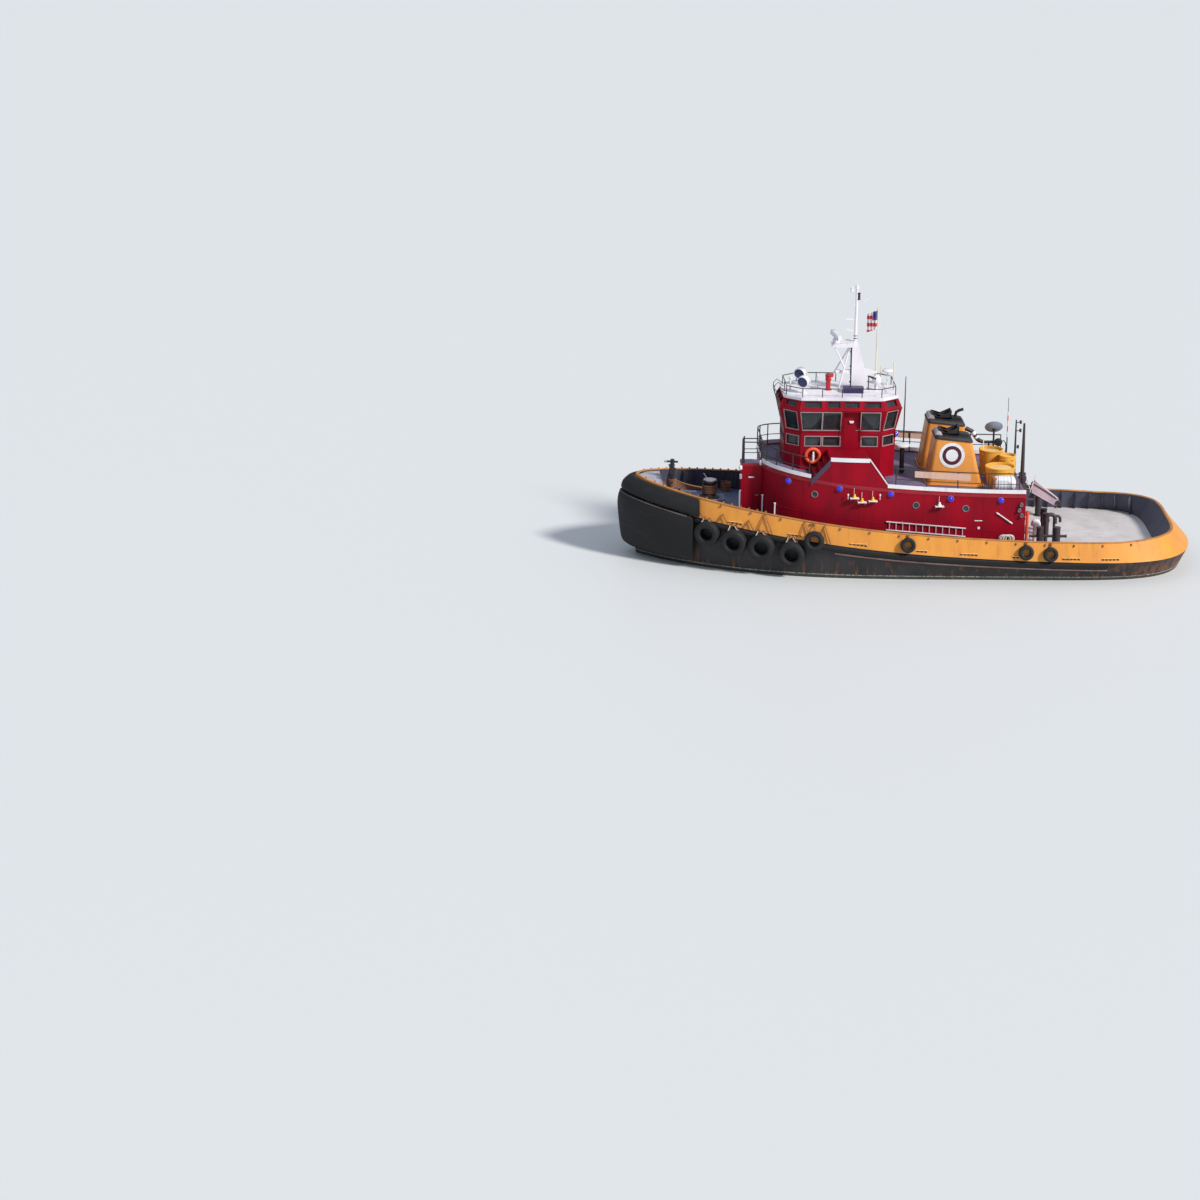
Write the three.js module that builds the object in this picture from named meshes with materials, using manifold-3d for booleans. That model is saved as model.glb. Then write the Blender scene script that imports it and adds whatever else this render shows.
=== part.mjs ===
// Twin-screw harbour tug, 25 m long, afloat. Millimetres.
// +X is forward, +Y is port and +Z is up. The origin is on the centreline, at the waterline
// and amidships of the overall length.

import * as THREE from 'three';
import Module from 'manifold-3d';
import { mergeVertices } from 'three/addons/utils/BufferGeometryUtils.js';

const wasm = await Module();
wasm.setup();

// Driving dimensions

const GAP = 0.3;                 // left between touching pieces
const RUN = 6;                   // running clearance of what moves

const DECK_AFT_Z = 900;          // weather deck above water, aft
const DECK_SHEER_FROM = -12000;  // the deck rises forward of here
const DECK_SHEER = 0.00124;      // metres of rise per metre^2.3
const SHEER_POWER = 2.3;
const BULWARK_HEIGHT = 840;
const STERN_LIFT = 120;          // extra height of the rail at the stern

const KEEL_Z = -3300;
const HOUSE_AFT_X = -4800;
const HOUSE_HALF = 3400;
const HOUSE_SWEEP_FROM = 1500;   // the house sides sweep in forward of here
const HOUSE_NOSE_X = 6600;       // where they meet the vestibule
const VESTIBULE_X = 7500;
const VESTIBULE_HALF = 1300;     // its port side, and the front wall's two ends
const VESTIBULE_INNER = 620;     // its starboard side
const HOUSE_WALL = 80;
const BOAT_DECK_Z = 3650;        // boat deck above water at the aft end of the house
const BOAT_DECK_SHEER = 6.1e-6;
const BOAT_DECK_PLATE = 140;
const LANDING_Z = 5150;          // side landings outside the wheelhouse doors

const WH = {                     // wheelhouse, octagonal
  aft: 770, fore: 5650, half: 1500, wall: 80,
  chamferX: 680, chamferY: 550,
  sillZ: 5900, kneeZ: 6940, eavesZ: 7350, roof: 130,
  kneeOut: 250,                  // how far the windows lean out over the sill
  eavesOut: 60,                  // and where the eyebrow band ends, from the sill
};

const PROP_X = -9300;
const PROP_Y = 1900;
const PROP_Z = -1950;
const PROP_R = 980;
const RUDDER_X = -10650;

// Solids

// A closed geometry as a solid, with its faces turned outwards.
function solid(geometry) {
  const g = geometry.index ? geometry : geometry.clone();
  g.deleteAttribute('normal');
  g.deleteAttribute('uv');
  const m = mergeVertices(g, 1e-3);
  const index = m.index.array;
  const corner = (k) => new THREE.Vector3().fromBufferAttribute(m.attributes.position, k);
  let kept = [];
  let volume = 0;
  for (let i = 0; i < index.length; i += 3) {
    const [a, b, c] = [index[i], index[i + 1], index[i + 2]];
    if (a === b || b === c || a === c) continue;
    kept.push(a, b, c);
    volume += corner(a).dot(corner(b).cross(corner(c)));
  }
  if (volume < 0) kept = kept.reverse();
  return new wasm.Manifold(new wasm.Mesh({
    numProp: 3,
    vertProperties: new Float32Array(m.attributes.position.array),
    triVerts: new Uint32Array(kept),
  }));
}

function fuse(parts) {
  return parts.reduce((sum, p) => sum.add(p));
}

function box(x0, x1, y0, y1, z0, z1) {
  const g = new THREE.BoxGeometry(x1 - x0, y1 - y0, z1 - z0);
  g.translate((x0 + x1) / 2, (y0 + y1) / 2, (z0 + z1) / 2);
  return solid(g);
}

// A round bar between two points, the second end with its own radius if one is given.
function bar(from, to, radius, sides = 10, endRadius = radius) {
  const a = new THREE.Vector3(...from);
  const b = new THREE.Vector3(...to);
  const g = new THREE.CylinderGeometry(endRadius, radius, a.distanceTo(b), sides);
  g.translate(0, a.distanceTo(b) / 2, 0);
  const turn = new THREE.Quaternion().setFromUnitVectors(
    new THREE.Vector3(0, 1, 0), b.clone().sub(a).normalize());
  g.applyQuaternion(turn);
  g.translate(a.x, a.y, a.z);
  return solid(g);
}

// A pipe through a list of points, straight from each to the next, with ball joints.
function pipe(points, radius, sides = 6) {
  const runs = [];
  for (let i = 1; i < points.length; i++) runs.push(bar(points[i - 1], points[i], radius, sides));
  for (let i = 1; i < points.length - 1; i++) {
    const ball = new THREE.SphereGeometry(radius * 1.02, sides, 4);
    ball.translate(...points[i]);
    runs.push(solid(ball));
  }
  return fuse(runs);
}

// A turned piece: its profile is a list of [radius, height] that starts and ends on the axis.
function turned(profile, sides = 24) {
  const points = profile.map(([r, z]) => new THREE.Vector2(r, z));
  const g = new THREE.LatheGeometry(points, sides);
  g.rotateX(Math.PI / 2);
  return solid(g);
}

// An outline in plan, pushed up from z0 to z1.
function planPlate(outline, z0, z1) {
  const shape = new THREE.Shape(outline.map(([x, y]) => new THREE.Vector2(x, y)));
  const g = new THREE.ExtrudeGeometry(shape, { depth: z1 - z0, bevelEnabled: false });
  g.translate(0, 0, z0);
  return solid(g);
}

// An outline seen from the side, as [x, z], pushed across from y0 to y1.
function sidePlate(outline, y0, y1) {
  const shape = new THREE.Shape(outline.map(([x, z]) => new THREE.Vector2(x, z)));
  const g = new THREE.ExtrudeGeometry(shape, { depth: y1 - y0, bevelEnabled: false });
  g.rotateX(Math.PI / 2);
  g.translate(0, y1, 0);
  return solid(g);
}

// Closed outlines of equal point count stacked into a solid, with flat-triangulated ends.
// When ring is true the last outline joins the first and there are no ends.
function skin(outlines, ring = false) {
  const count = outlines[0].length;
  const positions = outlines.flat().flat();
  const index = [];
  const rows = ring ? outlines.length : outlines.length - 1;
  for (let k = 0; k < rows; k++) {
    const lower = k * count;
    const upper = ((k + 1) % outlines.length) * count;
    for (let i = 0; i < count; i++) {
      const j = (i + 1) % count;
      index.push(lower + i, lower + j, upper + j, lower + i, upper + j, upper + i);
    }
  }
  if (!ring) {
    const last = (outlines.length - 1) * count;
    const flat = (o) => o.map(([x, y]) => new THREE.Vector2(x, y));
    for (const [a, b, c] of THREE.ShapeUtils.triangulateShape(flat(outlines[0]), [])) {
      index.push(a, c, b);
    }
    for (const [a, b, c] of THREE.ShapeUtils.triangulateShape(flat(outlines.at(-1)), [])) {
      index.push(last + a, last + b, last + c);
    }
  }
  const g = new THREE.BufferGeometry();
  g.setAttribute('position', new THREE.Float32BufferAttribute(positions, 3));
  g.setIndex(index);
  return solid(g);
}

// The biggest body of a cut piece, without the slivers that the cut leaves beside it.
function largest(s) {
  return s.decompose().reduce((a, b) => (b.volume() > a.volume() ? b : a));
}

function mirrored(s) {
  return s.scale([1, -1, 1]);
}

// The port half of a solid with its mirror image, so that both sides have the same facets.
function evened(s) {
  const port = s.intersect(box(-15000, 15000, 0, 8000, -9000, 9000));
  return port.add(mirrored(port));
}

function grown(s) {
  return s.scale([1.0001, 1.0001, 1]);
}

// Sheer lines

function deckZ(x) {
  const run = Math.max(0, x - DECK_SHEER_FROM) / 1000;
  return DECK_AFT_Z + 1000 * DECK_SHEER * run ** SHEER_POWER;
}

function railZ(x) {
  const stern = Math.min(1, Math.max(0, (-9000 - x) / 2500));
  return deckZ(x) + BULWARK_HEIGHT + STERN_LIFT * stern;
}

function boatDeckZ(x) {
  return BOAT_DECK_Z + BOAT_DECK_SHEER * (Math.min(x, HOUSE_NOSE_X) + 4800) ** 2;
}

const STATIONS = Array.from({ length: 29 }, (_, i) => -14000 + 1000 * i);

// Everything above, or below, one of the sheer lines.
function above(line, lift = GAP, stations = STATIONS) {
  const edge = stations.map((x) => [x, line(x) + lift]);
  return sidePlate([...edge, [14000, 20000], [-14000, 20000]], -8000, 8000);
}

function below(line, drop = 0, stations = STATIONS) {
  const edge = stations.map((x) => [x, line(x) - drop]);
  return sidePlate([...edge, [14000, -8000], [-14000, -8000]], -8000, 8000);
}

const onDeck = above(deckZ);
const onBoatDeck = above(boatDeckZ);

// Hull

const AFT_SWEEP_FROM = -2500;
const FORE_SWEEP_FROM = -1000;

// Half-breadth of an outline at x: full amidships, rounded off towards both ends.
function sideAt(o, x) {
  const t = Math.min(1, Math.max(0, (x - FORE_SWEEP_FROM) / (o.fore - FORE_SWEEP_FROM)));
  const s = Math.min(1, Math.max(0, (AFT_SWEEP_FROM - x) / (AFT_SWEEP_FROM - o.aft)));
  return o.half * (1 - t ** o.forePower) ** o.foreRound * (1 - s ** o.aftPower) ** o.aftRound;
}

// Where a ray from a point on the centreline, at an angle from dead ahead, meets an outline.
function onRay(o, centre, degrees) {
  const a = THREE.MathUtils.degToRad(degrees);
  let near = 0;
  let far = 16000;
  for (let i = 0; i < 40; i++) {
    const r = (near + far) / 2;
    if (r * Math.sin(a) < sideAt(o, centre + r * Math.cos(a)) - 1e-6) near = r;
    else far = r;
  }
  return [centre + near * Math.cos(a), near * Math.sin(a)];
}

const AFT_CENTRE = -6500;
const FORE_CENTRE = 2500;
const AFT_RAYS = [168, 157, 147, 137, 126, 113, 100];
const FORE_RAYS = [75, 60, 48, 38, 30, 23, 17, 11, 5.5];

// An outline in plan at height z, from the stern's centre along starboard, round the stem and
// back along port.
function outline(o, z) {
  const port = [
    [o.aft, 0], ...AFT_RAYS.map((a) => onRay(o, AFT_CENTRE, a)),
    ...[AFT_CENTRE + 1500, -2500, 0].map((x) => [x, sideAt(o, x)]),
    ...FORE_RAYS.map((a) => onRay(o, FORE_CENTRE, a)), [o.fore, 0],
  ];
  const starboard = port.slice(1, -1).reverse().map(([x, y]) => [x, -y]);
  return [...port, ...starboard].map(([x, y]) => [x, y, typeof z === 'function' ? z(x) : z]).reverse();
}

const SIDE = { aftPower: 4, aftRound: 0.233, forePower: 2.05, foreRound: 0.625 };
const KNUCKLE = { ...SIDE, aft: -12500, fore: 12430, half: 4720, aftPower: 6, aftRound: 0.45 };
const RAIL = { ...SIDE, aft: -11610, fore: 12050, half: 4590 };
const RAIL_INNER = { ...SIDE, aft: -11520, fore: 11950, half: 4500 };
const DECK_EDGE = { ...SIDE, aft: -10920, fore: 12200, half: 4560, aftPower: 10, aftRound: 0.2 };
const WATERLINE = { ...KNUCKLE, aft: -12100, fore: 11950, half: 4150, forePower: 3, foreRound: 0.9 };
const BILGE = { ...WATERLINE, aft: -11500, fore: 11000, half: 3850 };
const BOTTOM = { ...WATERLINE, aft: -9800, fore: 9800, half: 2500 };

function sternRise(x) {
  const t = Math.min(1, Math.max(0, (-3500 - x) / 5000));
  return t * t * (3 - 2 * t);
}

const FLOOR_Z = -2700;
const FLOOR_RISE = 2050;         // from amidships to under the stern
const BILGE_Z = -1700;
const BILGE_RISE = 1300;
const KEEL_PART = 0.04;          // of the floor's breadth that is flat between its two sides
const floorEdge = outline(BOTTOM, (x) => FLOOR_Z + FLOOR_RISE * sternRise(x));
const hullShell = evened(skin([
  floorEdge.map(([x, y, z]) => [x, y * KEEL_PART, z]),
  floorEdge,
  outline(BILGE, (x) => BILGE_Z + BILGE_RISE * sternRise(x)),
  outline(WATERLINE, 0),
  outline(KNUCKLE, deckZ),
  outline({ ...KNUCKLE, half: KNUCKLE.half - 10 }, (x) => deckZ(x) + 60),
]));

const KEEL_HALF = 150;
const skeg = sidePlate([
  [9000, -2500], [8200, KEEL_Z], [-9900, KEEL_Z], [-9900, -3000], [-8700, -2600], [-8000, -1200],
  [-6000, -1500], [0, -2500],
], -KEEL_HALF, KEEL_HALF);

const SHAFT_TUBE_R = 130;
const SHAFT_TUBE_FORE = -5500;
const HUB_REACH = 200;           // from the middle of the blades to the hub's forward face
const STRUT = { half: 45, rootZ: -500 };
const RUDDER_BOSS = { half: 160, lowZ: -820, highZ: -400, aft: -11000, fore: -10300 };
const shaftTubes = [1, -1].map((side) => fuse([
  bar([PROP_X + HUB_REACH + GAP, side * PROP_Y, PROP_Z], [SHAFT_TUBE_FORE, side * PROP_Y, PROP_Z],
    SHAFT_TUBE_R, 12),
  sidePlate([[-8900, PROP_Z], [-8600, PROP_Z], [-8400, STRUT.rootZ], [-8800, STRUT.rootZ]],
    side * PROP_Y - STRUT.half, side * PROP_Y + STRUT.half),
  box(RUDDER_BOSS.aft, RUDDER_BOSS.fore, side * PROP_Y - RUDDER_BOSS.half,
    side * PROP_Y + RUDDER_BOSS.half, RUDDER_BOSS.lowZ, RUDDER_BOSS.highZ),
]));

const hull = fuse([hullShell.intersect(below(deckZ)), skeg, ...shaftTubes]);

// Bulwark: plating between the knuckle and the rail, leaning in, split at its welds

const SINK = 40;
const bulwark = evened(skin([
  outline(KNUCKLE, (x) => deckZ(x) - SINK),
  outline(RAIL, railZ),
  outline(RAIL_INNER, railZ),
  outline(DECK_EDGE, (x) => deckZ(x) - SINK),
], true)).intersect(onDeck);

const STERN_SPLIT = -8500;
const BOW_SPLIT = 8000;
const HALF_GAP = GAP / 2;
const bulwarkStern = bulwark.intersect(box(-14000, STERN_SPLIT - HALF_GAP, -6000, 6000, 0, 6000));
const bulwarkBow = bulwark.intersect(box(BOW_SPLIT + HALF_GAP, 14000, -6000, 6000, 0, 6000));
const bulwarkPort = bulwark.intersect(
  box(STERN_SPLIT + HALF_GAP, BOW_SPLIT - HALF_GAP, 0, 6000, 0, 6000));

// The whole form inside the hull and bulwark plating, a little larger: fenders are cut by it
const topsides = grown(hullShell.add(evened(skin([
  outline(KNUCKLE, (x) => deckZ(x) - SINK), outline(RAIL, railZ), outline(RAIL, (x) => railZ(x) + 800),
]))));

// Light plate that closes the corner of the bow just under the rail, cut to the plating
const BREASTHOOK_AFT_X = 10900;
const BREASTHOOK_DROP = [110, 60];       // its two faces below the rail
const breasthook = largest(
  skin(BREASTHOOK_DROP.map((drop) => outline(RAIL, (x) => railZ(x) - drop)))
    .intersect(box(BREASTHOOK_AFT_X, 14000, -3000, 3000, 0, 6000))
    .subtract(bulwark).subtract(bulwark.scale([0.9999, 0.9999, 1])));

// Rubber round the bow: a roll over the bulwark, and the main fender under it. Each row: how far
// it stands out from the knuckle at the stem, and its height as a function of x.

const SIDE_SHARE = 0.9;          // of a row's reach, at the side

function bowFender(rows, aftX) {
  return largest(skin(rows.map(([grow, z]) => outline(
    { ...KNUCKLE, fore: KNUCKLE.fore + grow, half: KNUCKLE.half + grow * SIDE_SHARE }, z)))
    .intersect(box(aftX, 14000, -6000, 6000, -1000, 8000)).subtract(topsides));
}

const lowerBowFender = bowFender([
  [-60, (x) => 350 + (deckZ(x) - 2400) * 0.2],
  [190, (x) => 600 + (deckZ(x) - 2400) * 0.3],
  [370, (x) => deckZ(x) - 950],
  [390, (x) => deckZ(x) - 420],
  [300, (x) => deckZ(x) - 60],
  [80, (x) => deckZ(x) + 20],
], 9700);

const upperBowFender = bowFender([
  [60, (x) => deckZ(x) + 30],
  [250, (x) => deckZ(x) + 120],
  [180, (x) => deckZ(x) + 420],
  [-60, (x) => deckZ(x) + 700],
  [-220, (x) => deckZ(x) + 790],
], 9420);

// Rubbing strake under the band, with the tyres hung on it. Each tyre: x, diameter, height of
// its middle above water.

const TYRES = [
  [9090, 1150, 1700], [7960, 1220, 1420], [6780, 1220, 1320], [5480, 1220, 1100],
  [4530, 900, 1770], [460, 680, 1710], [-4720, 680, 1420], [-5800, 670, 1340],
];
const STRAKE_AFT = -8350;
const STRAKE_FORE = 9680;
const TYRE_HUNG_AT = 130;        // below the deck's edge, where its chain meets the strake
const BAND_LEAN = 0.15;          // radians, of a tyre that lies on the bulwark
const HULL_LEAN = 0.12;          // and of one that hangs on the hull's flare
const TYRE_HALF_WIDTH = 0.15;    // of its diameter, at the bead

// Half a tyre's section, as shares of its radius and of its half width
const TYRE_SECTION = [[0.5, -1], [0.5, 1], [0.78, 1.3], [1, 0.7], [1, -0.7], [0.78, -1.3], [0.5, -1]];

function tyre([x, diameter, z]) {
  const r = diameter / 2;
  const w = diameter * TYRE_HALF_WIDTH;
  const g = new THREE.LatheGeometry(
    TYRE_SECTION.map(([a, b]) => new THREE.Vector2(a * r, b * w)), 14);
  const onBand = z > deckZ(x);
  const rise = (z - deckZ(x)) / BULWARK_HEIGHT;
  const t = z / deckZ(x);
  const reach = onBand
    ? sideAt(KNUCKLE, x) * (1 - rise) + sideAt(RAIL, x) * rise
    : sideAt(KNUCKLE, x) * t + sideAt(WATERLINE, x) * (1 - t);
  const swing = Math.atan2(sideAt(KNUCKLE, x - 200) - sideAt(KNUCKLE, x + 200), 400);
  g.rotateX(onBand ? BAND_LEAN : -HULL_LEAN);
  g.rotateZ(-swing);
  g.translate(x, reach + w * 1.5, z);
  const near = z + r * (onBand ? -0.8 : 0.8);
  const hung = deckZ(x) - TYRE_HUNG_AT;
  return solid(g).add(bar([x, reach + w * 1.2, near], [x, sideAt(KNUCKLE, x) + 70, hung], 55, 4));
}

// Sections of the strake: how far it stands out from the knuckle, and its depth under the deck
const strake = skin([[-80, 330], [110, 270], [110, 80], [-10, 30]].map(([out, drop]) => outline(
  { ...KNUCKLE, half: KNUCKLE.half + out, fore: KNUCKLE.fore + out, aft: KNUCKLE.aft - out },
  (x) => deckZ(x) - drop,
))).intersect(box(STRAKE_AFT, STRAKE_FORE, 0, 6000, -1000, 6000));

const fenderPort = largest(fuse([strake, ...TYRES.map(tyre)]).subtract(topsides));

// Propellers and rudders

// Each section of a blade: radius, half of its width, and its angle to the disc in radians
const BLADE_ROWS = [[120, 170, 0.95], [450, 260, 0.6], [750, 260, 0.4], [PROP_R, 110, 0.32]];

function propeller(side) {
  const hub = turned([[0, -330], [60, -310], [120, -200], [170, 0], [170, HUB_REACH], [0, HUB_REACH]], 12);
  const blades = [0, 1, 2, 3].map((k) => {
    const outlines = BLADE_ROWS.map(([r, chord, pitch]) => [
      [-chord, -18], [chord, -18], [chord, 18], [-chord, 18],
    ].map(([c, t]) => [
      c * Math.cos(pitch) - t * Math.sin(pitch), c * Math.sin(pitch) + t * Math.cos(pitch), r,
    ]));
    return skin(outlines).rotate([90, 0, 0]).rotate([0, 0, 90 * k]);
  });
  return fuse([hub, ...blades]).rotate([0, 90, 0])
    .translate([PROP_X, side * PROP_Y, PROP_Z]);
}

const RUDDER_FOOT_Z = -2900;
const RUDDER_HEAD_Z = -900;

function rudder(side) {
  const section = [[300, 0], [230, 60], [0, 75], [-700, 12], [-700, -12], [0, -75], [230, -60]];
  const blade = planPlate(section, RUDDER_FOOT_Z, RUDDER_HEAD_Z);
  const stock = bar([0, 0, RUDDER_HEAD_Z - 100], [0, 0, RUDDER_BOSS.lowZ - GAP], 70, 12);
  return fuse([blade, stock]).translate([RUDDER_X, side * PROP_Y, 0]);
}

// Deckhouse

// A point of the house's sweep in plan, drawn in by an inset. The nose is drawn in less.
const noseX = (inset) => HOUSE_NOSE_X - inset * 0.6;

function onSweep(degrees, inset) {
  const a = THREE.MathUtils.degToRad(degrees);
  const waist = VESTIBULE_HALF - inset;
  return [
    HOUSE_SWEEP_FROM + (noseX(inset) - HOUSE_SWEEP_FROM) * Math.sin(a) ** (2 / 2.6),
    waist + (HOUSE_HALF - inset - waist) * Math.max(0, Math.cos(a)) ** 1.24,
  ];
}

// A plan outline of the house. The vestibule stands forward of its front wall, on port.
function houseOutline(inset) {
  const port = [[HOUSE_AFT_X + inset, HOUSE_HALF - inset]];
  for (let degrees = 0; degrees <= 90; degrees += 10) port.push(onSweep(degrees, inset));
  return [
    ...port, [VESTIBULE_X - inset, VESTIBULE_HALF - inset],
    [VESTIBULE_X - inset, VESTIBULE_INNER + inset], [noseX(inset), VESTIBULE_INNER + inset],
    ...port.reverse().map(([x, y]) => [x, -y]),
  ].reverse();
}

const DOOR = { width: 700, height: 1850, sill: 200 };
const AFT_DOOR_Y = 1350;                    // inboard edge of the door in the aft wall
const VESTIBULE_DOOR_X = 6700;              // after edge of the door in the vestibule's port side

const aftDoorZ = deckZ(HOUSE_AFT_X) + DOOR.sill;
const vestibuleDoorZ = deckZ(VESTIBULE_X) + DOOR.sill - 100;
const VESTIBULE_DOOR_HEIGHT = 1700;

const houseBand = planPlate(houseOutline(0), 0, 6000)
  .subtract(planPlate(houseOutline(HOUSE_WALL), -100, 6100))
  .intersect(onDeck).intersect(below(boatDeckZ, BOAT_DECK_PLATE + GAP));

const aftDoorway = box(HOUSE_AFT_X - 100, HOUSE_AFT_X + 200, AFT_DOOR_Y, AFT_DOOR_Y + DOOR.width,
  aftDoorZ, aftDoorZ + DOOR.height);
const vestibuleDoorway = box(VESTIBULE_DOOR_X, VESTIBULE_DOOR_X + DOOR.width,
  VESTIBULE_HALF - 200, VESTIBULE_HALF + 100, vestibuleDoorZ, vestibuleDoorZ + VESTIBULE_DOOR_HEIGHT);

const PANEL_AFT = HOUSE_AFT_X + HOUSE_WALL;
const houseAft = houseBand.intersect(
  box(-6000, PANEL_AFT - HALF_GAP, -6000, 6000, 0, 6000)).subtract(aftDoorway);
const housePort = houseBand.intersect(
  box(PANEL_AFT + HALF_GAP, HOUSE_NOSE_X - 60, 0, 6000, 0, 6000));
const houseFront = houseBand.intersect(
  box(HOUSE_NOSE_X - 60 + GAP, 9000, -6000, 6000, 0, 6000)).subtract(vestibuleDoorway);

const boatDeck = planPlate(houseOutline(-25), 0, 6000)
  .intersect(above(boatDeckZ, -BOAT_DECK_PLATE)).intersect(below(boatDeckZ));

// Side landing with its steps, port. The steps stop short of the wheelhouse side, and a side
// plate with a straight edge closes those that lead aft.
const STEPS_INBOARD = 1750;
const LANDING_AFT = 2100;
const LANDING_FORE = 3800;
const STEPS_AFT_X = 1300;
const STEPS_AFT_Z = 4120;
const landing = fuse([
  sidePlate([
    [4500, 3900], [4500, 4450], [4260, 4450], [4260, 4680], [4020, 4680], [4020, 4910],
    [LANDING_FORE, 4910], [LANDING_FORE, LANDING_Z], [LANDING_AFT, LANDING_Z],
    [LANDING_AFT, 4910], [1900, 4910], [1900, 4640], [1700, 4640], [1700, 4370], [1500, 4370],
    [1500, STEPS_AFT_Z], [STEPS_AFT_X, STEPS_AFT_Z], [STEPS_AFT_X, 3600],
  ], STEPS_INBOARD, HOUSE_HALF),
  sidePlate([
    [LANDING_AFT + 20, 3600], [LANDING_AFT + 20, LANDING_Z], [LANDING_AFT, LANDING_Z],
    [STEPS_AFT_X, STEPS_AFT_Z], [STEPS_AFT_X, 3600],
  ], HOUSE_HALF - 60, HOUSE_HALF),
  box(LANDING_AFT, LANDING_FORE, WH.half + GAP, STEPS_INBOARD + 10, 3600, LANDING_Z),
]).intersect(onBoatDeck).intersect(planPlate(houseOutline(0), 0, 9000));

// Wheelhouse

// The octagon drawn out by a distance, as a level at height z.
function octagon(out, z) {
  const a = WH.aft - out;
  const f = WH.fore + out;
  const h = WH.half + out;
  const cx = WH.chamferX + out * 0.5;
  const cy = WH.chamferY + out * 0.5;
  return [
    [f, -h + cy], [f, h - cy], [f - cx, h], [a + cx, h], [a, h - cy], [a, -h + cy],
    [a + cx, -h], [f - cx, -h],
  ].map(([x, y]) => [x, y, z]);
}

function wheelhouseSkin(inset, low, high) {
  const rows = [[0, 3000], [0, WH.sillZ], [WH.kneeOut, WH.kneeZ], [WH.eavesOut, WH.eavesZ]];
  const levels = rows.map(([out, z]) => octagon(out - inset, z));
  if (high) levels.push(octagon(WH.eavesOut - inset, WH.eavesZ + high));
  return evened(skin(levels));
}

const whOuter = wheelhouseSkin(0);
const whShell = whOuter.subtract(wheelhouseSkin(WH.wall, 0, 500)).intersect(onBoatDeck);

const DOOR_X = [2400, 3120];
const WH_DOOR_TOP = 6870;

// Rows of windows, each between two heights. A side window: aft edge, fore edge at the foot and
// at the head. Each corner has one window, and the front and the back have three.
const WINDOW_ROWS = [
  { z: [6020, 6850], side: [[4090, 4900, 5020], [3260, 4030, 4030], [1530, 2350, 2350]], width: 540 },
  { z: [5310, 5710], side: [[4100, 4780, 4780], [3260, 3990, 3990], [1620, 2300, 2300]], width: 520 },
  { z: [7060, 7300], side: [[4120, 4860, 4860], [3300, 3850, 3850], [2460, 3070, 3070],
    [1500, 2200, 2200]], width: 500 },
];
const END_WINDOWS = [-620, 0, 620];

function sideWindow([aft, foreFoot, foreHead], [low, high]) {
  return sidePlate([[aft, low], [foreFoot, low], [foreHead, high], [aft, high]], 1000, 2500);
}

const CHAMFER_ANGLE = Math.atan2(WH.chamferX, WH.chamferY) * 180 / Math.PI;

function cornerWindow(foreEnd, width, z) {
  const cx = foreEnd ? WH.fore - WH.chamferX / 2 : WH.aft + WH.chamferX / 2;
  const cy = WH.half - WH.chamferY / 2;
  return box(-500, 500, -width / 2, width / 2, ...z)
    .rotate([0, 0, foreEnd ? 90 - CHAMFER_ANGLE : 90 + CHAMFER_ANGLE])
    .translate([cx, cy, 0]);
}

function endWindow(y, x, width, z) {
  return box(x - 400, x + 400, y - width / 2, y + width / 2, ...z);
}

const wheelhouseOpenings = WINDOW_ROWS.flatMap(({ z, side, width }) => {
  const port = [...side.map((w) => sideWindow(w, z)),
    cornerWindow(true, width + 100, z), cornerWindow(false, width + 100, z)];
  return [...port, ...port.map(mirrored),
    ...END_WINDOWS.flatMap((y) => [WH.fore, WH.aft].map((x) => endWindow(y, x, width, z)))];
});

// The door stands upright in a bay whose cheeks follow the leaning windows
const bayCut = box(DOOR_X[0] - 50, DOOR_X[1] + 50, 1300, 2500, LANDING_Z, WH_DOOR_TOP + 50);
const bay = box(DOOR_X[0] - 50, DOOR_X[1] + 50, WH.half - WH.wall, 2500, LANDING_Z, WH_DOOR_TOP + 50)
  .subtract(box(DOOR_X[0], DOOR_X[1], 1300, 2600, LANDING_Z - 10, WH_DOOR_TOP))
  .intersect(whOuter);
const wheelhouse = fuse([
  whShell.subtract(fuse([bayCut, mirrored(bayCut)])).subtract(fuse(wheelhouseOpenings)),
  bay, mirrored(bay),
]);

const whAftX = WH.aft + WH.chamferX;
const whForeX = WH.fore - WH.chamferX;
const wheelhouseFront = wheelhouse.intersect(box(whForeX + HALF_GAP, 8000, -3000, 3000, 0, 9000));
const wheelhouseAft = wheelhouse.intersect(box(-1000, whAftX - HALF_GAP, -3000, 3000, 0, 9000));
const wheelhousePort = wheelhouse.intersect(
  box(whAftX + HALF_GAP, whForeX - HALF_GAP, 0, 3000, 0, 9000));

// Glazing: one sheet behind the windows forward of the doors and over them, and one aft of them
const GLASS = 14;
const glassBand = wheelhouseSkin(WH.wall + GAP, 0, 500)
  .subtract(wheelhouseSkin(WH.wall + GLASS, 0, 500))
  .intersect(box(-1000, 8000, -3000, 3000, 5270, 7325));
const glassFront = glassBand.intersect(fuse([
  box(DOOR_X[1] + 60, 8000, -3000, 3000, 0, 9000),
  box(DOOR_X[0] - 50, 8000, -3000, 3000, WH.kneeZ + 60, 9000),
]));
const glassAft = glassBand.intersect(box(-1000, DOOR_X[0] - 60, -3000, 3000, 0, 9000));

// Doors. Their hinge lugs nearly touch the jamb, and the leaf clears it all round.
const LUG_HEIGHTS = [0.12, 0.5, 0.88];

function lugs(x0, x1, y0, y1, foot, height) {
  return LUG_HEIGHTS.map((h) => box(x0, x1, y0, y1, foot + h * height - 40, foot + h * height + 40));
}

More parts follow.
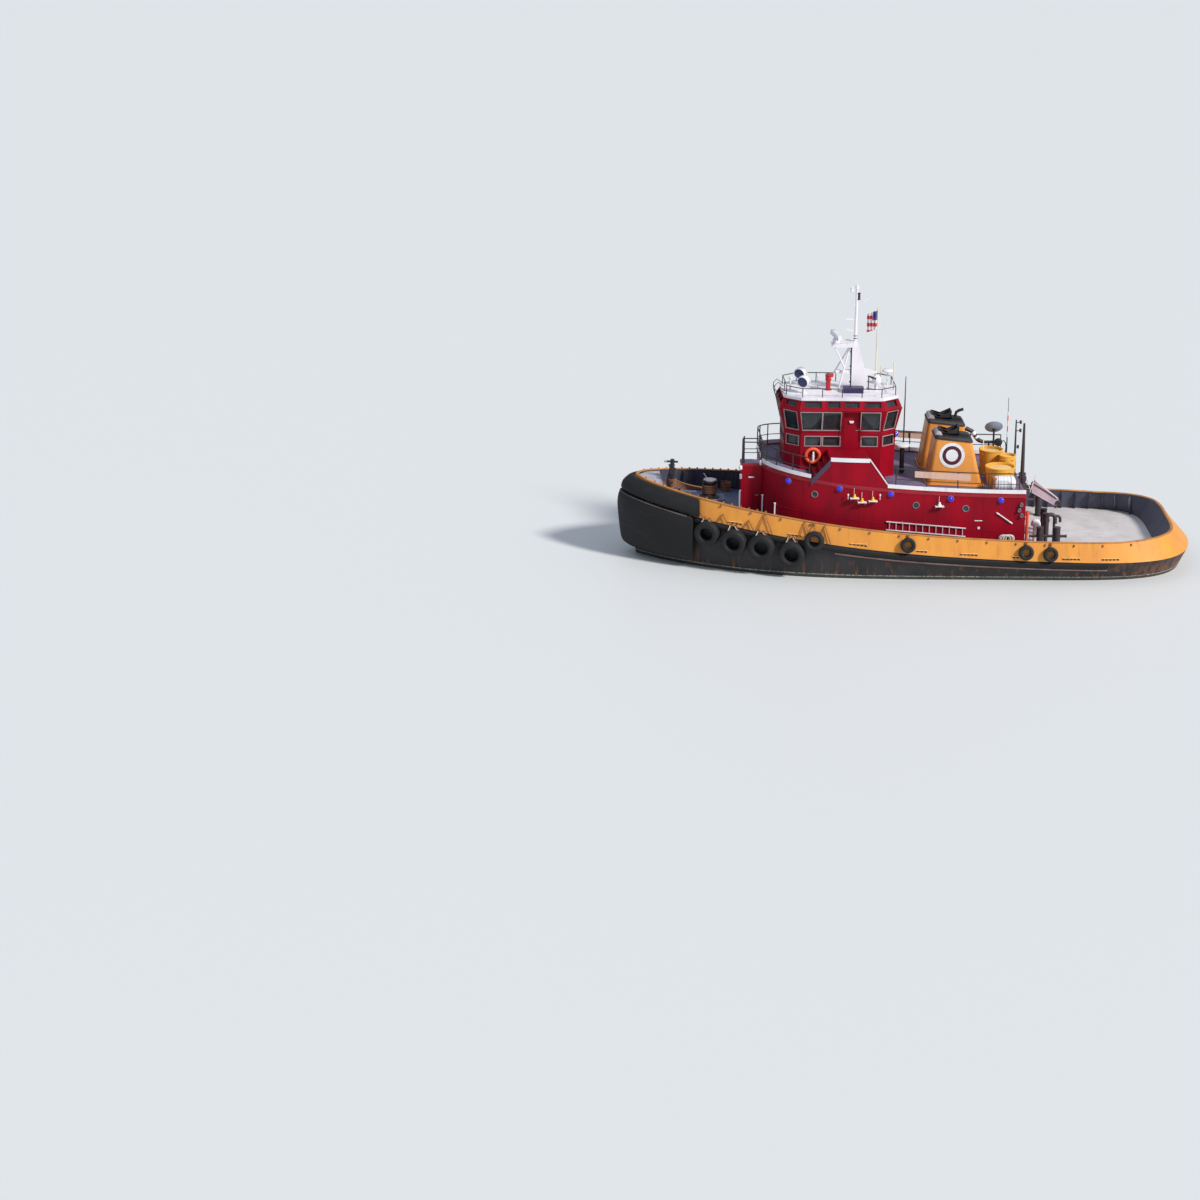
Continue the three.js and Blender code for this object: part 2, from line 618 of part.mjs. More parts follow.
const wheelhouseDoor = fuse([
  box(DOOR_X[0] + RUN, DOOR_X[1] - RUN, WH.half - 65, WH.half - 15, LANDING_Z + RUN, WH_DOOR_TOP - RUN),
  ...lugs(DOOR_X[1] - 30, DOOR_X[1] - GAP, WH.half - 65, WH.half - 15, LANDING_Z,
    WH_DOOR_TOP - LANDING_Z),
]);

const wheelhouseFloor = skin([
  octagon(-WH.wall - GAP, LANDING_Z - 90), octagon(-WH.wall - GAP, LANDING_Z - 10),
]);

// Console, and a chair on the cable duct that leads to it
const FLOOR_IN = LANDING_Z - 20;         // they stand a little way into the floor
const SEAT_Z = LANDING_Z + 500;
const SEAT_BACK_Z = LANDING_Z + 1150;
const helm = fuse([
  box(4300, 4800, -900, 900, FLOOR_IN, LANDING_Z + 950),
  sidePlate([[3100, FLOOR_IN], [3500, FLOOR_IN], [3500, SEAT_Z], [3180, SEAT_Z + 60],
    [3080, SEAT_BACK_Z], [3000, SEAT_BACK_Z]], -270, 270),
  box(3400, 4400, -60, 60, FLOOR_IN, LANDING_Z + 60),
]);

const roofZ = WH.eavesZ + WH.roof;
const roof = skin([octagon(WH.eavesOut + 20, WH.eavesZ + GAP), octagon(WH.eavesOut + 20, roofZ)]);

// Railings: posts at the points of a run along their feet, and rails from each post to the next

function railing(feet, height, rows, postR, railR) {
  const up = ([x, y, z], rise) => [x, y, z + rise];
  const parts = feet.map((p) => bar(up(p, -60), up(p, height + railR), postR, 4));
  for (let i = 1; i < feet.length; i++) {
    for (let k = 1; k <= rows; k++) {
      const rise = height * k / rows;
      parts.push(bar(up(feet[i - 1], rise), up(feet[i], rise), railR, 4));
    }
  }
  return fuse(parts);
}

// A run with points put in, so that none of its stretches is longer than a given length.
function spaced(run, longest) {
  const feet = [run[0]];
  for (let i = 1; i < run.length; i++) {
    const [a, b] = [run[i - 1], run[i]];
    const parts = Math.ceil(Math.hypot(b[0] - a[0], b[1] - a[1]) / longest);
    for (let k = 1; k <= parts; k++) feet.push(a.map((v, n) => v + (b[n] - v) * k / parts));
  }
  return feet;
}

// On the boat deck they stand in a low coaming along its edge, which stops at the landings
const COAMING = { height: 220, out: 25, in: 5, aftEnd: 1290, foreStart: 4620 };
const coaming = planPlate(houseOutline(-COAMING.out), 0, 9000)
  .subtract(planPlate(houseOutline(COAMING.in), -100, 9100))
  .intersect(onBoatDeck).intersect(below(boatDeckZ, -COAMING.height));

const RAIL_HEIGHT = 940;
const SIDE_POSTS = [-4500, -3140, -1780, -420, 940];
const SWEEP_POSTS = [33, 45, 60, 75, 90];
const deckRail = (run) => railing(run.map(([x, y]) => [x, y, boatDeckZ(x)]), RAIL_HEIGHT, 2, 27, 20);

const railingPort = fuse([
  deckRail(SIDE_POSTS.map((x) => [x, HOUSE_HALF])).intersect(onBoatDeck),
  coaming.intersect(box(HOUSE_AFT_X + COAMING.in, COAMING.aftEnd, 0, 6000, 0, 9000)),
]);

const sweepRun = SWEEP_POSTS.map((degrees) => onSweep(degrees, 0));
const boxRun = [[HOUSE_NOSE_X, VESTIBULE_HALF], [VESTIBULE_X - 70, VESTIBULE_HALF - 30],
  [VESTIBULE_X - 70, VESTIBULE_INNER + 30], [HOUSE_NOSE_X, VESTIBULE_INNER]];
const frontRun = [VESTIBULE_HALF, 0, -VESTIBULE_HALF].map((y) => [HOUSE_NOSE_X, y]);
const railingFore = fuse([
  deckRail(sweepRun), deckRail(sweepRun.map(([x, y]) => [x, -y])), deckRail(boxRun),
  deckRail(frontRun),
]).intersect(onBoatDeck).add(
  coaming.intersect(box(COAMING.foreStart, HOUSE_NOSE_X + 20, -6000, 6000, 0, 9000)));

const roofRun = octagon(-40, roofZ);
const roofRail = railing(spaced([...roofRun, roofRun[0]], 950), 380, 1, 24, 18)
  .intersect(box(-1000, 8000, -3000, 3000, roofZ + GAP, 9000));

// Funnels

function chamfered([x0, x1], [y0, y1], z, c) {
  return [
    [x1, y0 + c, z], [x1, y1 - c, z], [x1 - c, y1, z], [x0 + c, y1, z],
    [x0, y1 - c, z], [x0, y0 + c, z], [x0 + c, y0, z], [x1 - c, y0, z],
  ];
}

// A tapered casing with its cap, both lower aft. On the cap stand the exhaust's hood, whose rim
// rises aft behind a notch, and the silencer's casing aft of it. The starboard one has a bent pipe.
const FUNNEL_TOP = 5750;
const CAP_TOP = FUNNEL_TOP + 120;
const FUNNEL_RAKE = 0.1;
const FUNNEL_MID_X = -1700;
const EXHAUST = { y: 1410, hoodHalf: 330, casingHalf: 230, pipeR: 65 };
const raked = (points) => points.map(([x, y, z]) => [x, y, z + FUNNEL_RAKE * (x - FUNNEL_MID_X)]);
const onCap = (points) => points.map(([x, rise]) => [
  x, CAP_TOP + rise + FUNNEL_RAKE * (x - FUNNEL_MID_X)]);
const funnel = fuse([
  skin([
    chamfered([-3060, -580], [560, 2220], 3500, 180),
    raked(chamfered([-2520, -890], [700, 2120], FUNNEL_TOP, 160)),
  ]).intersect(onBoatDeck),
  skin([
    raked(chamfered([-2550, -860], [670, 2150], FUNNEL_TOP - 10, 150)),
    raked(chamfered([-2480, -930], [740, 2080], CAP_TOP, 150)),
  ]),
  sidePlate(onCap([[-1900, -40], [-1060, -40], [-1130, 230], [-1380, 90], [-1960, 400]]),
    EXHAUST.y - EXHAUST.hoodHalf, EXHAUST.y + EXHAUST.hoodHalf),
  sidePlate(onCap([[-2440, -40], [-1700, -40], [-1700, 130], [-2380, 100], [-2440, 40]]),
    EXHAUST.y - EXHAUST.casingHalf, EXHAUST.y + EXHAUST.casingHalf),
]);
const bentPipe = pipe([[-2180, EXHAUST.y, CAP_TOP], [-2160, EXHAUST.y, CAP_TOP + 300],
  [-2480, EXHAUST.y, CAP_TOP + 420]], EXHAUST.pipeR, 8);

// Mast on the wheelhouse roof

const FOOT_Z = roofZ + GAP;
const POLE = { x: 2565, foot: 9500, lamp: 12000, top: 12170 };
const PLATFORM_Z = 9430;         // underside of the radar's platform
const STRUT_HEAD_Z = PLATFORM_Z + 50;
const mast = fuse([
  // the plated lower mast, with its aft bracket
  sidePlate([[2680, FOOT_Z], [2010, FOOT_Z], [2010, 8150], [1600, 8250], [1600, 8330],
    [2120, 8420], [2440, 9650], [2700, 9560]], -90, 90),
  bar([POLE.x, 0, POLE.foot], [POLE.x, 0, POLE.lamp + 50], 75, 10, 55),
  bar([POLE.x, 0, POLE.lamp], [POLE.x, 0, POLE.top], 80, 10),
  // platform and the three tubes under it
  sidePlate([[2600, PLATFORM_Z], [3600, PLATFORM_Z], [3600, PLATFORM_Z + 130],
    [2600, PLATFORM_Z + 230]], -260, 260),
  bar([2780, 0, STRUT_HEAD_Z], [3270, 250, FOOT_Z], 45, 6),
  bar([3500, 200, STRUT_HEAD_Z], [3010, 120, 8490], 35, 6),
  bar([2760, -50, STRUT_HEAD_Z], [3540, -1380, FOOT_Z], 35, 6),
  // gaff, lamp arm and the light box forward of the foot
  bar([POLE.x, 0, 11150], [2050, 0, 11650], 25, 6),
  box(2600, 3000, -30, 30, 10620, 10680),
  box(2650, 3380, -150, 30, 8210, 8350),
]).intersect(box(0, 6000, -2000, 2000, FOOT_Z, 13000));

const RADAR = { x: 3420, top: 9750, half: 750 };
const radarPedestal = bar([RADAR.x, 0, 9520], [RADAR.x, 0, RADAR.top], 170, 12, 150);
const radarScanner = box(-110, 110, -RADAR.half, RADAR.half, 60, 210).rotate([0, 0, 7])
  .add(bar([0, 0, 0], [0, 0, 100], 60, 12)).translate([RADAR.x, 0, RADAR.top + GAP]);

// Searchlights, pan on their pedestals

const LIGHT = { x: 4830, y: 750, z: 8050, r: 250, stem: 290, tilt: 100, heading: 62 };
const lightPedestal = fuse([
  bar([LIGHT.x, LIGHT.y, roofZ - 20], [LIGHT.x, LIGHT.y, LIGHT.z - LIGHT.stem - GAP], 55, 10),
  bar([LIGHT.x, LIGHT.y, roofZ - 20], [LIGHT.x, LIGHT.y, roofZ + 40], 130, 12),
]);
const searchlight = fuse([
  turned([[0, 230], [LIGHT.r, 220], [LIGHT.r, 40], [220, -80], [150, -190], [0, -230]], 14)
    .rotate([0, LIGHT.tilt, 0]).rotate([0, 0, LIGHT.heading]),
  bar([0, 0, -LIGHT.stem], [0, 0, -150], 55, 10),
]).translate([LIGHT.x, LIGHT.y, LIGHT.z]);

const MONITOR = { x: 3700, y: 100, seat: 7950 };
const monitorBase = bar([MONITOR.x, MONITOR.y, roofZ - 20], [MONITOR.x, MONITOR.y, MONITOR.seat], 95, 10);
const monitorHead = fuse([
  bar([0, 0, GAP], [0, 0, 260], 110, 10),
  bar([0, 0, 200], [-60, 330, 270], 80, 8, 60),
  bar([-50, 280, 260], [-85, 480, 300], 85, 8, 95),
]).translate([MONITOR.x, MONITOR.y, MONITOR.seat]);

// Deck gear

const CAPSTAN_X = 8770;
const BED_Z = deckZ(CAPSTAN_X) + 330;
const winchBed = box(8100, 10200, -520, 520, 1800, BED_Z).intersect(onDeck);
// The drum is full of rope: radius and height of its outline
const capstan = turned([
  [0, 0], [440, 0], [440, 60], [350, 100], [370, 350], [350, 610], [400, 690], [400, 740], [0, 760],
], 18).translate([CAPSTAN_X, 0, BED_Z + GAP]);

const STAPLE = { x: 10450, half: 300, barZ: 3780, top: 4250 };
const staple = fuse([
  ...[1, -1].map((side) => bar([STAPLE.x, side * STAPLE.half, 2000],
    [STAPLE.x, side * STAPLE.half, STAPLE.barZ + 120], 110, 8)),
  bar([STAPLE.x, -STAPLE.half - 180, STAPLE.barZ], [STAPLE.x, STAPLE.half + 180, STAPLE.barZ], 100, 8),
  bar([STAPLE.x, 0, STAPLE.barZ], [STAPLE.x, 0, STAPLE.top], 90, 8),
]).intersect(onDeck);

const STAFF = { x: 7430, y: 1230, height: 1200 };
const jackstaff = bar([STAFF.x, STAFF.y, boatDeckZ(STAFF.x) + GAP],
  [STAFF.x, STAFF.y, boatDeckZ(STAFF.x) + STAFF.height], 45, 8, 30);

const QUARTER = { x: [-5530, -6280], y: 3050, top: 2100, barZ: 1700 };
const quarterBitts = fuse([
  ...QUARTER.x.map((x) => bar([x, QUARTER.y, 700], [x, QUARTER.y, QUARTER.top], 150, 12)),
  bar([QUARTER.x[0] + 450, QUARTER.y, QUARTER.barZ], [QUARTER.x[1] - 410, QUARTER.y, QUARTER.barZ],
    60, 6),
]).intersect(onDeck);

const TOW = { x: -6150, half: 380, top: 2000, barZ: 1750 };
const towBitt = fuse([
  ...[1, -1].map((side) => bar([TOW.x, side * TOW.half, 700], [TOW.x, side * TOW.half, TOW.top],
    140, 12)),
  bar([TOW.x, -TOW.half - 240, TOW.barZ], [TOW.x, TOW.half + 240, TOW.barZ], 110, 8),
]).intersect(onDeck);

// King post on the house's aft wall, and the boom that is hinged at its heel. A band turns round
// the post, on a collar, and the pin in the band's fork passes through the boom's tongue.

const POST = { x: -5060, r: 150, head: 3700, top: 6000 };
const BOOM = { out: 330, z: 3120, pinR: 22 };   // from the post's axis to the pin
const BAND_HALF = 150;
const kingPost = fuse([
  bar([POST.x, 0, 700], [POST.x, 0, POST.head], POST.r, 14),
  bar([POST.x, 0, BOOM.z - BAND_HALF - 90], [POST.x, 0, BOOM.z - BAND_HALF - GAP], POST.r + 60, 14),
  bar([POST.x, 0, POST.head - 10], [POST.x, 0, POST.top], 90, 12, 45),
  box(POST.x, HOUSE_AFT_X - GAP, -40, 40, 3390, 3480),
  box(POST.x, HOUSE_AFT_X - GAP, -40, 40, 1500, 1600),
]).intersect(onDeck);

const FORK_SLOT = 52;
const TONGUE = 40;
const acrossShip = ([x, z], radius, reach) => bar([x, -reach, z], [x, reach, z], radius, 16);
const slewBand = turned([
  [POST.r + 8, -BAND_HALF], [POST.r + 75, -BAND_HALF], [POST.r + 75, BAND_HALF],
  [POST.r + 8, BAND_HALF], [POST.r + 8, -BAND_HALF],
], 16)
  .add(box(-BOOM.out - 60, -POST.r - 40, -66, 66, -70, 70))
  .subtract(box(-BOOM.out - 80, -POST.r - 80, -FORK_SLOT / 2, FORK_SLOT / 2, -200, 200))
  .add(acrossShip([-BOOM.out, 0], BOOM.pinR, 50))
  .translate([POST.x, 0, BOOM.z]);
const boom = fuse([
  sidePlate([[-260, 270], [-110, 150], [-110, -230], [-1250, -870], [-1330, -560]], -150, 150),
  box(-130, 50, -TONGUE / 2, TONGUE / 2, -50, 50),
]).subtract(acrossShip([0, 0], BOOM.pinR + 0.7, 50)).translate([POST.x - BOOM.out, 0, BOOM.z]);

// Boat-deck gear

function tub(x, y, r, rimZ, footZ) {
  return turned([
    [0, footZ - 60], [r * 0.86, footZ - 60], [r, rimZ], [r - 45, rimZ], [r * 0.82, footZ + 150],
    [0, footZ + 150],
  ], 18).translate([x, y, 0]).intersect(onBoatDeck);
}
const tubs = [
  ['tub_large', tub(-3850, 1650, 660, 4500, boatDeckZ(-3850))],
  ['tub_tall', tub(-3650, -150, 530, 4800, boatDeckZ(-3650))],
  ['tub_small', tub(-4290, 640, 370, 4740, boatDeckZ(-4290))],
];

const RAFT = { x: -3900, y: 2750, z: 4000, r: 330, half: 500 };
const raft = fuse([
  bar([RAFT.x - RAFT.half, RAFT.y, RAFT.z], [RAFT.x + RAFT.half, RAFT.y, RAFT.z], RAFT.r, 16),
  ...[-310, 310].map((dx) => box(RAFT.x + dx - 40, RAFT.x + dx + 40, RAFT.y - 220, RAFT.y + 220,
    3600, RAFT.z - 150)),
]).intersect(onBoatDeck);

const DISH = { x: -3820, y: -740, z: 5530, tilt: 50 };
const dish = fuse([
  bar([DISH.x, DISH.y, 3600], [DISH.x, DISH.y, DISH.z - 30], 50, 8),
  turned([[0, 0], [380, 110], [400, 150], [370, 140], [0, 45]], 18)
    .rotate([DISH.tilt, 0, 0]).translate([DISH.x, DISH.y + 10, DISH.z]),
]).intersect(onBoatDeck);

// Ladder stowed flat against the house side: its foot and head, and the width between its rails
const LADDER = { aft: -2200, fore: 1300, aftZ: 1760, foreZ: 2040, width: 370, rungs: 12 };
const ladderY = HOUSE_HALF + 55;
const ladderZ = (x) => LADDER.aftZ
  + (LADDER.foreZ - LADDER.aftZ) * (x - LADDER.aft) / (LADDER.fore - LADDER.aft);
const ladderRail = (lift) => bar([LADDER.aft, ladderY, LADDER.aftZ + lift],
  [LADDER.fore, ladderY, LADDER.foreZ + lift], 28, 4);
const ladder = fuse([
  ladderRail(0), ladderRail(LADDER.width),
  ...Array.from({ length: LADDER.rungs }, (_, i) => {
    const x = LADDER.aft + 150 + (LADDER.fore - LADDER.aft - 300) * i / (LADDER.rungs - 1);
    return bar([x, ladderY, ladderZ(x)], [x, ladderY, ladderZ(x) + LADDER.width], 20, 4);
  }),
  ...[LADDER.aft + 500, LADDER.fore - 500].map((x) => box(x, x + 60, HOUSE_HALF + GAP,
    ladderY - 5, ladderZ(x) + LADDER.width - 30, ladderZ(x) + LADDER.width + 30)),
]);

const LIFE_RING = { x: 4430, z: 4870, r: 300, tube: 75 };
const lifeRing = (() => {
  const g = new THREE.TorusGeometry(LIFE_RING.r, LIFE_RING.tube, 6, 16);
  g.rotateX(Math.PI / 2);
  g.translate(LIFE_RING.x, WH.half + LIFE_RING.tube * Math.sin(Math.PI / 3) + GAP, LIFE_RING.z);
  return solid(g);
})();

// Doors of the deckhouse

const aftDoor = fuse([
  box(HOUSE_AFT_X - 5, HOUSE_AFT_X + 45, AFT_DOOR_Y + RUN, AFT_DOOR_Y + DOOR.width - RUN,
    aftDoorZ + RUN, aftDoorZ + DOOR.height - RUN),
  ...lugs(HOUSE_AFT_X - 5, HOUSE_AFT_X + 45, AFT_DOOR_Y + DOOR.width - 30,
    AFT_DOOR_Y + DOOR.width - GAP, aftDoorZ, DOOR.height),
]);
const vestibuleDoor = fuse([
  box(VESTIBULE_DOOR_X + RUN, VESTIBULE_DOOR_X + DOOR.width - RUN, VESTIBULE_HALF - 45,
    VESTIBULE_HALF + 5, vestibuleDoorZ + RUN, vestibuleDoorZ + VESTIBULE_DOOR_HEIGHT - RUN),
  ...lugs(VESTIBULE_DOOR_X + DOOR.width - 30, VESTIBULE_DOOR_X + DOOR.width - GAP,
    VESTIBULE_HALF - 45, VESTIBULE_HALF + 5, vestibuleDoorZ, VESTIBULE_DOOR_HEIGHT),
]);

// The finished group

const PAINT = {
  black: [0x16171a, 0.6, 0], rubber: [0x1b1b1d, 0.9, 0], yellow: [0xf0a63c, 0.5, 0],
  crimson: [0xa80a26, 0.5, 0], white: [0xe6e6ea, 0.5, 0], grey: [0xb7b9bd, 0.7, 0],
  blueGrey: [0x49546b, 0.7, 0], glass: [0x1d2a2e, 0.1, 0], bronze: [0x9b7a3a, 0.4, 1],
  tub: [0xf2b233, 0.5, 0], aluminium: [0xc9cdd2, 0.4, 1], orange: [0xe0441c, 0.6, 0],
  red: [0xc01626, 0.5, 0],
};

const tug = new THREE.Group();

function add(name, s, paint) {
  const mesh = s.getMesh();
  const g = new THREE.BufferGeometry();
  g.setAttribute('position', new THREE.Float32BufferAttribute(mesh.vertProperties, 3));
  g.setIndex(new THREE.Uint32BufferAttribute(mesh.triVerts, 1));
  g.computeVertexNormals();
  const [color, roughness, metalness] = PAINT[paint];
  const node = new THREE.Mesh(g, new THREE.MeshStandardMaterial({ color, roughness, metalness }));
  node.name = name;
  tug.add(node);
}

function addPair(name, s, paint) {
  add(`${name}_port`, s, paint);
  add(`${name}_starboard`, mirrored(s), paint);
}

add('hull', hull, 'black');
add('bulwark_bow', bulwarkBow, 'yellow');
add('bulwark_stern', bulwarkStern, 'yellow');
addPair('bulwark', bulwarkPort, 'yellow');
add('breasthook', breasthook, 'grey');
add('bow_fender_upper', upperBowFender, 'rubber');
add('bow_fender_lower', lowerBowFender, 'rubber');
addPair('side_fender', fenderPort, 'rubber');
add('propeller_port', propeller(1), 'bronze');
add('propeller_starboard', mirrored(propeller(1)), 'bronze');
addPair('rudder', rudder(1), 'black');

add('house_aft', houseAft, 'crimson');
addPair('house_side', housePort, 'crimson');
add('house_front', houseFront, 'crimson');
add('house_door_aft', aftDoor, 'crimson');
add('vestibule_door', vestibuleDoor, 'crimson');
add('boat_deck', boatDeck, 'blueGrey');
addPair('landing', landing, 'crimson');
addPair('railing', railingPort, 'black');
add('railing_fore', fuse([railingFore, jackstaff]), 'black');

add('wheelhouse_front', wheelhouseFront, 'crimson');
add('wheelhouse_aft', wheelhouseAft, 'crimson');
addPair('wheelhouse_side', wheelhousePort, 'crimson');
addPair('wheelhouse_door', wheelhouseDoor, 'crimson');
add('glass_front', glassFront, 'glass');
add('glass_aft', glassAft, 'glass');
add('wheelhouse_floor', fuse([wheelhouseFloor, helm]), 'grey');
add('wheelhouse_roof', fuse([roof, lightPedestal, mirrored(lightPedestal), monitorBase]), 'white');
add('roof_rail', roofRail, 'black');

add('funnel_port', funnel, 'yellow');
add('funnel_starboard', mirrored(fuse([funnel, bentPipe])), 'yellow');
add('mast', fuse([mast, radarPedestal]), 'white');
add('radar_scanner', radarScanner, 'white');
add('searchlight_port', searchlight, 'white');
add('searchlight_starboard', searchlight.translate([0, -2 * LIGHT.y, 0]), 'white');
add('monitor_head', monitorHead, 'red');

add('winch_bed', winchBed, 'blueGrey');
add('capstan', capstan, 'black');
add('staple', staple, 'black');
addPair('quarter_bitts', quarterBitts, 'black');
add('tow_bitt', towBitt, 'black');
add('king_post', kingPost, 'black');
add('slew_band', slewBand, 'black');
add('boom', boom, 'white');
for (const [name, s] of tubs) add(name, s, 'tub');
add('raft', raft, 'white');
add('dish', dish, 'white');
add('ladder', ladder, 'aluminium');
add('life_ring', lifeRing, 'orange');

export default tug;
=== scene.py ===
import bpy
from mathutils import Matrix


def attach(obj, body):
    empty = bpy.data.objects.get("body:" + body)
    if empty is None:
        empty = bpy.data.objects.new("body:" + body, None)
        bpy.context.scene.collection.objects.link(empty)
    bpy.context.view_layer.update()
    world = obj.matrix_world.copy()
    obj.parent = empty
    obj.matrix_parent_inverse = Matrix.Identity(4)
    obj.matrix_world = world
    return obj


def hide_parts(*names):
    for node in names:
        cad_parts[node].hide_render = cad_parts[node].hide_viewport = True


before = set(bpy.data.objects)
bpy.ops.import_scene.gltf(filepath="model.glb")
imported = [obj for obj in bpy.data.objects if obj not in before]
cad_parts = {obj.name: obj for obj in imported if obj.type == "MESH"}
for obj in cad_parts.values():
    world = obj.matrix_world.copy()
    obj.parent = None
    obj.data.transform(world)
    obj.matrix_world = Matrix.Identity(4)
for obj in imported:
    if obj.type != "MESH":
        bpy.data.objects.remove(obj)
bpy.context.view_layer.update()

import math

import bmesh
import bpy
import numpy as np
from mathutils import Matrix, Vector

# Camera. The photograph was taken with a very long lens from a bank high above the water, a
# little ahead of the port beam, and the horizon leans. A lens of 201 mm on a 36 mm sensor is
# 6700 pixels of the 1200 pixel frame.
PIXELS = 1200
FOCAL = 6700                       # pixels
PER_METRE = 22.6                   # pixels to a metre at the boat
ORIGIN_AT = (905.1, 553.76)        # where the waterline's middle point shows, in pixels
PITCH, SWING, ROLL = map(math.radians, (15.98, 4.25, -1.515))

back = Vector((math.sin(SWING) * math.cos(PITCH), math.cos(SWING) * math.cos(PITCH),
               math.sin(PITCH)))
level = (-back).cross(Vector((0, 0, 1))).normalized()
upright = level.cross(-back)
right = level * math.cos(ROLL) - upright * math.sin(ROLL)
up = level * math.sin(ROLL) + upright * math.cos(ROLL)
middle = PIXELS / 2
camera_place = (back * FOCAL - right * (ORIGIN_AT[0] - middle)
                + up * (ORIGIN_AT[1] - middle)) / PER_METRE
camera_data = bpy.data.cameras.new("camera")
camera_data.sensor_width = 36
camera_data.lens = 36 * FOCAL / PIXELS
camera_data.clip_end = 3000
camera = bpy.data.objects.new("camera", camera_data)
camera.matrix_world = Matrix.Translation(camera_place) @ Matrix(
    (right, up, back)).transposed().to_4x4()
bpy.context.collection.objects.link(camera)
bpy.context.scene.camera = camera

# Floor and light. A pale floor lies at the waterline, and a soft sun stands high behind the
# stern on the port side, as in the photograph, with pale light from all round.
FLOOR_REACH = 900
SUN_POWER, SKY_STRENGTH = 3.8, 0.56


def plain(name, colour, roughness):
    """One even finish, for the floor only."""
    m = bpy.data.materials.new(name)
    m.use_nodes = True
    bsdf = m.node_tree.nodes["Principled BSDF"]
    bsdf.inputs["Base Color"].default_value = (*colour, 1)
    bsdf.inputs["Roughness"].default_value = roughness
    return m


floor_data = bpy.data.meshes.new("floor")
floor_data.from_pydata([(x, y, 0) for x, y in ((-1, -1), (1, -1), (1, 1), (-1, 1))], [],
                       [(0, 1, 2, 3)])
floor_data.transform(Matrix.Scale(FLOOR_REACH, 4))
floor_data.materials.append(plain("floor", (0.66, 0.68, 0.69), 0.55))
floor = bpy.data.objects.new("floor", floor_data)
bpy.context.collection.objects.link(floor)

sun_data = bpy.data.lights.new("sun", "SUN")
sun_data.energy = SUN_POWER
sun_data.angle = math.radians(9)
sun_data.color = (1.0, 0.96, 0.9)
sun = bpy.data.objects.new("sun", sun_data)
sun.rotation_euler = Vector((-0.62, 0.5, 0.62)).to_track_quat("Z", "Y").to_euler()
bpy.context.collection.objects.link(sun)
world = bpy.data.worlds.new("world")
world.use_nodes = True
world.node_tree.nodes["Background"].inputs["Color"].default_value = (0.78, 0.86, 1.0, 1)
world.node_tree.nodes["Background"].inputs["Strength"].default_value = SKY_STRENGTH
bpy.context.scene.world = world
bpy.context.scene.view_settings.view_transform = "Standard"

# Hull. Welded steel plate, fair below the knuckle, drawn here as a skin over level outlines.
# The deck closes it, in grey paint aft and dark blue-grey paint forward. Black topsides, a
# chalky boot-top line, rust under the scuppers at the stern and red paint below water.
DECK_AFT_Z, SHEER_FROM, SHEER, SHEER_POWER = 0.9, -12.0, 0.00124, 2.3
BULWARK_HEIGHT, STERN_LIFT = 0.84, 0.12
AFT_SWEEP_FROM, FORE_SWEEP_FROM = -2.5, -1.0
AFT_CENTRE, FORE_CENTRE = -6.5, 2.5
SIDE = {"aft_power": 4, "aft_round": 0.233, "fore_power": 2.05, "fore_round": 0.625}
KNUCKLE = {**SIDE, "aft": -12.5, "fore": 12.43, "half": 4.72, "aft_power": 6, "aft_round": 0.45}
RAIL = {**SIDE, "aft": -11.61, "fore": 12.05, "half": 4.59}
RAIL_INNER = {**SIDE, "aft": -11.52, "fore": 11.95, "half": 4.5}
DECK_EDGE = {**SIDE, "aft": -10.92, "fore": 12.2, "half": 4.56, "aft_power": 10,
             "aft_round": 0.2}
WATERLINE = {**KNUCKLE, "aft": -12.1, "fore": 11.95, "half": 4.15, "fore_power": 3,
             "fore_round": 0.9}
BILGE = {**WATERLINE, "aft": -11.5, "fore": 11.0, "half": 3.85}
BOTTOM = {**WATERLINE, "aft": -9.8, "fore": 9.8, "half": 2.5}


def deck_z(x):
    """Height of the weather deck: level aft, rising with a power of the way forward."""
    return DECK_AFT_Z + SHEER * np.maximum(0, np.asarray(x) - SHEER_FROM) ** SHEER_POWER


def rail_z(x):
    """Height of the bulwark's top: a set height over the deck, and a little more aft."""
    stern = np.clip((-9 - np.asarray(x)) / 2.5, 0, 1)
    return deck_z(x) + BULWARK_HEIGHT + STERN_LIFT * stern


def half_breadth(form, x):
    """Full half-breadth amidships, rounded off to each end as (1 - t to a power) to a power."""
    t = np.clip((x - FORE_SWEEP_FROM) / (form["fore"] - FORE_SWEEP_FROM), 0, 1)
    s = np.clip((AFT_SWEEP_FROM - x) / (AFT_SWEEP_FROM - form["aft"]), 0, 1)
    return (form["half"] * (1 - t ** form["fore_power"]) ** form["fore_round"]
            * (1 - s ** form["aft_power"]) ** form["aft_round"])


def on_ray(form, centre, degrees):
    """Where rays from a centreline point meet the outline, found by halving the reach."""
    a = np.radians(degrees)
    near, far = np.zeros_like(a), np.full_like(a, 16.0)
    for _ in range(44):
        r = (near + far) / 2
        inside = r * np.sin(a) < half_breadth(form, centre + r * np.cos(a)) - 1e-9
        near, far = np.where(inside, r, near), np.where(inside, far, r)
    return centre + near * np.cos(a), near * np.sin(a)


def side_outline(form, z):
    """The port half of an outline from the stern's middle to the stem, at heights z(x)."""
    ax, ay = on_ray(form, AFT_CENTRE, np.linspace(180, 100, 34))
    mx = np.linspace(-5.4, 2.4, 18)
    fx, fy = on_ray(form, FORE_CENTRE, np.linspace(84, 0, 46))
    x = np.concatenate([ax, mx, fx])
    y = np.concatenate([ay, half_breadth(form, mx), fy])
    y[0] = y[-1] = 0
    return np.stack([x, y, z(x) + 0 * x], axis=-1)


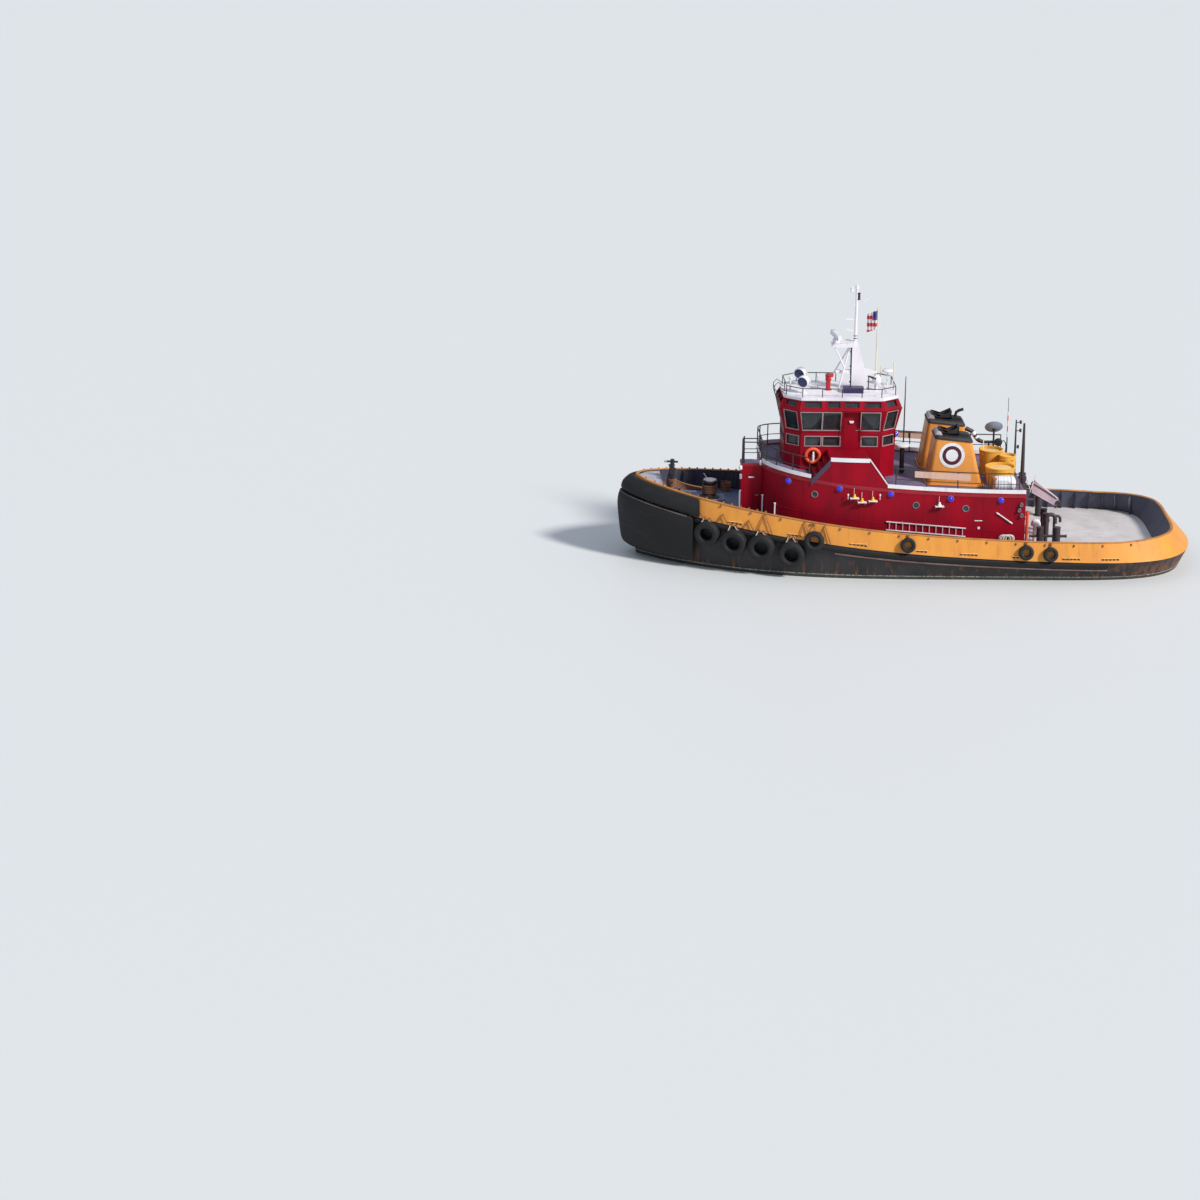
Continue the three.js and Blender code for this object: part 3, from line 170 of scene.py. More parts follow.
def grid_faces(rows, columns, wrap_rows=False, wrap_columns=False):
    """Quads of a grid of points, counted row by row, with either way closed on itself."""
    i = np.arange(rows if wrap_rows else rows - 1)[:, None]
    j = np.arange(columns if wrap_columns else columns - 1)[None, :]
    i2, j2 = (i + 1) % rows, (j + 1) % columns
    quads = np.stack(np.broadcast_arrays(i * columns + j, i2 * columns + j,
                                         i2 * columns + j2, i * columns + j2), axis=-1)
    return quads.reshape(-1, 4)


def skinned(grid, wrap_rows=False, wrap_columns=False, caps=False):
    """Points and faces of a grid. Caps close its first and last row with a fan to a middle."""
    rows, columns = grid.shape[:2]
    points = [grid.reshape(-1, 3)]
    faces = grid_faces(rows, columns, wrap_rows, wrap_columns).tolist()
    if caps:
        for row, k in ((0, 0), (rows - 1, 1)):
            points.append(grid[row].mean(axis=0)[None])
            hub = rows * columns + k
            ring = row * columns + np.arange(columns)
            turn = np.roll(ring, -1)
            faces += [[hub, a, b] if row else [hub, b, a] for a, b in zip(ring, turn)]
    return np.concatenate(points), faces


def both_sides(shape):
    """A port half and its mirror image, as one set of points and faces."""
    points, faces = shape
    mirrored = [[len(points) + k for k in reversed(f)] for f in faces]
    return np.concatenate([points, points * [1, -1, 1]]), faces + mirrored


def joined(shapes):
    """Several sets of points and faces as one."""
    points, faces, first = [], [], 0
    for p, f in shapes:
        points.append(p)
        faces += [[first + k for k in face] for face in f]
        first += len(p)
    return np.concatenate(points), faces


def set_at(shape, at):
    """A shape carried to its place without turning."""
    return shape[0] + at, shape[1]


def on_side(shape, s):
    """A port shape, or its mirror image where s is -1."""
    return shape[0] * [1, s, 1], shape[1]


def laid_over(shape):
    """A shape made about the Z axis, laid over to look along Y."""
    return shape[0][:, [0, 2, 1]], shape[1]


def piece(name, shape, material, body="tug", smooth=35, weld=1e-5, replaces=()):
    """A finished piece: its doubles merged, its faces turned out, smooth but for its edges."""
    points, faces = shape
    data = bpy.data.meshes.new(name)
    data.from_pydata(points.tolist(), [], faces)
    b = bmesh.new()
    b.from_mesh(data)
    bmesh.ops.remove_doubles(b, verts=b.verts, dist=weld)
    bmesh.ops.dissolve_degenerate(b, edges=b.edges, dist=weld / 2)
    bmesh.ops.recalc_face_normals(b, faces=b.faces)
    b.to_mesh(data)
    b.free()
    data.shade_smooth()
    data.set_sharp_from_angle(angle=math.radians(smooth))
    data.materials.append(material)
    obj = bpy.data.objects.new(name, data)
    bpy.context.collection.objects.link(obj)
    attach(obj, body)
    if replaces:
        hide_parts(*replaces)
    return obj


def eased(rows, steps):
    """Rows put in between rows, on a Catmull-Rom curve through the rows' like points."""
    ends = np.concatenate([[2 * rows[0] - rows[1]], rows, [2 * rows[-1] - rows[-2]]])
    t = np.linspace(0, 1, steps, endpoint=False)[:, None, None]
    out = [0.5 * (2 * b + (c - a) * t + (2 * a - 5 * b + 4 * c - d) * t ** 2
                  + (3 * b - a - 3 * c + d) * t ** 3)
           for a, b, c, d in zip(ends, ends[1:], ends[2:], ends[3:])]
    return np.concatenate([*out, rows[-1:]])


def stern_rise(x):
    """Nothing forward, one at the stern, eased between."""
    t = np.clip((-3.5 - x) / 5, 0, 1)
    return t * t * (3 - 2 * t)


def material(name):
    """A new node material: itself, its tree and its surface shader."""
    m = bpy.data.materials.new(name)
    m.use_nodes = True
    return m, m.node_tree, m.node_tree.nodes["Principled BSDF"]


def node(tree, kind, settings=(), **inputs):
    """A shader node with its settings, and its inputs as links or values."""
    n = tree.nodes.new("ShaderNode" + kind)
    for key, value in dict(settings).items():
        setattr(n, key, value)
    for key, value in inputs.items():
        socket = n.inputs[int(key[1:])] if key[1:].isdigit() else n.inputs[key.replace("_", " ")]
        if isinstance(value, bpy.types.NodeSocket):
            tree.links.new(value, socket)
        else:
            socket.default_value = value
    return n


def blended(tree, factor, first, second):
    """A colour between two, by a factor."""
    pair = [c if isinstance(c, bpy.types.NodeSocket) else (*c, 1) for c in (first, second)]
    return node(tree, "Mix", {"data_type": "RGBA"}, _0=factor, _6=pair[0],
                _7=pair[1]).outputs[2]


def ramped(tree, value, low, high, to_low=0.0, to_high=1.0):
    """A value taken from one span to another and held at its ends."""
    return node(tree, "MapRange", _0=value, _1=low, _2=high, _3=to_low, _4=to_high).outputs[0]


def sums(tree, operation, a, b=0.0):
    """One sum on two values."""
    return node(tree, "Math", {"operation": operation}, _0=a, _1=b).outputs[0]


def speckle(tree, scale, stretch=(1, 1, 1), detail=4.0, rough=0.55, place=None):
    """Noise on object coordinates, stretched by scaling its axes, from 0 to 1."""
    place = place or node(tree, "TexCoord").outputs["Object"]
    shifted = node(tree, "Mapping", Vector=place, Scale=stretch).outputs[0]
    return node(tree, "TexNoise", Vector=shifted, Scale=scale, Detail=detail,
                Roughness=rough).outputs[0]


def bumped(tree, bsdf, height, distance, strength=0.5):
    """Bump from a height in metres times a distance."""
    bump = node(tree, "Bump", Height=height, Distance=distance, Strength=strength)
    tree.links.new(bump.outputs[0], bsdf.inputs["Normal"])


RUST = (0.2, 0.065, 0.025)


def hull_paint():
    """Deck paint where the skin faces up, and bands by height elsewhere."""
    m, t, bsdf = material("hull paint")
    place = node(t, "TexCoord")
    xyz = node(t, "SeparateXYZ", Vector=place.outputs["Object"])
    x, z = xyz.outputs[0], xyz.outputs[2]
    facing = node(t, "SeparateXYZ", Vector=place.outputs["Normal"]).outputs[2]
    mottle = speckle(t, 1.3, (1, 1, 0.35))
    streak = speckle(t, 2.6, (1.6, 1.6, 0.16), 6.0)
    fine = speckle(t, 24.0, (1, 1, 1), 6.0)
    topside = blended(t, ramped(t, mottle, 0.35, 0.72), (0.007, 0.008, 0.01),
                      (0.026, 0.024, 0.026))
    aft = ramped(t, x, -6.5, -11.5)
    rusting = ramped(t, sums(t, "ADD", streak, sums(t, "MULTIPLY", aft, 0.16)), 0.56, 0.68)
    low = ramped(t, z, 1.1, 0.15)
    topside = blended(t, sums(t, "MULTIPLY", sums(t, "MULTIPLY", rusting, low), 0.85), topside,
                      RUST)
    scum = ramped(t, sums(t, "ADD", z, sums(t, "MULTIPLY", mottle, 0.09)), 0.24, 0.16)
    side = blended(t, sums(t, "MULTIPLY", scum, 0.7), topside, (0.035, 0.042, 0.03))
    line = sums(t, "MULTIPLY", ramped(t, z, 0.13, 0.15), ramped(t, z, 0.19, 0.17))
    side = blended(t, sums(t, "MULTIPLY", line, ramped(t, fine, 0.42, 0.6)), side,
                   (0.5, 0.5, 0.44))
    below = blended(t, ramped(t, mottle, 0.4, 0.7), (0.16, 0.028, 0.02), (0.1, 0.03, 0.025))
    side = blended(t, ramped(t, z, -0.02, -0.06), side, below)
    grey = blended(t, ramped(t, mottle, 0.3, 0.75), (0.5, 0.47, 0.47), (0.64, 0.62, 0.63))
    stain = ramped(t, speckle(t, 0.9, (1, 1, 1), 8.0, 0.7), 0.58, 0.74)
    grey = blended(t, sums(t, "MULTIPLY", stain, 0.5), grey, (0.36, 0.23, 0.15))
    blue = blended(t, ramped(t, mottle, 0.3, 0.75), (0.075, 0.1, 0.19), (0.13, 0.16, 0.27))
    deck = blended(t, ramped(t, x, 5.9, 6.1), grey, blue)
    surface = blended(t, ramped(t, facing, 0.8, 0.9), side, deck)
    t.links.new(surface, bsdf.inputs["Base Color"])
    t.links.new(ramped(t, fine, 0.2, 0.8, 0.42, 0.72), bsdf.inputs["Roughness"])
    bumped(t, bsdf, sums(t, "ADD", mottle, sums(t, "MULTIPLY", fine, 0.12)), 0.02, 0.45)
    return m


skin_rows = np.stack([
    side_outline(BOTTOM, lambda x: -2.7 + 2.05 * stern_rise(x)) * [1, 0, 1],
    side_outline(BOTTOM, lambda x: -2.7 + 2.05 * stern_rise(x)),
    side_outline(BILGE, lambda x: -1.7 + 1.3 * stern_rise(x)),
    side_outline(WATERLINE, lambda x: 0 * x),
    side_outline(KNUCKLE, deck_z),
])
knuckle_row = skin_rows[-1]
deck_rows = np.stack([knuckle_row * [1, 1 - k, 1] for k in np.linspace(0, 1, 9)[1:]])
deck_rows[:, :, 2] = deck_z(deck_rows[:, :, 0])
hull_rows = np.concatenate([eased(skin_rows[:4], 5)[:-1], eased(skin_rows[3:], 6), deck_rows])
HULL_PAINT = hull_paint()
piece("hull_skin", both_sides(skinned(hull_rows)), HULL_PAINT, smooth=32)


def tube(path, radius, sides=12, closed=False, caps=True):
    """A round section carried along a path of points, turned with it by parallel transport."""
    path = np.asarray(path, float)
    radius = np.broadcast_to(np.asarray(radius, float), len(path))
    if closed:
        ahead = np.roll(path, -1, axis=0) - np.roll(path, 1, axis=0)
    else:
        ahead = np.gradient(path, axis=0)
    ahead /= np.linalg.norm(ahead, axis=1, keepdims=True)
    side = np.cross(ahead[0], [0, 0, 1.0])
    if np.linalg.norm(side) < 1e-3:
        side = np.array([0, 1.0, 0])
    sides_along = []
    for d in ahead:
        side = side - d * side.dot(d)
        side = side / np.linalg.norm(side)
        sides_along.append(side)
    u = np.array(sides_along)
    v = np.cross(ahead, u)
    a = np.linspace(0, 2 * math.pi, sides, endpoint=False)
    ring = u[:, None] * np.cos(a)[None, :, None] + v[:, None] * np.sin(a)[None, :, None]
    return skinned(path[:, None] + ring * radius[:, None, None], wrap_rows=closed,
                   wrap_columns=True, caps=caps and not closed)


def prism(outline, low, high, ease=0.0, axis=2):
    """A plan outline between two levels, its rims eased inwards, along a chosen axis."""
    outline = np.asarray(outline, float)
    centre = outline.mean(axis=0)
    reach = np.abs(outline - centre).max()
    drawn = centre + (outline - centre) * (1 - ease / reach)
    levels = [(drawn, low), (outline, low + ease), (outline, high - ease), (drawn, high)]
    if not ease:
        levels = levels[1:3]
    order = {0: (2, 0, 1), 1: (0, 2, 1), 2: (0, 1, 2)}[axis]
    grid = np.stack([np.column_stack([o, np.full(len(o), z)])[:, order] for o, z in levels])
    return skinned(grid, wrap_columns=True, caps=True)


# Skeg, shaft tubes and struts. The skeg is a plate box along the centreline, and each shaft
# runs aft in a tube that a strut carries under the hull.
SHAFT_Y, SHAFT_Z, PROPELLER_X = 1.9, -1.95, -9.3
skeg_line = [(9.0, -2.5), (8.2, -3.3), (-9.9, -3.3), (-9.9, -3.0), (-8.7, -2.6), (-8.0, -1.2),
             (-6.0, -1.5), (0, -2.5)]
shaft_gear = [prism(skeg_line, -0.15, 0.15, 0.04, axis=1)]
for side in (1, -1):
    y = side * SHAFT_Y
    shaft_gear += [
        tube([(PROPELLER_X + 0.2003, y, SHAFT_Z), (-7.4, y, SHAFT_Z), (-5.5, y, SHAFT_Z)],
             0.13, 24),
        prism([(-8.9, SHAFT_Z), (-8.6, SHAFT_Z), (-8.4, -0.5), (-8.8, -0.5)], y - 0.045,
              y + 0.045, 0.02, axis=1),
        prism([(-11, -0.82), (-10.3, -0.82), (-10.3, -0.4), (-11, -0.4)], y - 0.16, y + 0.16,
              0.02, axis=1),
    ]
piece("skeg_and_shaft_tubes", joined(shaft_gear), HULL_PAINT, replaces=("hull",))


def sea_paint(name, fresh, faded, stain=RUST, stained=0.25, chipped=0.2, gloss=0.45,
              grain=0.008):
    """Enamel on plate: two tones in patches, streaks that run down, and small chips."""
    m, t, bsdf = material(name)
    patches = speckle(t, 1.1, (1, 1, 0.5))
    runs = speckle(t, 3.2, (1.5, 1.5, 0.13), 6.0)
    fine = speckle(t, 17.0, (1, 1, 1), 7.0, 0.65)
    coat = blended(t, ramped(t, patches, 0.32, 0.7), fresh, faded)
    coat = blended(t, ramped(t, runs, 0.55, 0.78, 0, stained), coat, stain)
    chips = sums(t, "MULTIPLY", ramped(t, fine, 0.66, 0.7), ramped(t, runs, 0.4, 0.6))
    coat = blended(t, sums(t, "MULTIPLY", chips, chipped), coat, RUST)
    t.links.new(coat, bsdf.inputs["Base Color"])
    t.links.new(ramped(t, fine, 0.25, 0.75, gloss - 0.1, gloss + 0.15), bsdf.inputs["Roughness"])
    bumped(t, bsdf, sums(t, "ADD", patches, sums(t, "MULTIPLY", fine, 0.15)), grain)
    return m


def repaint(obj, finish, where):
    """Another finish on the faces whose middles and normals pass a test."""
    data = obj.data
    count = len(data.polygons)
    centre, normal = np.empty(count * 3), np.empty(count * 3)
    data.polygons.foreach_get("center", centre)
    data.polygons.foreach_get("normal", normal)
    index = np.empty(count, dtype=np.int32)
    data.polygons.foreach_get("material_index", index)
    data.materials.append(finish)
    index[where(centre.reshape(-1, 3), normal.reshape(-1, 3))] = len(data.materials) - 1
    data.polygons.foreach_set("material_index", index)


def outward(centre, normal):
    """Whether a face looks away from the ship's middle line, drawn between the sweeps."""
    run = centre[:, 0] - np.clip(centre[:, 0], AFT_CENTRE, FORE_CENTRE)
    return normal[:, 0] * run + normal[:, 1] * centre[:, 1] > 0


# Bulwark. Welded plate that leans in from the knuckle to a flat rail, with brackets inside.
# Orange-yellow outside and dark blue-grey inside.
YELLOW_COAT = sea_paint("bulwark yellow", (0.72, 0.3, 0.035), (0.62, 0.24, 0.04),
                        stain=(0.3, 0.1, 0.02), stained=0.4, chipped=0.9, gloss=0.5)
INNER_COAT = sea_paint("bulwark inner blue-grey", (0.05, 0.06, 0.095), (0.085, 0.09, 0.13),
                       stain=(0.2, 0.11, 0.07), stained=0.45, chipped=0.8, gloss=0.6)
bulwark_rows = np.stack([
    side_outline(KNUCKLE, deck_z), side_outline(RAIL, rail_z),
    side_outline(RAIL_INNER, rail_z), side_outline(DECK_EDGE, deck_z),
])
bulwark = piece("bulwark_plating", both_sides(skinned(bulwark_rows, wrap_rows=True)),
                YELLOW_COAT,
                replaces=("bulwark_bow", "bulwark_stern", "bulwark_port", "bulwark_starboard"))
repaint(bulwark, INNER_COAT, lambda c, n: ~outward(c, n) & (n[:, 2] < 0.9))


def along_side(form, x):
    """A point on the port outline and the outward level normal there."""
    y = float(half_breadth(form, np.float64(x)))
    slope = float(half_breadth(form, np.float64(x + 0.02)) - half_breadth(form,
                                                                          np.float64(x - 0.02)))
    n = np.array([-slope, 0.04, 0])
    return y, n / np.linalg.norm(n)


def placed(shape, at, out=(0, 1, 0), lean=(0, 0, 1)):
    """A shape made about the origin with its Y turned to face out, moved to its place."""
    y = np.array(out, float) / np.linalg.norm(out)
    x = np.cross(y, lean)
    x /= np.linalg.norm(x)
    return shape[0] @ np.stack([x, y, np.cross(x, y)]) + np.asarray(at, float), shape[1]


def block(low, high, ease=0.01):
    """A box with its upright corners cut off and its rims eased."""
    (x0, y0, z0), (x1, y1, z1) = low, high
    e = ease
    outline = [(x1, y0 + e), (x1, y1 - e), (x1 - e, y1), (x0 + e, y1), (x0, y1 - e),
               (x0, y0 + e), (x0 + e, y0), (x1 - e, y0)]
    return prism(outline, z0, z1, ease)


def bulwark_at(x, rise):
    """A point on the outer face of the bulwark, a share of the way up it, and its normal."""
    foot_y, out = along_side(KNUCKLE, x)
    head_y, _ = along_side(RAIL, x)
    foot = np.array([x, foot_y, float(deck_z(x))])
    head = np.array([x, head_y, float(rail_z(x))])
    along = np.cross(out, [0, 0, 1.0])
    normal = np.cross(head - foot, along)
    normal *= math.copysign(1, normal[1]) / np.linalg.norm(normal)
    return foot + (head - foot) * rise, normal


# Rail. A heavy flat bar with rounded edges along the bulwark's top, brown where ropes have
# worn the paint off, with small lugs for lashings round the bow.
RAIL_COAT = sea_paint("worn rail", (0.55, 0.23, 0.04), (0.26, 0.12, 0.045), stained=0.6,
                      chipped=0.9, gloss=0.6)
rail_line = (side_outline(RAIL, rail_z) + side_outline(RAIL_INNER, rail_z)) / 2
rail_ring = np.concatenate([rail_line, rail_line[-2:0:-1] * [1, -1, 1]])
points, faces = tube(rail_ring, 0.075, 10, closed=True)
rail_mid = np.repeat(rail_ring, 10, axis=0)
points = rail_mid + (points - rail_mid) * [1, 1, 0.45]
lugs = [placed(block((-0.04, -0.012, -0.06), (0.04, 0.012, 0.075), 0.005),
               (x, s * along_side(RAIL_INNER, x)[0], float(rail_z(x)) + 0.02),
               out=along_side(RAIL_INNER, x)[1] * [1, s, 1])
        for x in np.arange(6.6, 11.7, 0.36) for s in (1, -1)]
piece("rail_cap", joined([(points, faces), *lugs]), RAIL_COAT)

# Bulwark brackets. Flat bar stiffeners stand inside the plating on the deck, their heads
# sniped, at even frames.
FRAME_STEP = 0.62
BRACKET_WIDTH, BRACKET_THICK = 0.16, 0.014
brackets = []
for x in np.arange(-10.6, 11.2, FRAME_STEP):
    foot_y, foot_out = along_side(DECK_EDGE, x)
    head_y, _ = along_side(RAIL_INNER, x)
    height = float(rail_z(x) - deck_z(x))
    drawn = (head_y - foot_y) * 0.93
    web = prism([(-0.02, 0), (-BRACKET_WIDTH, 0), (-BRACKET_WIDTH + drawn * 0.9, height * 0.8),
                 (drawn - 0.04, height * 0.95), (drawn - 0.002, height * 0.95)],
                -BRACKET_THICK / 2, BRACKET_THICK / 2, axis=0)
    for s in (1, -1):
        brackets.append(placed(web, (x, s * foot_y, float(deck_z(x))), out=foot_out * [1, s, 1]))
piece("bulwark_brackets", joined(brackets), INNER_COAT)

# Freeing ports. Short slots in groups low in the bulwark let water off the deck, each with a
# bead round it, and a lip is welded over each group. The slots are not cut: a near-black plate
# in each is painted shade where the open slot shows dark. The lip is a paler copy of the band's
# yellow, a painted highlight of its lit top.
# Each group: its fore and aft ends.
SLOT_GROUPS = [(8.26, 7.59), (5.65, 5.03), (2.97, 2.21), (0.11, -0.4), (-1.87, -2.62),
               (-4.1, -4.45), (-6.33, -7.13), (-8.11, -8.87)]
SLOT_PITCH, SLOT_HALF, SLOT_R, SLOT_RISE = 0.165, 0.038, 0.036, 0.16
a = np.linspace(0, 2 * math.pi, 17)[:-1]
slot_line = np.stack([np.sign(np.cos(a)) * SLOT_HALF + SLOT_R * np.cos(a), 0 * a,
                      SLOT_R * np.sin(a)], axis=-1)
slot_rim = tube(slot_line, 0.009, 5, closed=True)
slot_shade_plate = prism(slot_line[:, [0, 2]], -0.01, 0.004, axis=1)
rims, slot_shades, lips = [], [], []
for fore, aft in SLOT_GROUPS:
    for s in (1, -1):
        at, out = bulwark_at((fore + aft) / 2, SLOT_RISE + 0.075)
        lips.append(placed(block(((aft - fore) / 2, -0.01, -0.012),
                                 ((fore - aft) / 2, 0.04, 0.012),
                                 0.004), at * [1, s, 1], out * [1, s, 1]))
    for x in np.arange(aft + SLOT_PITCH / 2, fore, SLOT_PITCH):
        for s in (1, -1):
            at, out = bulwark_at(x, SLOT_RISE)
            at, out = at * [1, s, 1], out * [1, s, 1]
            rims.append(placed(slot_rim, at, out))
            slot_shades.append(placed(slot_shade_plate, at, out))
piece("freeing_port_beads", joined(rims), YELLOW_COAT)
# Painted highlight: the lip is a paler copy of the band's yellow, for its top in the light.
LIT_LIP_YELLOW = sea_paint("lip yellow with painted highlight", (0.85, 0.56, 0.24), (0.8, 0.45, 0.12), stained=0.3,
                     gloss=0.55)
piece("freeing_port_lips", joined(lips), LIT_LIP_YELLOW)
# Painted shade: a near-black plate in each slot stands in for the dark of the open slot.
PAINTED_SLOT_SHADE = sea_paint("painted slot shade", (0.008, 0.007, 0.008), (0.02, 0.014, 0.012), gloss=0.8)
piece("freeing_port_painted_shade", joined(slot_shades), PAINTED_SLOT_SHADE)

# Breasthook. A light steel plate that closes the corner of the bow just under the rail.
SHIP_WHITE = sea_paint("ship white", (0.78, 0.78, 0.8), (0.66, 0.66, 0.7),
                       stain=(0.42, 0.3, 0.2), stained=0.35, chipped=0.35, gloss=0.4)
PALE_GREY = sea_paint("pale grey plate", (0.4, 0.39, 0.45), (0.3, 0.29, 0.34),
                      stain=(0.3, 0.2, 0.14), stained=0.3, chipped=0.3, gloss=0.6)


def finish_nodes(finish, *names):
    """A finish on CAD nodes whose shape is kept."""
    for name in names:
        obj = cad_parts[name]
        for held in obj.material_slots:
            held.link = "OBJECT"
            held.material = finish
        if not obj.material_slots:
            obj.data.materials.append(finish)


finish_nodes(PALE_GREY, "breasthook")


def rubber(name, base, dusty, scale=1.0):
    """Black rubber, greyed by salt and scuffs, with a coarse cracked grain."""
    m, t, bsdf = material(name)
    scuffs = speckle(t, 2.2 * scale, (0.5, 0.5, 1.4), 8.0, 0.7)
    fine = speckle(t, 60.0, (1, 1, 1), 4.0)
    coat = blended(t, ramped(t, scuffs, 0.48, 0.75), base, dusty)
    t.links.new(coat, bsdf.inputs["Base Color"])
    t.links.new(ramped(t, scuffs, 0.3, 0.7, 0.62, 0.9), bsdf.inputs["Roughness"])
    bumped(t, bsdf, sums(t, "ADD", scuffs, sums(t, "MULTIPLY", fine, 0.3)), 0.012, 0.6)
    return m


# Bow fenders. Moulded rubber bolted round the bow: a roll over the bulwark and the main block
# under it. Their sections are eased through a few heights, and their after ends are blunt.
FENDER_RUBBER = rubber("fender rubber", (0.004, 0.004, 0.005), (0.018, 0.016, 0.017))
UPPER_AFT_X, LOWER_AFT_X = 9.42, 9.7


def bow_fender(name, hides, rows, aft_x, inner):
    """Outlines grown from the knuckle at rows of heights, joined to an inner wall."""
    bend = np.linspace(90, 0, 40)

    def level(form, z):
        x, y = on_ray(form, aft_x, bend)
        y[-1] = 0
        return np.stack([x, y, z(x)], axis=-1)

    grown = [level({**KNUCKLE, "fore": KNUCKLE["fore"] + g, "half": KNUCKLE["half"] + g * 0.9}, z)
             for g, z in rows]
    grid = np.concatenate([eased(np.stack(grown), 5), [level(*pair) for pair in inner]])
    port = grid.transpose(1, 0, 2)
    start = port[:1].mean(axis=1, keepdims=True)
    port = np.concatenate([start + (port[:1] - start) * k + [[[d, 0, 0]]]
                           for k, d in ((0, 0), (0.8, 0), (0.96, 0.03))] + [port[1:]])
    return piece(name, both_sides(skinned(port, wrap_columns=True)), FENDER_RUBBER,
                 smooth=42, replaces=(hides,))


bow_fender("lower_bow_rubber", "bow_fender_lower", [
    (-0.06, lambda x: 0.35 + (deck_z(x) - 2.4) * 0.2),
    (0.19, lambda x: 0.6 + (deck_z(x) - 2.4) * 0.3),
    (0.37, lambda x: deck_z(x) - 0.95),
    (0.39, lambda x: deck_z(x) - 0.42),
    (0.3, lambda x: deck_z(x) - 0.06),
    (0.08, lambda x: deck_z(x) + 0.02),
], LOWER_AFT_X, [({**KNUCKLE}, lambda x: deck_z(x) - 0.02),
                 ({**KNUCKLE, "fore": 12.2, "half": 4.45}, lambda x: 0.5 * deck_z(x))])
bow_fender("upper_bow_rubber", "bow_fender_upper", [
    (0.06, lambda x: deck_z(x) + 0.03),
    (0.25, lambda x: deck_z(x) + 0.12),
    (0.18, lambda x: deck_z(x) + 0.42),
    (-0.06, lambda x: deck_z(x) + 0.7),
    (-0.22, lambda x: deck_z(x) + 0.79),
], UPPER_AFT_X, [({**RAIL, "fore": 12.09, "half": 4.6}, lambda x: deck_z(x) + 0.72),
                 ({**KNUCKLE}, lambda x: deck_z(x) + 0.04)])

# Chafe line of the bow fender. A pale worn line runs along the top of the main block, where
# lines bear on it.
CHAFED = sea_paint("chafed rubber", (0.12, 0.11, 0.11), (0.05, 0.045, 0.045), stained=0.5,
                   chipped=0.5, gloss=0.75)
bend = np.linspace(84, 0, 44)
x, y = on_ray({**KNUCKLE, "fore": KNUCKLE["fore"] + 0.29, "half": KNUCKLE["half"] + 0.262},
              LOWER_AFT_X, bend)
y[-1] = 0
chafe = np.stack([x, y, deck_z(x) - 0.045], axis=-1)
ring = np.concatenate([chafe, chafe[-2::-1] * [1, -1, 1]])
piece("bow_chafe_line", tube(ring, 0.028, 6), CHAFED)

# Rubbing strake. A rounded rubber section runs under the band the length of the side, with a
# worn bare steel flat bar welded along the hull below it.
STRAKE_AFT_X, STRAKE_FORE_X = -8.35, 9.68


def side_strip(aft, fore, section, count=90):
    """A closed section carried along the side. Each point: out from the knuckle, below deck."""
    rows = []
    for x in np.linspace(aft, fore, count):
        y, out = along_side(KNUCKLE, x)
        y0 = float(half_breadth(WATERLINE, np.float64(x)))
        z = float(deck_z(x))
        rows.append([[x + out[0] * d, y0 + (y - y0) * (z - drop) / z + out[1] * d, z - drop]
                     for d, drop in section])
    return skinned(np.array(rows), wrap_columns=True, caps=True)


a = np.linspace(-90, 90, 9)
strake_section = [(-0.03, 0.33), *[(0.03 + 0.09 * math.cos(math.radians(k)),
                                    0.18 - 0.14 * math.sin(math.radians(k))) for k in a],
                  (-0.03, 0.03)]
strake = side_strip(STRAKE_AFT_X, STRAKE_FORE_X, strake_section)
WORN_FORE_X = 3.6
WORN_STEEL = sea_paint("worn steel", (0.33, 0.2, 0.18), (0.2, 0.1, 0.08), stain=(0.5, 0.4, 0.38),
                       stained=0.6, chipped=0.6, gloss=0.5)
flat_bar = [(-0.02, 0.44), (0.035, 0.43), (0.035, 0.36), (-0.02, 0.35)]
piece("worn_side_bar", both_sides(side_strip(STRAKE_AFT_X, WORN_FORE_X, flat_bar)), WORN_STEEL)

# Tyre fenders. Old tyres hang on chains from the band, larger ones forward. Each is turned from
# one closed section, with grooves across its tread. Each row: x, diameter, height of its middle.
TYRES = [(9.09, 1.15, 1.7), (7.96, 1.22, 1.42), (6.78, 1.22, 1.32), (5.48, 1.22, 1.1),
         (4.53, 0.9, 1.77), (0.46, 0.68, 1.71), (-4.72, 0.68, 1.42), (-5.8, 0.67, 1.34)]
BAND_LEAN, HULL_LEAN = 0.15, -0.12     # radians, of a tyre on the band and on the flare
TREAD_BLOCKS = 40
TYRE_RUBBER = rubber("old tyre rubber", (0.004, 0.004, 0.005), (0.02, 0.018, 0.018), 3.0)


def tyre(diameter):
    """A casing about the Y axis: its section swept round, pressed in at the tread's grooves."""
    r, w = diameter / 2, diameter * 0.15
    section = np.array([(0.5, -0.92), (0.5, -0.4), (0.53, 0), (0.5, 0.4), (0.5, 0.92),
                        (0.55, 1.14), (0.66, 1.3), (0.78, 1.28), (0.89, 1.12), (0.96, 0.92),
                        (0.985, 0.62), (0.99, 0.2), (0.99, -0.2), (0.985, -0.62),
                        (0.96, -0.92), (0.89, -1.12), (0.78, -1.28), (0.66, -1.3),
                        (0.55, -1.14)]) * [r, w]
    turn = np.linspace(0, 2 * math.pi, 2 * TREAD_BLOCKS, endpoint=False)
    groove = 1 - 0.026 * (np.arange(len(turn)) % 2)[:, None] * (section[:, 0] > 0.9 * r)
    radius = section[:, 0] * groove
    grid = np.stack([radius * np.cos(turn)[:, None], np.broadcast_to(section[:, 1], radius.shape),
                     radius * np.sin(turn)[:, None]], axis=-1)
    return skinned(grid, wrap_rows=True, wrap_columns=True)


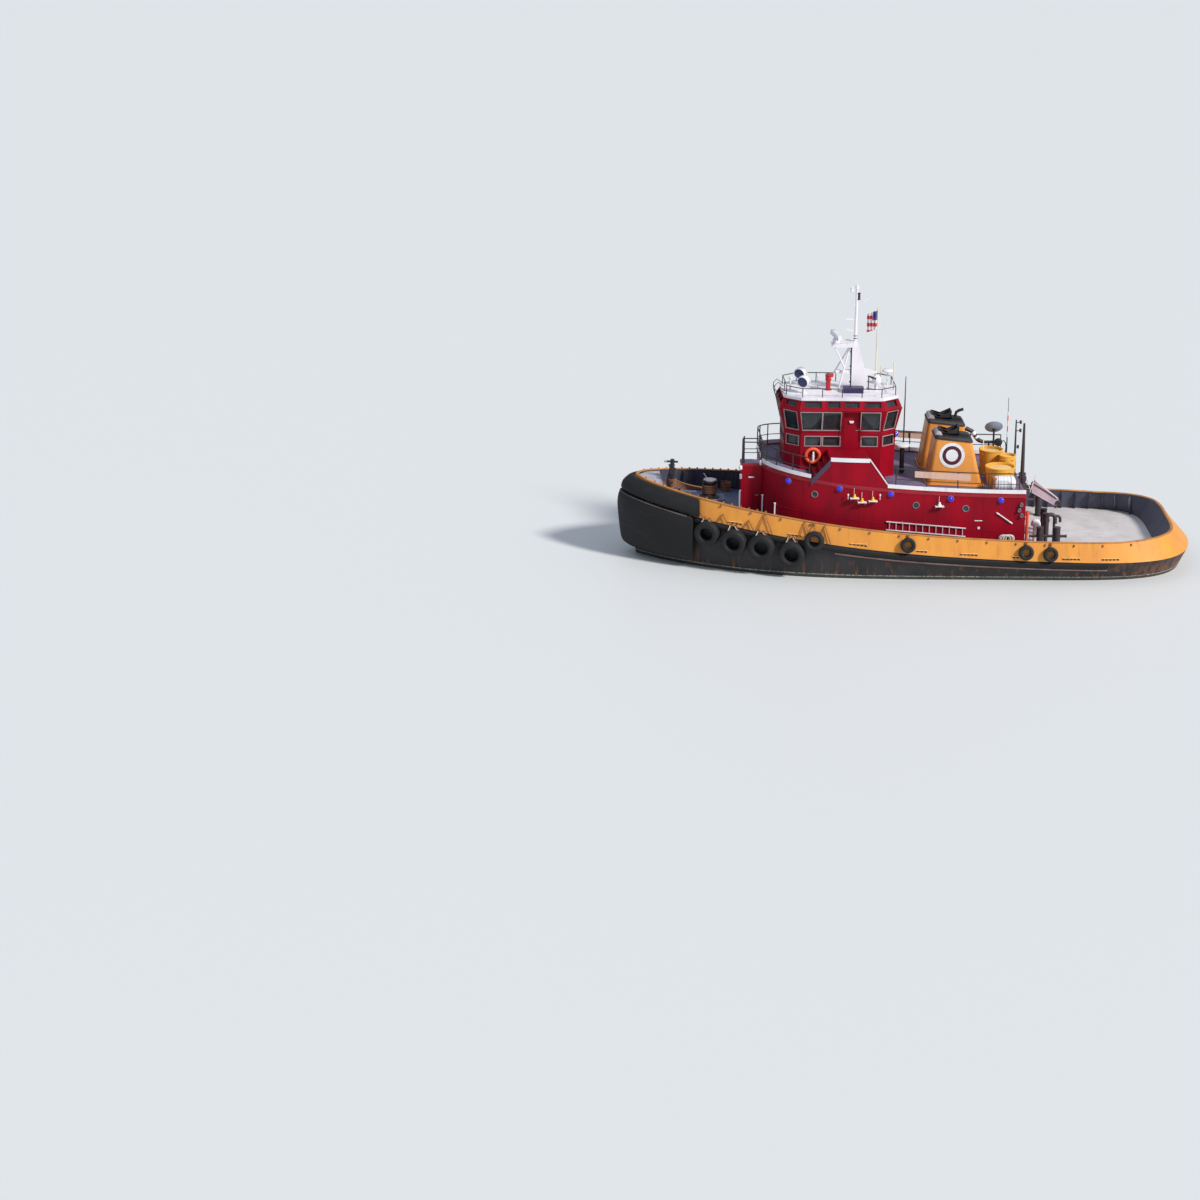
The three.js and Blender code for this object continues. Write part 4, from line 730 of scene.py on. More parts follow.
def tyre_seat(x, diameter, z):
    """Where a tyre's middle is and its outward axis, on the band or on the hull below."""
    w = diameter * 0.15
    on_band = z > deck_z(x)
    knuckle, out = along_side(KNUCKLE, x)
    rise = float((z - deck_z(x)) / BULWARK_HEIGHT)
    t = float(z / deck_z(x))
    other = RAIL if on_band else WATERLINE
    share = rise if on_band else 1 - t
    reach = knuckle * (1 - share) + float(half_breadth(other, np.float64(x))) * share
    lean = BAND_LEAN if on_band else HULL_LEAN
    axis = np.array([out[0] * math.cos(lean), out[1] * math.cos(lean), math.sin(lean)])
    return np.array([x, reach + w * 1.5, z]), axis


tyres = []
for x, diameter, z in TYRES:
    at, axis = tyre_seat(x, diameter, z)
    tyres.append(placed(tyre(diameter), at, axis))
piece("side_tyres", both_sides(joined(tyres)), TYRE_RUBBER, smooth=40)
piece("rubbing_strake", both_sides(strake), FENDER_RUBBER, smooth=50,
      replaces=("side_fender_port", "side_fender_starboard"))

# Tyre chains. Galvanised chain gone brown, two legs to a large tyre and one to a small one,
# from welded eyes on the band. Pale chafing rope is laid beside the legs of the large ones.
LINK_LENGTH, LINK_BAR = 0.1, 0.011
RUSTY_STEEL = sea_paint("rusty steel", (0.17, 0.06, 0.03), (0.28, 0.11, 0.05), stained=0.5,
                        chipped=0.6, gloss=0.8, grain=0.004)
GREY_ROPE = sea_paint("grey rope", (0.55, 0.52, 0.48), (0.36, 0.33, 0.3), stained=0.3, gloss=0.85)
a = np.linspace(0, 2 * math.pi, 11)[:-1]
link_line = np.stack([0.022 * np.cos(a), 0 * a,
                      np.sign(np.sin(a)) * 0.022 + 0.028 * np.sin(a)], axis=-1)
LINK = tube(link_line, LINK_BAR, 5, closed=True)


def chain(start, end, sag=0.0):
    """Links laid end to end along a line with a little sag, every other one turned over."""
    start, end = np.asarray(start, float), np.asarray(end, float)
    count = max(2, round(float(np.linalg.norm(end - start)) / (LINK_LENGTH * 0.78)))
    t = (np.arange(count) + 0.5) / count
    middles = start + (end - start) * t[:, None] - [0, 0, 1] * (sag * 4 * t * (1 - t))[:, None]
    ahead = (end - start) / np.linalg.norm(end - start)
    across = np.cross(ahead, [1.0, 0, 0])
    across /= np.linalg.norm(across)
    other = np.cross(ahead, across)
    return joined([placed(LINK, at, out=(across, other)[k % 2], lean=ahead)
                   for k, at in enumerate(middles)])


chains, ropes, eyes = [], [], []
for x, diameter, z in TYRES:
    at, _ = tyre_seat(x, diameter, z)
    r = diameter / 2
    spread = (0.2, -0.2) if diameter > 1 else (0.0,)
    for k in spread:
        head, out = bulwark_at(x + k * 0.5, 0.04 if diameter > 1 else 0.9)
        head = head + out * 0.05
        foot = at + np.array([k * 1.1, 0.02, r * 0.92])
        chains.append(chain(head, foot))
        eyes.append(placed(block((-0.05, -0.05, -0.06), (0.05, 0.02, 0.07)), head, out))
        if diameter > 1:
            beside = np.array([0.05, 0.03, 0])
            mid = (head + foot) / 2 + beside + [0, 0.05, -0.05]
            t = np.linspace(0, 1, 9)[:, None]
            line = ((1 - t) ** 2 * (head + beside) + 2 * t * (1 - t) * mid
                    + t ** 2 * (foot + beside))
            ropes.append(tube(line, 0.02, 6))
piece("tyre_chains", both_sides(joined(chains)), RUSTY_STEEL, weld=1e-6)
piece("tyre_lashings", both_sides(joined(ropes)), GREY_ROPE)

# Lashing bars. Bent brown bars stand over the band above the large tyres, each with two legs to
# the band's foot, and small eyes are welded under the rail at even frames. Each bar: x, height
# of its peak over the deck and half of its spread.
LASHING_BARS = [(9.43, 0.34, 0.2), (8.42, 0.4, 0.22), (7.32, 0.39, 0.22), (6.63, 0.82, 0.32),
                (4.92, 0.79, 0.26), (4.06, 0.76, 0.26)]
for x, lift, half in LASHING_BARS:
    head, out = bulwark_at(x, lift / BULWARK_HEIGHT)
    legs = []
    for k in (half, -half):
        foot, n = bulwark_at(x + k, 0.02)
        legs.append(foot + n * 0.09)
    peak = head + out * 0.07
    eyes += [tube([legs[0], peak, legs[1]], 0.027, 7), tube([peak, head - out * 0.02], 0.025, 6)]
for x in np.arange(-9.4, 8.6, 1.28):
    at, out = bulwark_at(x, 0.86)
    eyes.append(placed(block((-0.03, -0.01, -0.05), (0.03, 0.06, 0.05)), at, out))
piece("lashing_brackets", both_sides(joined(eyes)), RUSTY_STEEL)


# Propellers. Four cast bronze blades on a hub, each blade a thin section turned along its
# radius. They ride on their own shafts.
PROPELLER_R, HUB_AFT, HUB_FORE = 0.98, 0.33, 0.2


def bronze_finish():
    """Sea bronze: dull gold, browned and greened in patches."""
    m, t, bsdf = material("sea bronze")
    patches = speckle(t, 5.0, (1, 1, 1), 6.0)
    coat = blended(t, ramped(t, patches, 0.42, 0.68), (0.5, 0.3, 0.1), (0.14, 0.15, 0.09))
    t.links.new(coat, bsdf.inputs["Base Color"])
    bsdf.inputs["Metallic"].default_value = 1
    t.links.new(ramped(t, patches, 0.3, 0.7, 0.28, 0.6), bsdf.inputs["Roughness"])
    bumped(t, bsdf, patches, 0.004)
    return m


def turned(profile, sides=32, closed=False):
    """A profile of radius and height, swept about the Z axis."""
    profile = np.asarray(profile, float)
    a = np.linspace(0, 2 * math.pi, sides, endpoint=False)
    grid = np.stack([profile[:, :1] * np.cos(a), profile[:, :1] * np.sin(a),
                     np.broadcast_to(profile[:, 1:], (len(profile), sides))], axis=-1)
    return skinned(grid, wrap_rows=closed, wrap_columns=True, caps=not closed)


def blade_shape():
    """A blade along Z. Chord, pitch and thickness go with the share of its radius."""
    s = np.linspace(0, 1, 14)[:, None]
    a = np.linspace(0, 2 * math.pi, 28, endpoint=False)[None, :]
    r = 0.11 + (PROPELLER_R - 0.115) * s
    chord = 0.17 + 0.12 * np.sin(s * 2.5) - 0.17 * s ** 6
    thick = 0.034 * (1 - s) + 0.008
    pitch = 1.0 - 0.72 * s ** 0.8
    c, d = chord * np.cos(a), thick * np.sin(a)
    skew = 0.1 * s ** 2
    return skinned(np.stack([c * np.sin(pitch) - d * np.cos(pitch),
                             c * np.cos(pitch) + d * np.sin(pitch) + skew, r + 0 * a], axis=-1),
                   wrap_columns=True, caps=True)


BRONZE = bronze_finish()
hub = turned([(0, -HUB_AFT), (0.05, -0.315), (0.09, -0.26), (0.125, -0.2), (0.16, -0.08),
              (0.17, 0), (0.17, HUB_FORE), (0, HUB_FORE)], 40)
hub = hub[0][:, [2, 1, 0]] * [1, 1, -1], hub[1]
for side, label in ((1, "port"), (-1, "starboard")):
    turns = [Matrix.Rotation(k * math.pi / 2, 3, "X") for k in range(4)]
    blade = blade_shape()
    blades = [(blade[0] @ np.array(m).T, blade[1]) for m in turns]
    shape = joined([hub, *blades])
    piece(f"propeller_{label}_cast", (shape[0] * [1, side, 1] + [PROPELLER_X, side * SHAFT_Y,
                                                                SHAFT_Z], shape[1]),
          BRONZE, body=f"propeller_{label}", replaces=(f"propeller_{label}",))

# Rudders. Welded streamlined plate blades hung on their stocks under the counter, painted as
# the bottom is. Each turns with its own stock.
RUDDER_X, RUDDER_TOP, RUDDER_FOOT, STOCK_TOP = -10.65, -0.9, -2.9, -0.8203
c = 1 - np.cos(np.linspace(0, math.pi, 20))
run = 0.3 - 0.5 * c
thick = 0.075 * np.sqrt(np.clip(c / 2, 0, 1)) * (1 - (c / 2) ** 1.6) * 1.9
section = np.concatenate([np.stack([run, thick], -1), np.stack([run, -thick], -1)[-2:0:-1]])
rudder = joined([prism(section, RUDDER_FOOT, RUDDER_TOP, 0.02),
                 tube([(0, 0, -1.2), (0, 0, STOCK_TOP)], 0.07, 24),
                 prism(section * [1.03, 1.9], RUDDER_TOP - 0.03, RUDDER_TOP, 0.01),
                 prism(section * [1.03, 1.9], RUDDER_FOOT, RUDDER_FOOT + 0.03, 0.01)])
for side, label in ((1, "port"), (-1, "starboard")):
    piece(f"rudder_{label}_blade", set_at(rudder, [RUDDER_X, side * SHAFT_Y, 0]),
          HULL_PAINT, body=f"rudder_{label}", replaces=(f"rudder_{label}",))

# Foredeck bed and capstan. A plated bed carries a capstan with a flared black drum, a bare
# steel head and brown hawser wound on it. The drum and the turns on it ride on the capstan.
CAPSTAN_X, BED_TOP = 8.77, float(deck_z(8.77)) + 0.33
BLACK_COAT = sea_paint("black gear paint", (0.012, 0.012, 0.014), (0.035, 0.032, 0.032),
                       stained=0.45, chipped=0.8, gloss=0.5)
BARE_STEEL = sea_paint("bare steel", (0.55, 0.52, 0.58), (0.4, 0.37, 0.4), stained=0.3,
                       chipped=0.5, gloss=0.38)
BARE_STEEL.node_tree.nodes["Principled BSDF"].inputs["Metallic"].default_value = 0.7
DECK_BLUE = sea_paint("foredeck blue-grey", (0.1, 0.13, 0.22), (0.17, 0.2, 0.3), stained=0.35,
                      chipped=0.7, gloss=0.65)
finish_nodes(DECK_BLUE, "winch_bed")


def hawser_brown():
    """Laid fibre rope, brown with weather, with its strands as a slanted fine bump."""
    m, t, bsdf = material("brown hawser")
    fibres = speckle(t, 30.0, (1, 1, 1), 6.0, 0.7)
    coat = blended(t, ramped(t, fibres, 0.35, 0.7), (0.15, 0.06, 0.035), (0.32, 0.15, 0.08))
    t.links.new(coat, bsdf.inputs["Base Color"])
    bsdf.inputs["Roughness"].default_value = 0.92
    bumped(t, bsdf, fibres, 0.01, 0.8)
    return m


HAWSER = hawser_brown()
ROPE_R = 0.034


def laid_rope(path, radius=ROPE_R, lay=0.3, sides=9):
    """A rope as a tube whose section has three strands that turn as it runs."""
    path = np.asarray(path, float)
    run = np.concatenate([[0], np.cumsum(np.linalg.norm(np.diff(path, axis=0), axis=1))])
    points, faces = tube(path, radius, sides)
    a = np.tile(np.linspace(0, 2 * math.pi, sides, endpoint=False), len(path))
    turn = np.repeat(run / lay * 2 * math.pi, sides)
    swell = 1 + 0.13 * np.cos(3 * (a - turn))
    middle = np.repeat(path, sides, axis=0)
    points[:len(middle)] = middle + (points[:len(middle)] - middle) * swell[:, None]
    return points, faces


drum = turned([(0, 0.0003), (0.43, 0.0003), (0.44, 0.015), (0.44, 0.05), (0.33, 0.09),
               (0.27, 0.16),
               (0.235, 0.3), (0.235, 0.42), (0.25, 0.6), (0.3, 0.66), (0.325, 0.69), (0.33, 0.72),
               (0.322, 0.742), (0, 0.76)], 48)
head_cap = joined([
    turned([(0, 0.755), (0.29, 0.757), (0.285, 0.79), (0.2, 0.815), (0.06, 0.82), (0, 0.822)], 36),
    tube([(0.1, 0.1, 0.8), (0.3, 0.26, 1.12)], 0.022, 8),
])
whelps = [placed(block((-0.022, -0.02, 0.13), (0.022, 0.028, 0.62), 0.008),
                 (0.238 * math.cos(a), 0.238 * math.sin(a), 0), (math.cos(a), math.sin(a), 0))
          for a in np.arange(6) * math.pi / 3]
for name, shape, finish, slot_name, hides in (
        ("capstan_drum", joined([drum, *whelps]), BLACK_COAT, "black_steel", ("capstan",)),
        ("capstan_head", head_cap, BARE_STEEL, "aluminium", ())):
    piece(name, set_at(shape, [CAPSTAN_X, 0, BED_TOP]), finish,
          body="capstan", replaces=hides)
t = np.linspace(0, 1, 260)
a = t * 2 * math.pi * 5
turns = np.stack([CAPSTAN_X + 0.3 * np.cos(a), 0.3 * np.sin(a), BED_TOP + 0.2 + 0.38 * t], -1)
piece("hawser_turns", laid_rope(turns), HAWSER, body="capstan", smooth=80)

# Hawser lead. The taut parts of the hawser run side by side from the drum to the staple and
# are made fast round its post.
STAPLE_X, STAPLE_BAR_Z = 10.45, 3.78
strands = []
for k in range(5):
    y = -0.26 + 0.12 * k
    s = np.linspace(0, 1, 40)[:, None]
    start = np.array([CAPSTAN_X + 0.36, y, BED_TOP + 0.24 + 0.06 * k])
    stop = np.array([STAPLE_X - 0.13, 0.3 - 0.02 * k, BED_TOP + 0.52 + 0.07 * k])
    sag = np.array([0, 0, -0.05])
    strands.append(laid_rope(start + (stop - start) * s + sag * 4 * s * (1 - s)))
a = np.linspace(0, 2 * math.pi * 6, 260)
made_fast = np.stack([STAPLE_X + 0.146 * np.cos(a), 0.3 + 0.146 * np.sin(a),
                      BED_TOP + 0.5 + 0.4 * a / a[-1]], -1)
piece("hawser_lead", joined([*strands, laid_rope(made_fast)]), HAWSER,
      smooth=80)

# Staple, reel and foredeck fittings. The staple is two posts and a cross bar of black pipe.
# A red-brown hose reel with a pale ring stands by the rail, with a hatch.
staple = joined([
    tube([(STAPLE_X, 0.3, deck_z(STAPLE_X)), (STAPLE_X, 0.3, 3.9)], 0.11, 24),
    tube([(STAPLE_X, -0.3, deck_z(STAPLE_X)), (STAPLE_X, -0.3, 3.9)], 0.11, 24),
    tube([(STAPLE_X, -0.48, STAPLE_BAR_Z), (STAPLE_X, 0.48, STAPLE_BAR_Z)], 0.1, 24),
    tube([(STAPLE_X, 0, STAPLE_BAR_Z), (STAPLE_X, 0, 4.25)], 0.09, 20),
    *[placed(turned([(0, 0), (0.15, 0), (0.15, 0.025), (0.12, 0.045), (0, 0.045)], 24), p)
      for p in ((STAPLE_X, 0.3, 3.89), (STAPLE_X, -0.3, 3.89))],
    tube([(STAPLE_X, 0.3, 3.3), (STAPLE_X + 0.02, 0.52, 3.34)], 0.035, 10),
    tube([(STAPLE_X - 0.24, 0.04, 4.14), (STAPLE_X + 0.24, -0.04, 4.14)], 0.045, 14),
])
piece("staple_posts", staple, BLACK_COAT, replaces=("staple",))
piece("staple_end", placed(turned([(0, 0), (0.05, 0), (0.05, 0.09), (0.03, 0.11), (0, 0.11)], 20),
                          (STAPLE_X + 0.24, -0.04, 4.14), out=(0, 1, 0), lean=(1, -0.15, 0)),
      BARE_STEEL)
REEL = np.array([10.95, 0.62, 0])
REEL_Z = float(deck_z(REEL[0])) + 0.55
reel = [tube([(0, -0.13, 0), (0, 0.13, 0)], [0.17, 0.17], 28)]
reel += [placed(turned([(0, -0.012), (0.26, -0.012), (0.26, 0.012), (0, 0.012)], 32), (0, y, 0),
                out=(0, 0, 1), lean=(0, 1, 0)) for y in (-0.15, 0.15)]
reel += [tube([(0.1, y, -0.55), (0, y, 0), (-0.1, y, -0.55)], 0.022, 8) for y in (-0.18, 0.18)]
piece("hose_reel", set_at(joined(reel), REEL + [0, 0, REEL_Z]), RUSTY_STEEL)


def ring(big, small, sides=10, turns_count=36):
    """A torus about the Y axis."""
    a = np.linspace(0, 2 * math.pi, turns_count, endpoint=False)
    path = np.stack([big * np.cos(a), 0 * a, big * np.sin(a)], -1)
    return tube(path, small, sides, closed=True)


piece("hose_reel_ring", placed(ring(0.19, 0.02), (*(REEL + [0, 0.17, 0])[:2], REEL_Z)),
      SHIP_WHITE)


def mushroom(x, y, z, height, r):
    """A mushroom vent: a pipe with a domed cap."""
    cap = [(r, 0.72), (r, 0.82), (r * 0.8, 0.94), (r * 0.4, 1), (0, 1)]
    return set_at(turned([(0, 0), (r * 0.6, 0), (r * 0.55, height * 0.72),
                          *[(reach, height * share) for reach, share in cap]], 24), [x, y, z])


hatch_z = float(deck_z(9.6))
piece("foredeck_hatch", joined([
    block((9.25, -1.75, hatch_z - 0.08), (9.95, -1.05, hatch_z + 0.16), 0.03),
    tube([(9.3, -1.4, hatch_z + 0.17), (9.9, -1.4, hatch_z + 0.17)], 0.02, 8),
]), DECK_BLUE)


# Deckhouse sides. Steel plate, swept in on each side towards the vestibule, in crimson enamel
# with weld beads where the plates meet. The plate is as thick as the house walls.
CRIMSON = sea_paint("crimson enamel", (0.31, 0.002, 0.014), (0.2, 0.003, 0.012),
                    stain=(0.1, 0.004, 0.012), stained=0.4, chipped=0.15, gloss=0.45)
CRIMSON.node_tree.nodes["Principled BSDF"].inputs["Specular IOR Level"].default_value = 0.12
HOUSE_AFT, HOUSE_HALF, SWEEP_FROM, NOSE_X = -4.8, 3.4, 1.5, 6.6
VESTIBULE_X, WAIST, BOX_INNER, WALL = 7.5, 1.3, 0.62, 0.08
BOAT_DECK_AFT_Z, BOAT_SHEER, BOAT_PLATE = 3.65, 0.0061, 0.14
SIDE_END = 80                        # degrees of the sweep where the side meets the vestibule


def boat_deck_z(x):
    """Height of the boat deck: level aft, rising with the square of the way forward."""
    return BOAT_DECK_AFT_Z + BOAT_SHEER * (np.minimum(x, NOSE_X) + 4.8) ** 2


def sweep_at(degrees, inset=0.0):
    """A point of the sweep. A quarter turn takes it from the side's end to the waist."""
    a = np.radians(degrees)
    nose, waist = NOSE_X - 0.6 * inset, WAIST - inset
    half = HOUSE_HALF - inset
    x = SWEEP_FROM + (nose - SWEEP_FROM) * np.maximum(0, np.sin(a)) ** (1 / 1.3)
    return x, waist + (half - waist) * np.maximum(0, np.cos(a)) ** 1.24


def house_side(inset, aft=HOUSE_AFT, last=90.0):
    """The port wall's line in plan: straight, and then swept in."""
    x, y = sweep_at(np.linspace(0, last, 40)[1:], inset)
    straight = np.linspace(aft, SWEEP_FROM, 14)
    return (np.concatenate([straight, x]),
            np.concatenate([np.full(14, HOUSE_HALF - inset), y]))


def house_y(x):
    """Half-breadth of the house at x, and the outward level normal there."""
    if x <= SWEEP_FROM:
        return HOUSE_HALF, np.array([0, 1.0, 0])
    a = math.degrees(math.asin(min(1, (x - SWEEP_FROM) / (NOSE_X - SWEEP_FROM)) ** 1.3))
    (x0, y0), (x1, y1) = sweep_at(a - 0.5), sweep_at(a + 0.5)
    n = np.array([y0 - y1, x1 - x0, 0])
    return float(sweep_at(a)[1]), n / np.linalg.norm(n)


PANEL_AFT = HOUSE_AFT + WALL + 0.0002
xo, yo = house_side(0, PANEL_AFT, SIDE_END)
xi, yi = house_side(WALL, PANEL_AFT, SIDE_END)
foot_o, foot_i = deck_z(xo) + 0.0003, deck_z(xi) + 0.0003
head_o, head_i = boat_deck_z(xo) - BOAT_PLATE - 0.0003, boat_deck_z(xi) - BOAT_PLATE - 0.0003
rise = np.linspace(0, 1, 5)[:, None]
outer = [np.stack([xo, yo, foot_o + (head_o - foot_o) * k], -1) for k in rise[:, 0]]
inner = [np.stack([xi, yi, foot_i + (head_i - foot_i) * k], -1) for k in rise[::-1, 0]]
walls = skinned(np.stack(outer + inner, axis=1), wrap_columns=True, caps=True)
piece("house_sides", both_sides(walls), CRIMSON,
      replaces=("house_side_port", "house_side_starboard"))
finish_nodes(CRIMSON, "house_aft", "house_front")


def wall_line(x, lift, out=0.0):
    """Points on the house side at heights over the deck."""
    pairs = [house_y(float(k)) for k in x]
    y = np.array([p[0] for p in pairs])
    n = np.array([p[1] for p in pairs])
    return np.stack([x, y, deck_z(x) + lift], -1) + n * out


seam_x = np.concatenate([np.linspace(-4.75, 1.5, 12), np.linspace(1.8, 6.4, 22)])
seams = [tube(wall_line(seam_x, 0.95), 0.013, 6), tube(wall_line(seam_x, 0.06), 0.03, 6)]
for x in (-2.95, -0.3, 2.5, 4.9):
    y, out = house_y(x)
    seams.append(tube([(x, y, float(deck_z(x)) + 0.02), (x, y, float(boat_deck_z(x)) - 0.15)],
                      0.01, 6))
box_seams = [tube([(x, y, float(deck_z(x)) + 0.02), (x, y, float(boat_deck_z(x)) - 0.15)], 0.012,
                  6)
             for x, y in ((6.62, WAIST), (7.495, WAIST), (7.495, BOX_INNER))]
piece("house_seams", joined([both_sides(joined(seams)), *box_seams]), CRIMSON)

# Portholes. Round fixed lights in the house side: dark glass in a bolted grey ring. Each: x,
# height of its middle over water. The first three are on both sides, the others to starboard.
PORTHOLES = [(4.44, 3.53), (0.02, 3.15), (-2.17, 3.02), (2.3, 3.35), (-4.0, 3.0)]
PORT_R = 0.135
BOTH_SIDED_PORTHOLES = 3
GREY_METAL = sea_paint("grey ring paint", (0.2, 0.2, 0.22), (0.12, 0.12, 0.13), chipped=0.5)


def dark_glass(name, tint, clear):
    """Glazing: a dark sheet that reflects, uneven as old rolled glass is."""
    m, t, bsdf = material(name)
    waves = speckle(t, 2.3, (1, 1, 1), 2.0)
    t.links.new(blended(t, ramped(t, waves, 0.35, 0.7), tint, [k * 2.2 for k in tint]),
                bsdf.inputs["Base Color"])
    t.links.new(ramped(t, waves, 0.3, 0.7, 0.03, 0.11), bsdf.inputs["Roughness"])
    bsdf.inputs["Transmission Weight"].default_value = clear
    bsdf.inputs["IOR"].default_value = 1.5
    bumped(t, bsdf, waves, 0.01, 0.15)
    return m


PORT_GLASS = dark_glass("porthole glass", (0.012, 0.017, 0.02), 0.0)
rings, lights = [], []
for k, (x, z) in enumerate(PORTHOLES):
    y, out = house_y(x)
    for s in (1, -1):
        if k >= BOTH_SIDED_PORTHOLES and s > 0:
            continue
        at, n = np.array([x, s * y, z]), out * [1, s, 1]
        rings.append(placed(ring(PORT_R, 0.02, 8), at + n * 0.01, n))
        bolts = [placed(turned([(0, 0), (0.013, 0), (0.01, 0.016), (0, 0.016)], 6),
                        at + n * 0.03 + np.cross(n, [0, 0, 1]) * PORT_R * math.cos(b)
                        + np.array([0, 0, PORT_R * math.sin(b)]), (0, 0, 1), lean=n)
                 for b in np.arange(8) * math.pi / 4]
        rings += bolts
        disc = turned([(0, -0.004), (PORT_R * 0.98, -0.004), (PORT_R * 0.98, 0.003),
                       (0, 0.007)], 28)
        lights.append(placed(laid_over(disc), at, n))
piece("porthole_rings", joined(rings), GREY_METAL)
piece("porthole_glass", joined(lights), PORT_GLASS)

# Deck lamps. Blue glass bulkhead lamps along the house side under the boat deck, and two on the
# wheelhouse's after wall, each a moulded dome on a round base. Each: x, height over water.
LAMPS = [(5.56, 3.99), (3.38, 3.85), (1.14, 3.65), (-1.49, 3.46), (-3.7, 3.4)]
LAMP_R = 0.125


def lamp_blue():
    """Blue glass with a lit core, brighter in soft patches."""
    m, t, bsdf = material("blue lamp glass")
    rim = ramped(t, speckle(t, 9.0, (1, 1, 1), 2.0), 0.35, 0.7)
    mixed = blended(t, rim, (0.03, 0.013, 0.62), (0.012, 0.008, 0.22))
    t.links.new(mixed, bsdf.inputs["Base Color"])
    t.links.new(mixed, bsdf.inputs["Emission Color"])
    bsdf.inputs["Emission Strength"].default_value = 0.55
    bsdf.inputs["Roughness"].default_value = 0.12
    bsdf.inputs["Coat Weight"].default_value = 0.6
    grain = speckle(t, 40.0)
    bumped(t, bsdf, grain, 0.003, 0.3)
    return m


BLUE_GLASS = lamp_blue()
a = np.linspace(0, math.pi / 2, 9)
dome = np.stack([LAMP_R * np.cos(a), 0.03 + 0.11 * np.sin(a)], -1)
globe = turned([(0, 0.02), (LAMP_R * 0.98, 0.02), *dome], 24)
base = turned([(0, 0), (LAMP_R * 1.12, 0), (LAMP_R * 1.12, 0.028), (LAMP_R * 1.02, 0.035),
               (0, 0.035)], 24)
globes, bases = [], []
for x, z in LAMPS:
    y, out = house_y(x)
    for shape, held in ((globe, globes), (base, bases)):
        held.append(placed(laid_over(shape), (x, y, z), out))
aft_lamp = np.array([0.77, 0.98, 5.72])
for shape, held in ((globe, globes), (base, bases)):
    held.append(placed(laid_over(shape), aft_lamp, (-1, 0, 0)))
piece("deck_lamp_globes", both_sides(joined(globes)), BLUE_GLASS)
piece("deck_lamp_bases", both_sides(joined(bases)), GREY_METAL)

# Bell lights. Three yellow strobe lights on white trays, a white one further aft, each with
# its stalk, stand on brackets out of the port side, with a small lamp on a bent pipe at each
# end of the group. They are moulded plastic.
BELLS = [(2.74, 3.5), (2.4, 3.32), (1.93, 3.38)]
BELL_WHITE = (-1.0, 3.16)
BELL_SHARE = 0.75                    # of the moulding's full size, for the yellow ones
SAFETY_YELLOW = sea_paint("safety yellow plastic", (0.85, 0.55, 0.02), (0.7, 0.42, 0.02),
                          stained=0.2, gloss=0.35)
bell_profile = turned([(0, 0), (0.115, 0), (0.12, 0.03), (0.1, 0.07), (0.07, 0.1), (0.062, 0.17),
                       (0.05, 0.2), (0.025, 0.225), (0, 0.23)], 20)
tray = joined([block((-0.2, -0.13, -0.03), (0.2, 0.13, 0), 0.01),
               tube([(-0.15, -0.13, -0.15), (-0.15, 0.1, -0.03)], 0.012, 6),
               tube([(0.15, -0.13, -0.15), (0.15, 0.1, -0.03)], 0.012, 6),
               tube([(0.02, -0.05, 0), (0.02, -0.05, 0.42)], 0.009, 6)])
bells, trays = [], []
for x, z in BELLS:
    bells.append((bell_profile[0] * BELL_SHARE + [x, HOUSE_HALF + 0.13, z], bell_profile[1]))
    trays.append(set_at(tray, [x, HOUSE_HALF + 0.13, z]))
x, z = BELL_WHITE
trays += [set_at(tray, [x, HOUSE_HALF + 0.13, z]),
          (bell_profile[0] * 0.8 + [x, HOUSE_HALF + 0.13, z], bell_profile[1])]
for k in (3.02, 1.62):
    trays.append(tube([(k, HOUSE_HALF - 0.02, 3.4), (k, HOUSE_HALF + 0.1, 3.42),
                       (k, HOUSE_HALF + 0.1, 3.62)], 0.014, 6))
    trays.append(placed(turned([(0, 0), (0.04, 0), (0.03, 0.07), (0, 0.08)], 12),
                        (k, HOUSE_HALF + 0.1, 3.6)))
piece("bell_lights", joined(bells), SAFETY_YELLOW)
piece("bell_trays", joined(trays), SHIP_WHITE)

# Side fittings. A white boathook, bare plates, a dot light and two vertical vent pipes are on
# the port side, and a hank of pale rope hangs on pegs by the after end.
fittings = [
    tube([(-3.52, HOUSE_HALF + 0.05, 2.86), (-4.24, HOUSE_HALF + 0.05, 2.36)], 0.026, 10),
    placed(block((-0.04, -0.05, -0.03), (0.04, 0.05, 0.03)), (-3.6, HOUSE_HALF + 0.02, 2.8)),
    placed(block((-0.04, -0.05, -0.03), (0.04, 0.05, 0.03)), (-4.15, HOUSE_HALF + 0.02, 2.42)),
    block((-2.92, HOUSE_HALF, 2.455), (-2.57, HOUSE_HALF + 0.012, 2.49), 0.003),
    placed(laid_over(turned([(0, 0), (0.06, 0), (0.055, 0.03), (0, 0.04)], 16)),
           (-2.77, HOUSE_HALF, 2.14)),
    block((6.95, WAIST + 0.005, 3.78), (7.2, WAIST + 0.03, 3.84), 0.005),
]
for x, z0, z1 in ((6.52, 2.75, 3.05), (6.05, 2.6, 2.85)):
    y, out = house_y(x)
    p = np.array([x, y, 0]) + out * 0.07
    fittings += [tube([p + [0, 0, z0 - 0.7], p + [0, 0, z1]], 0.035, 10),
                 placed(turned([(0, 0), (0.05, 0), (0.05, 0.06), (0, 0.07)], 12), p + [0, 0, z1])]
piece("side_fittings", joined(fittings), SHIP_WHITE)


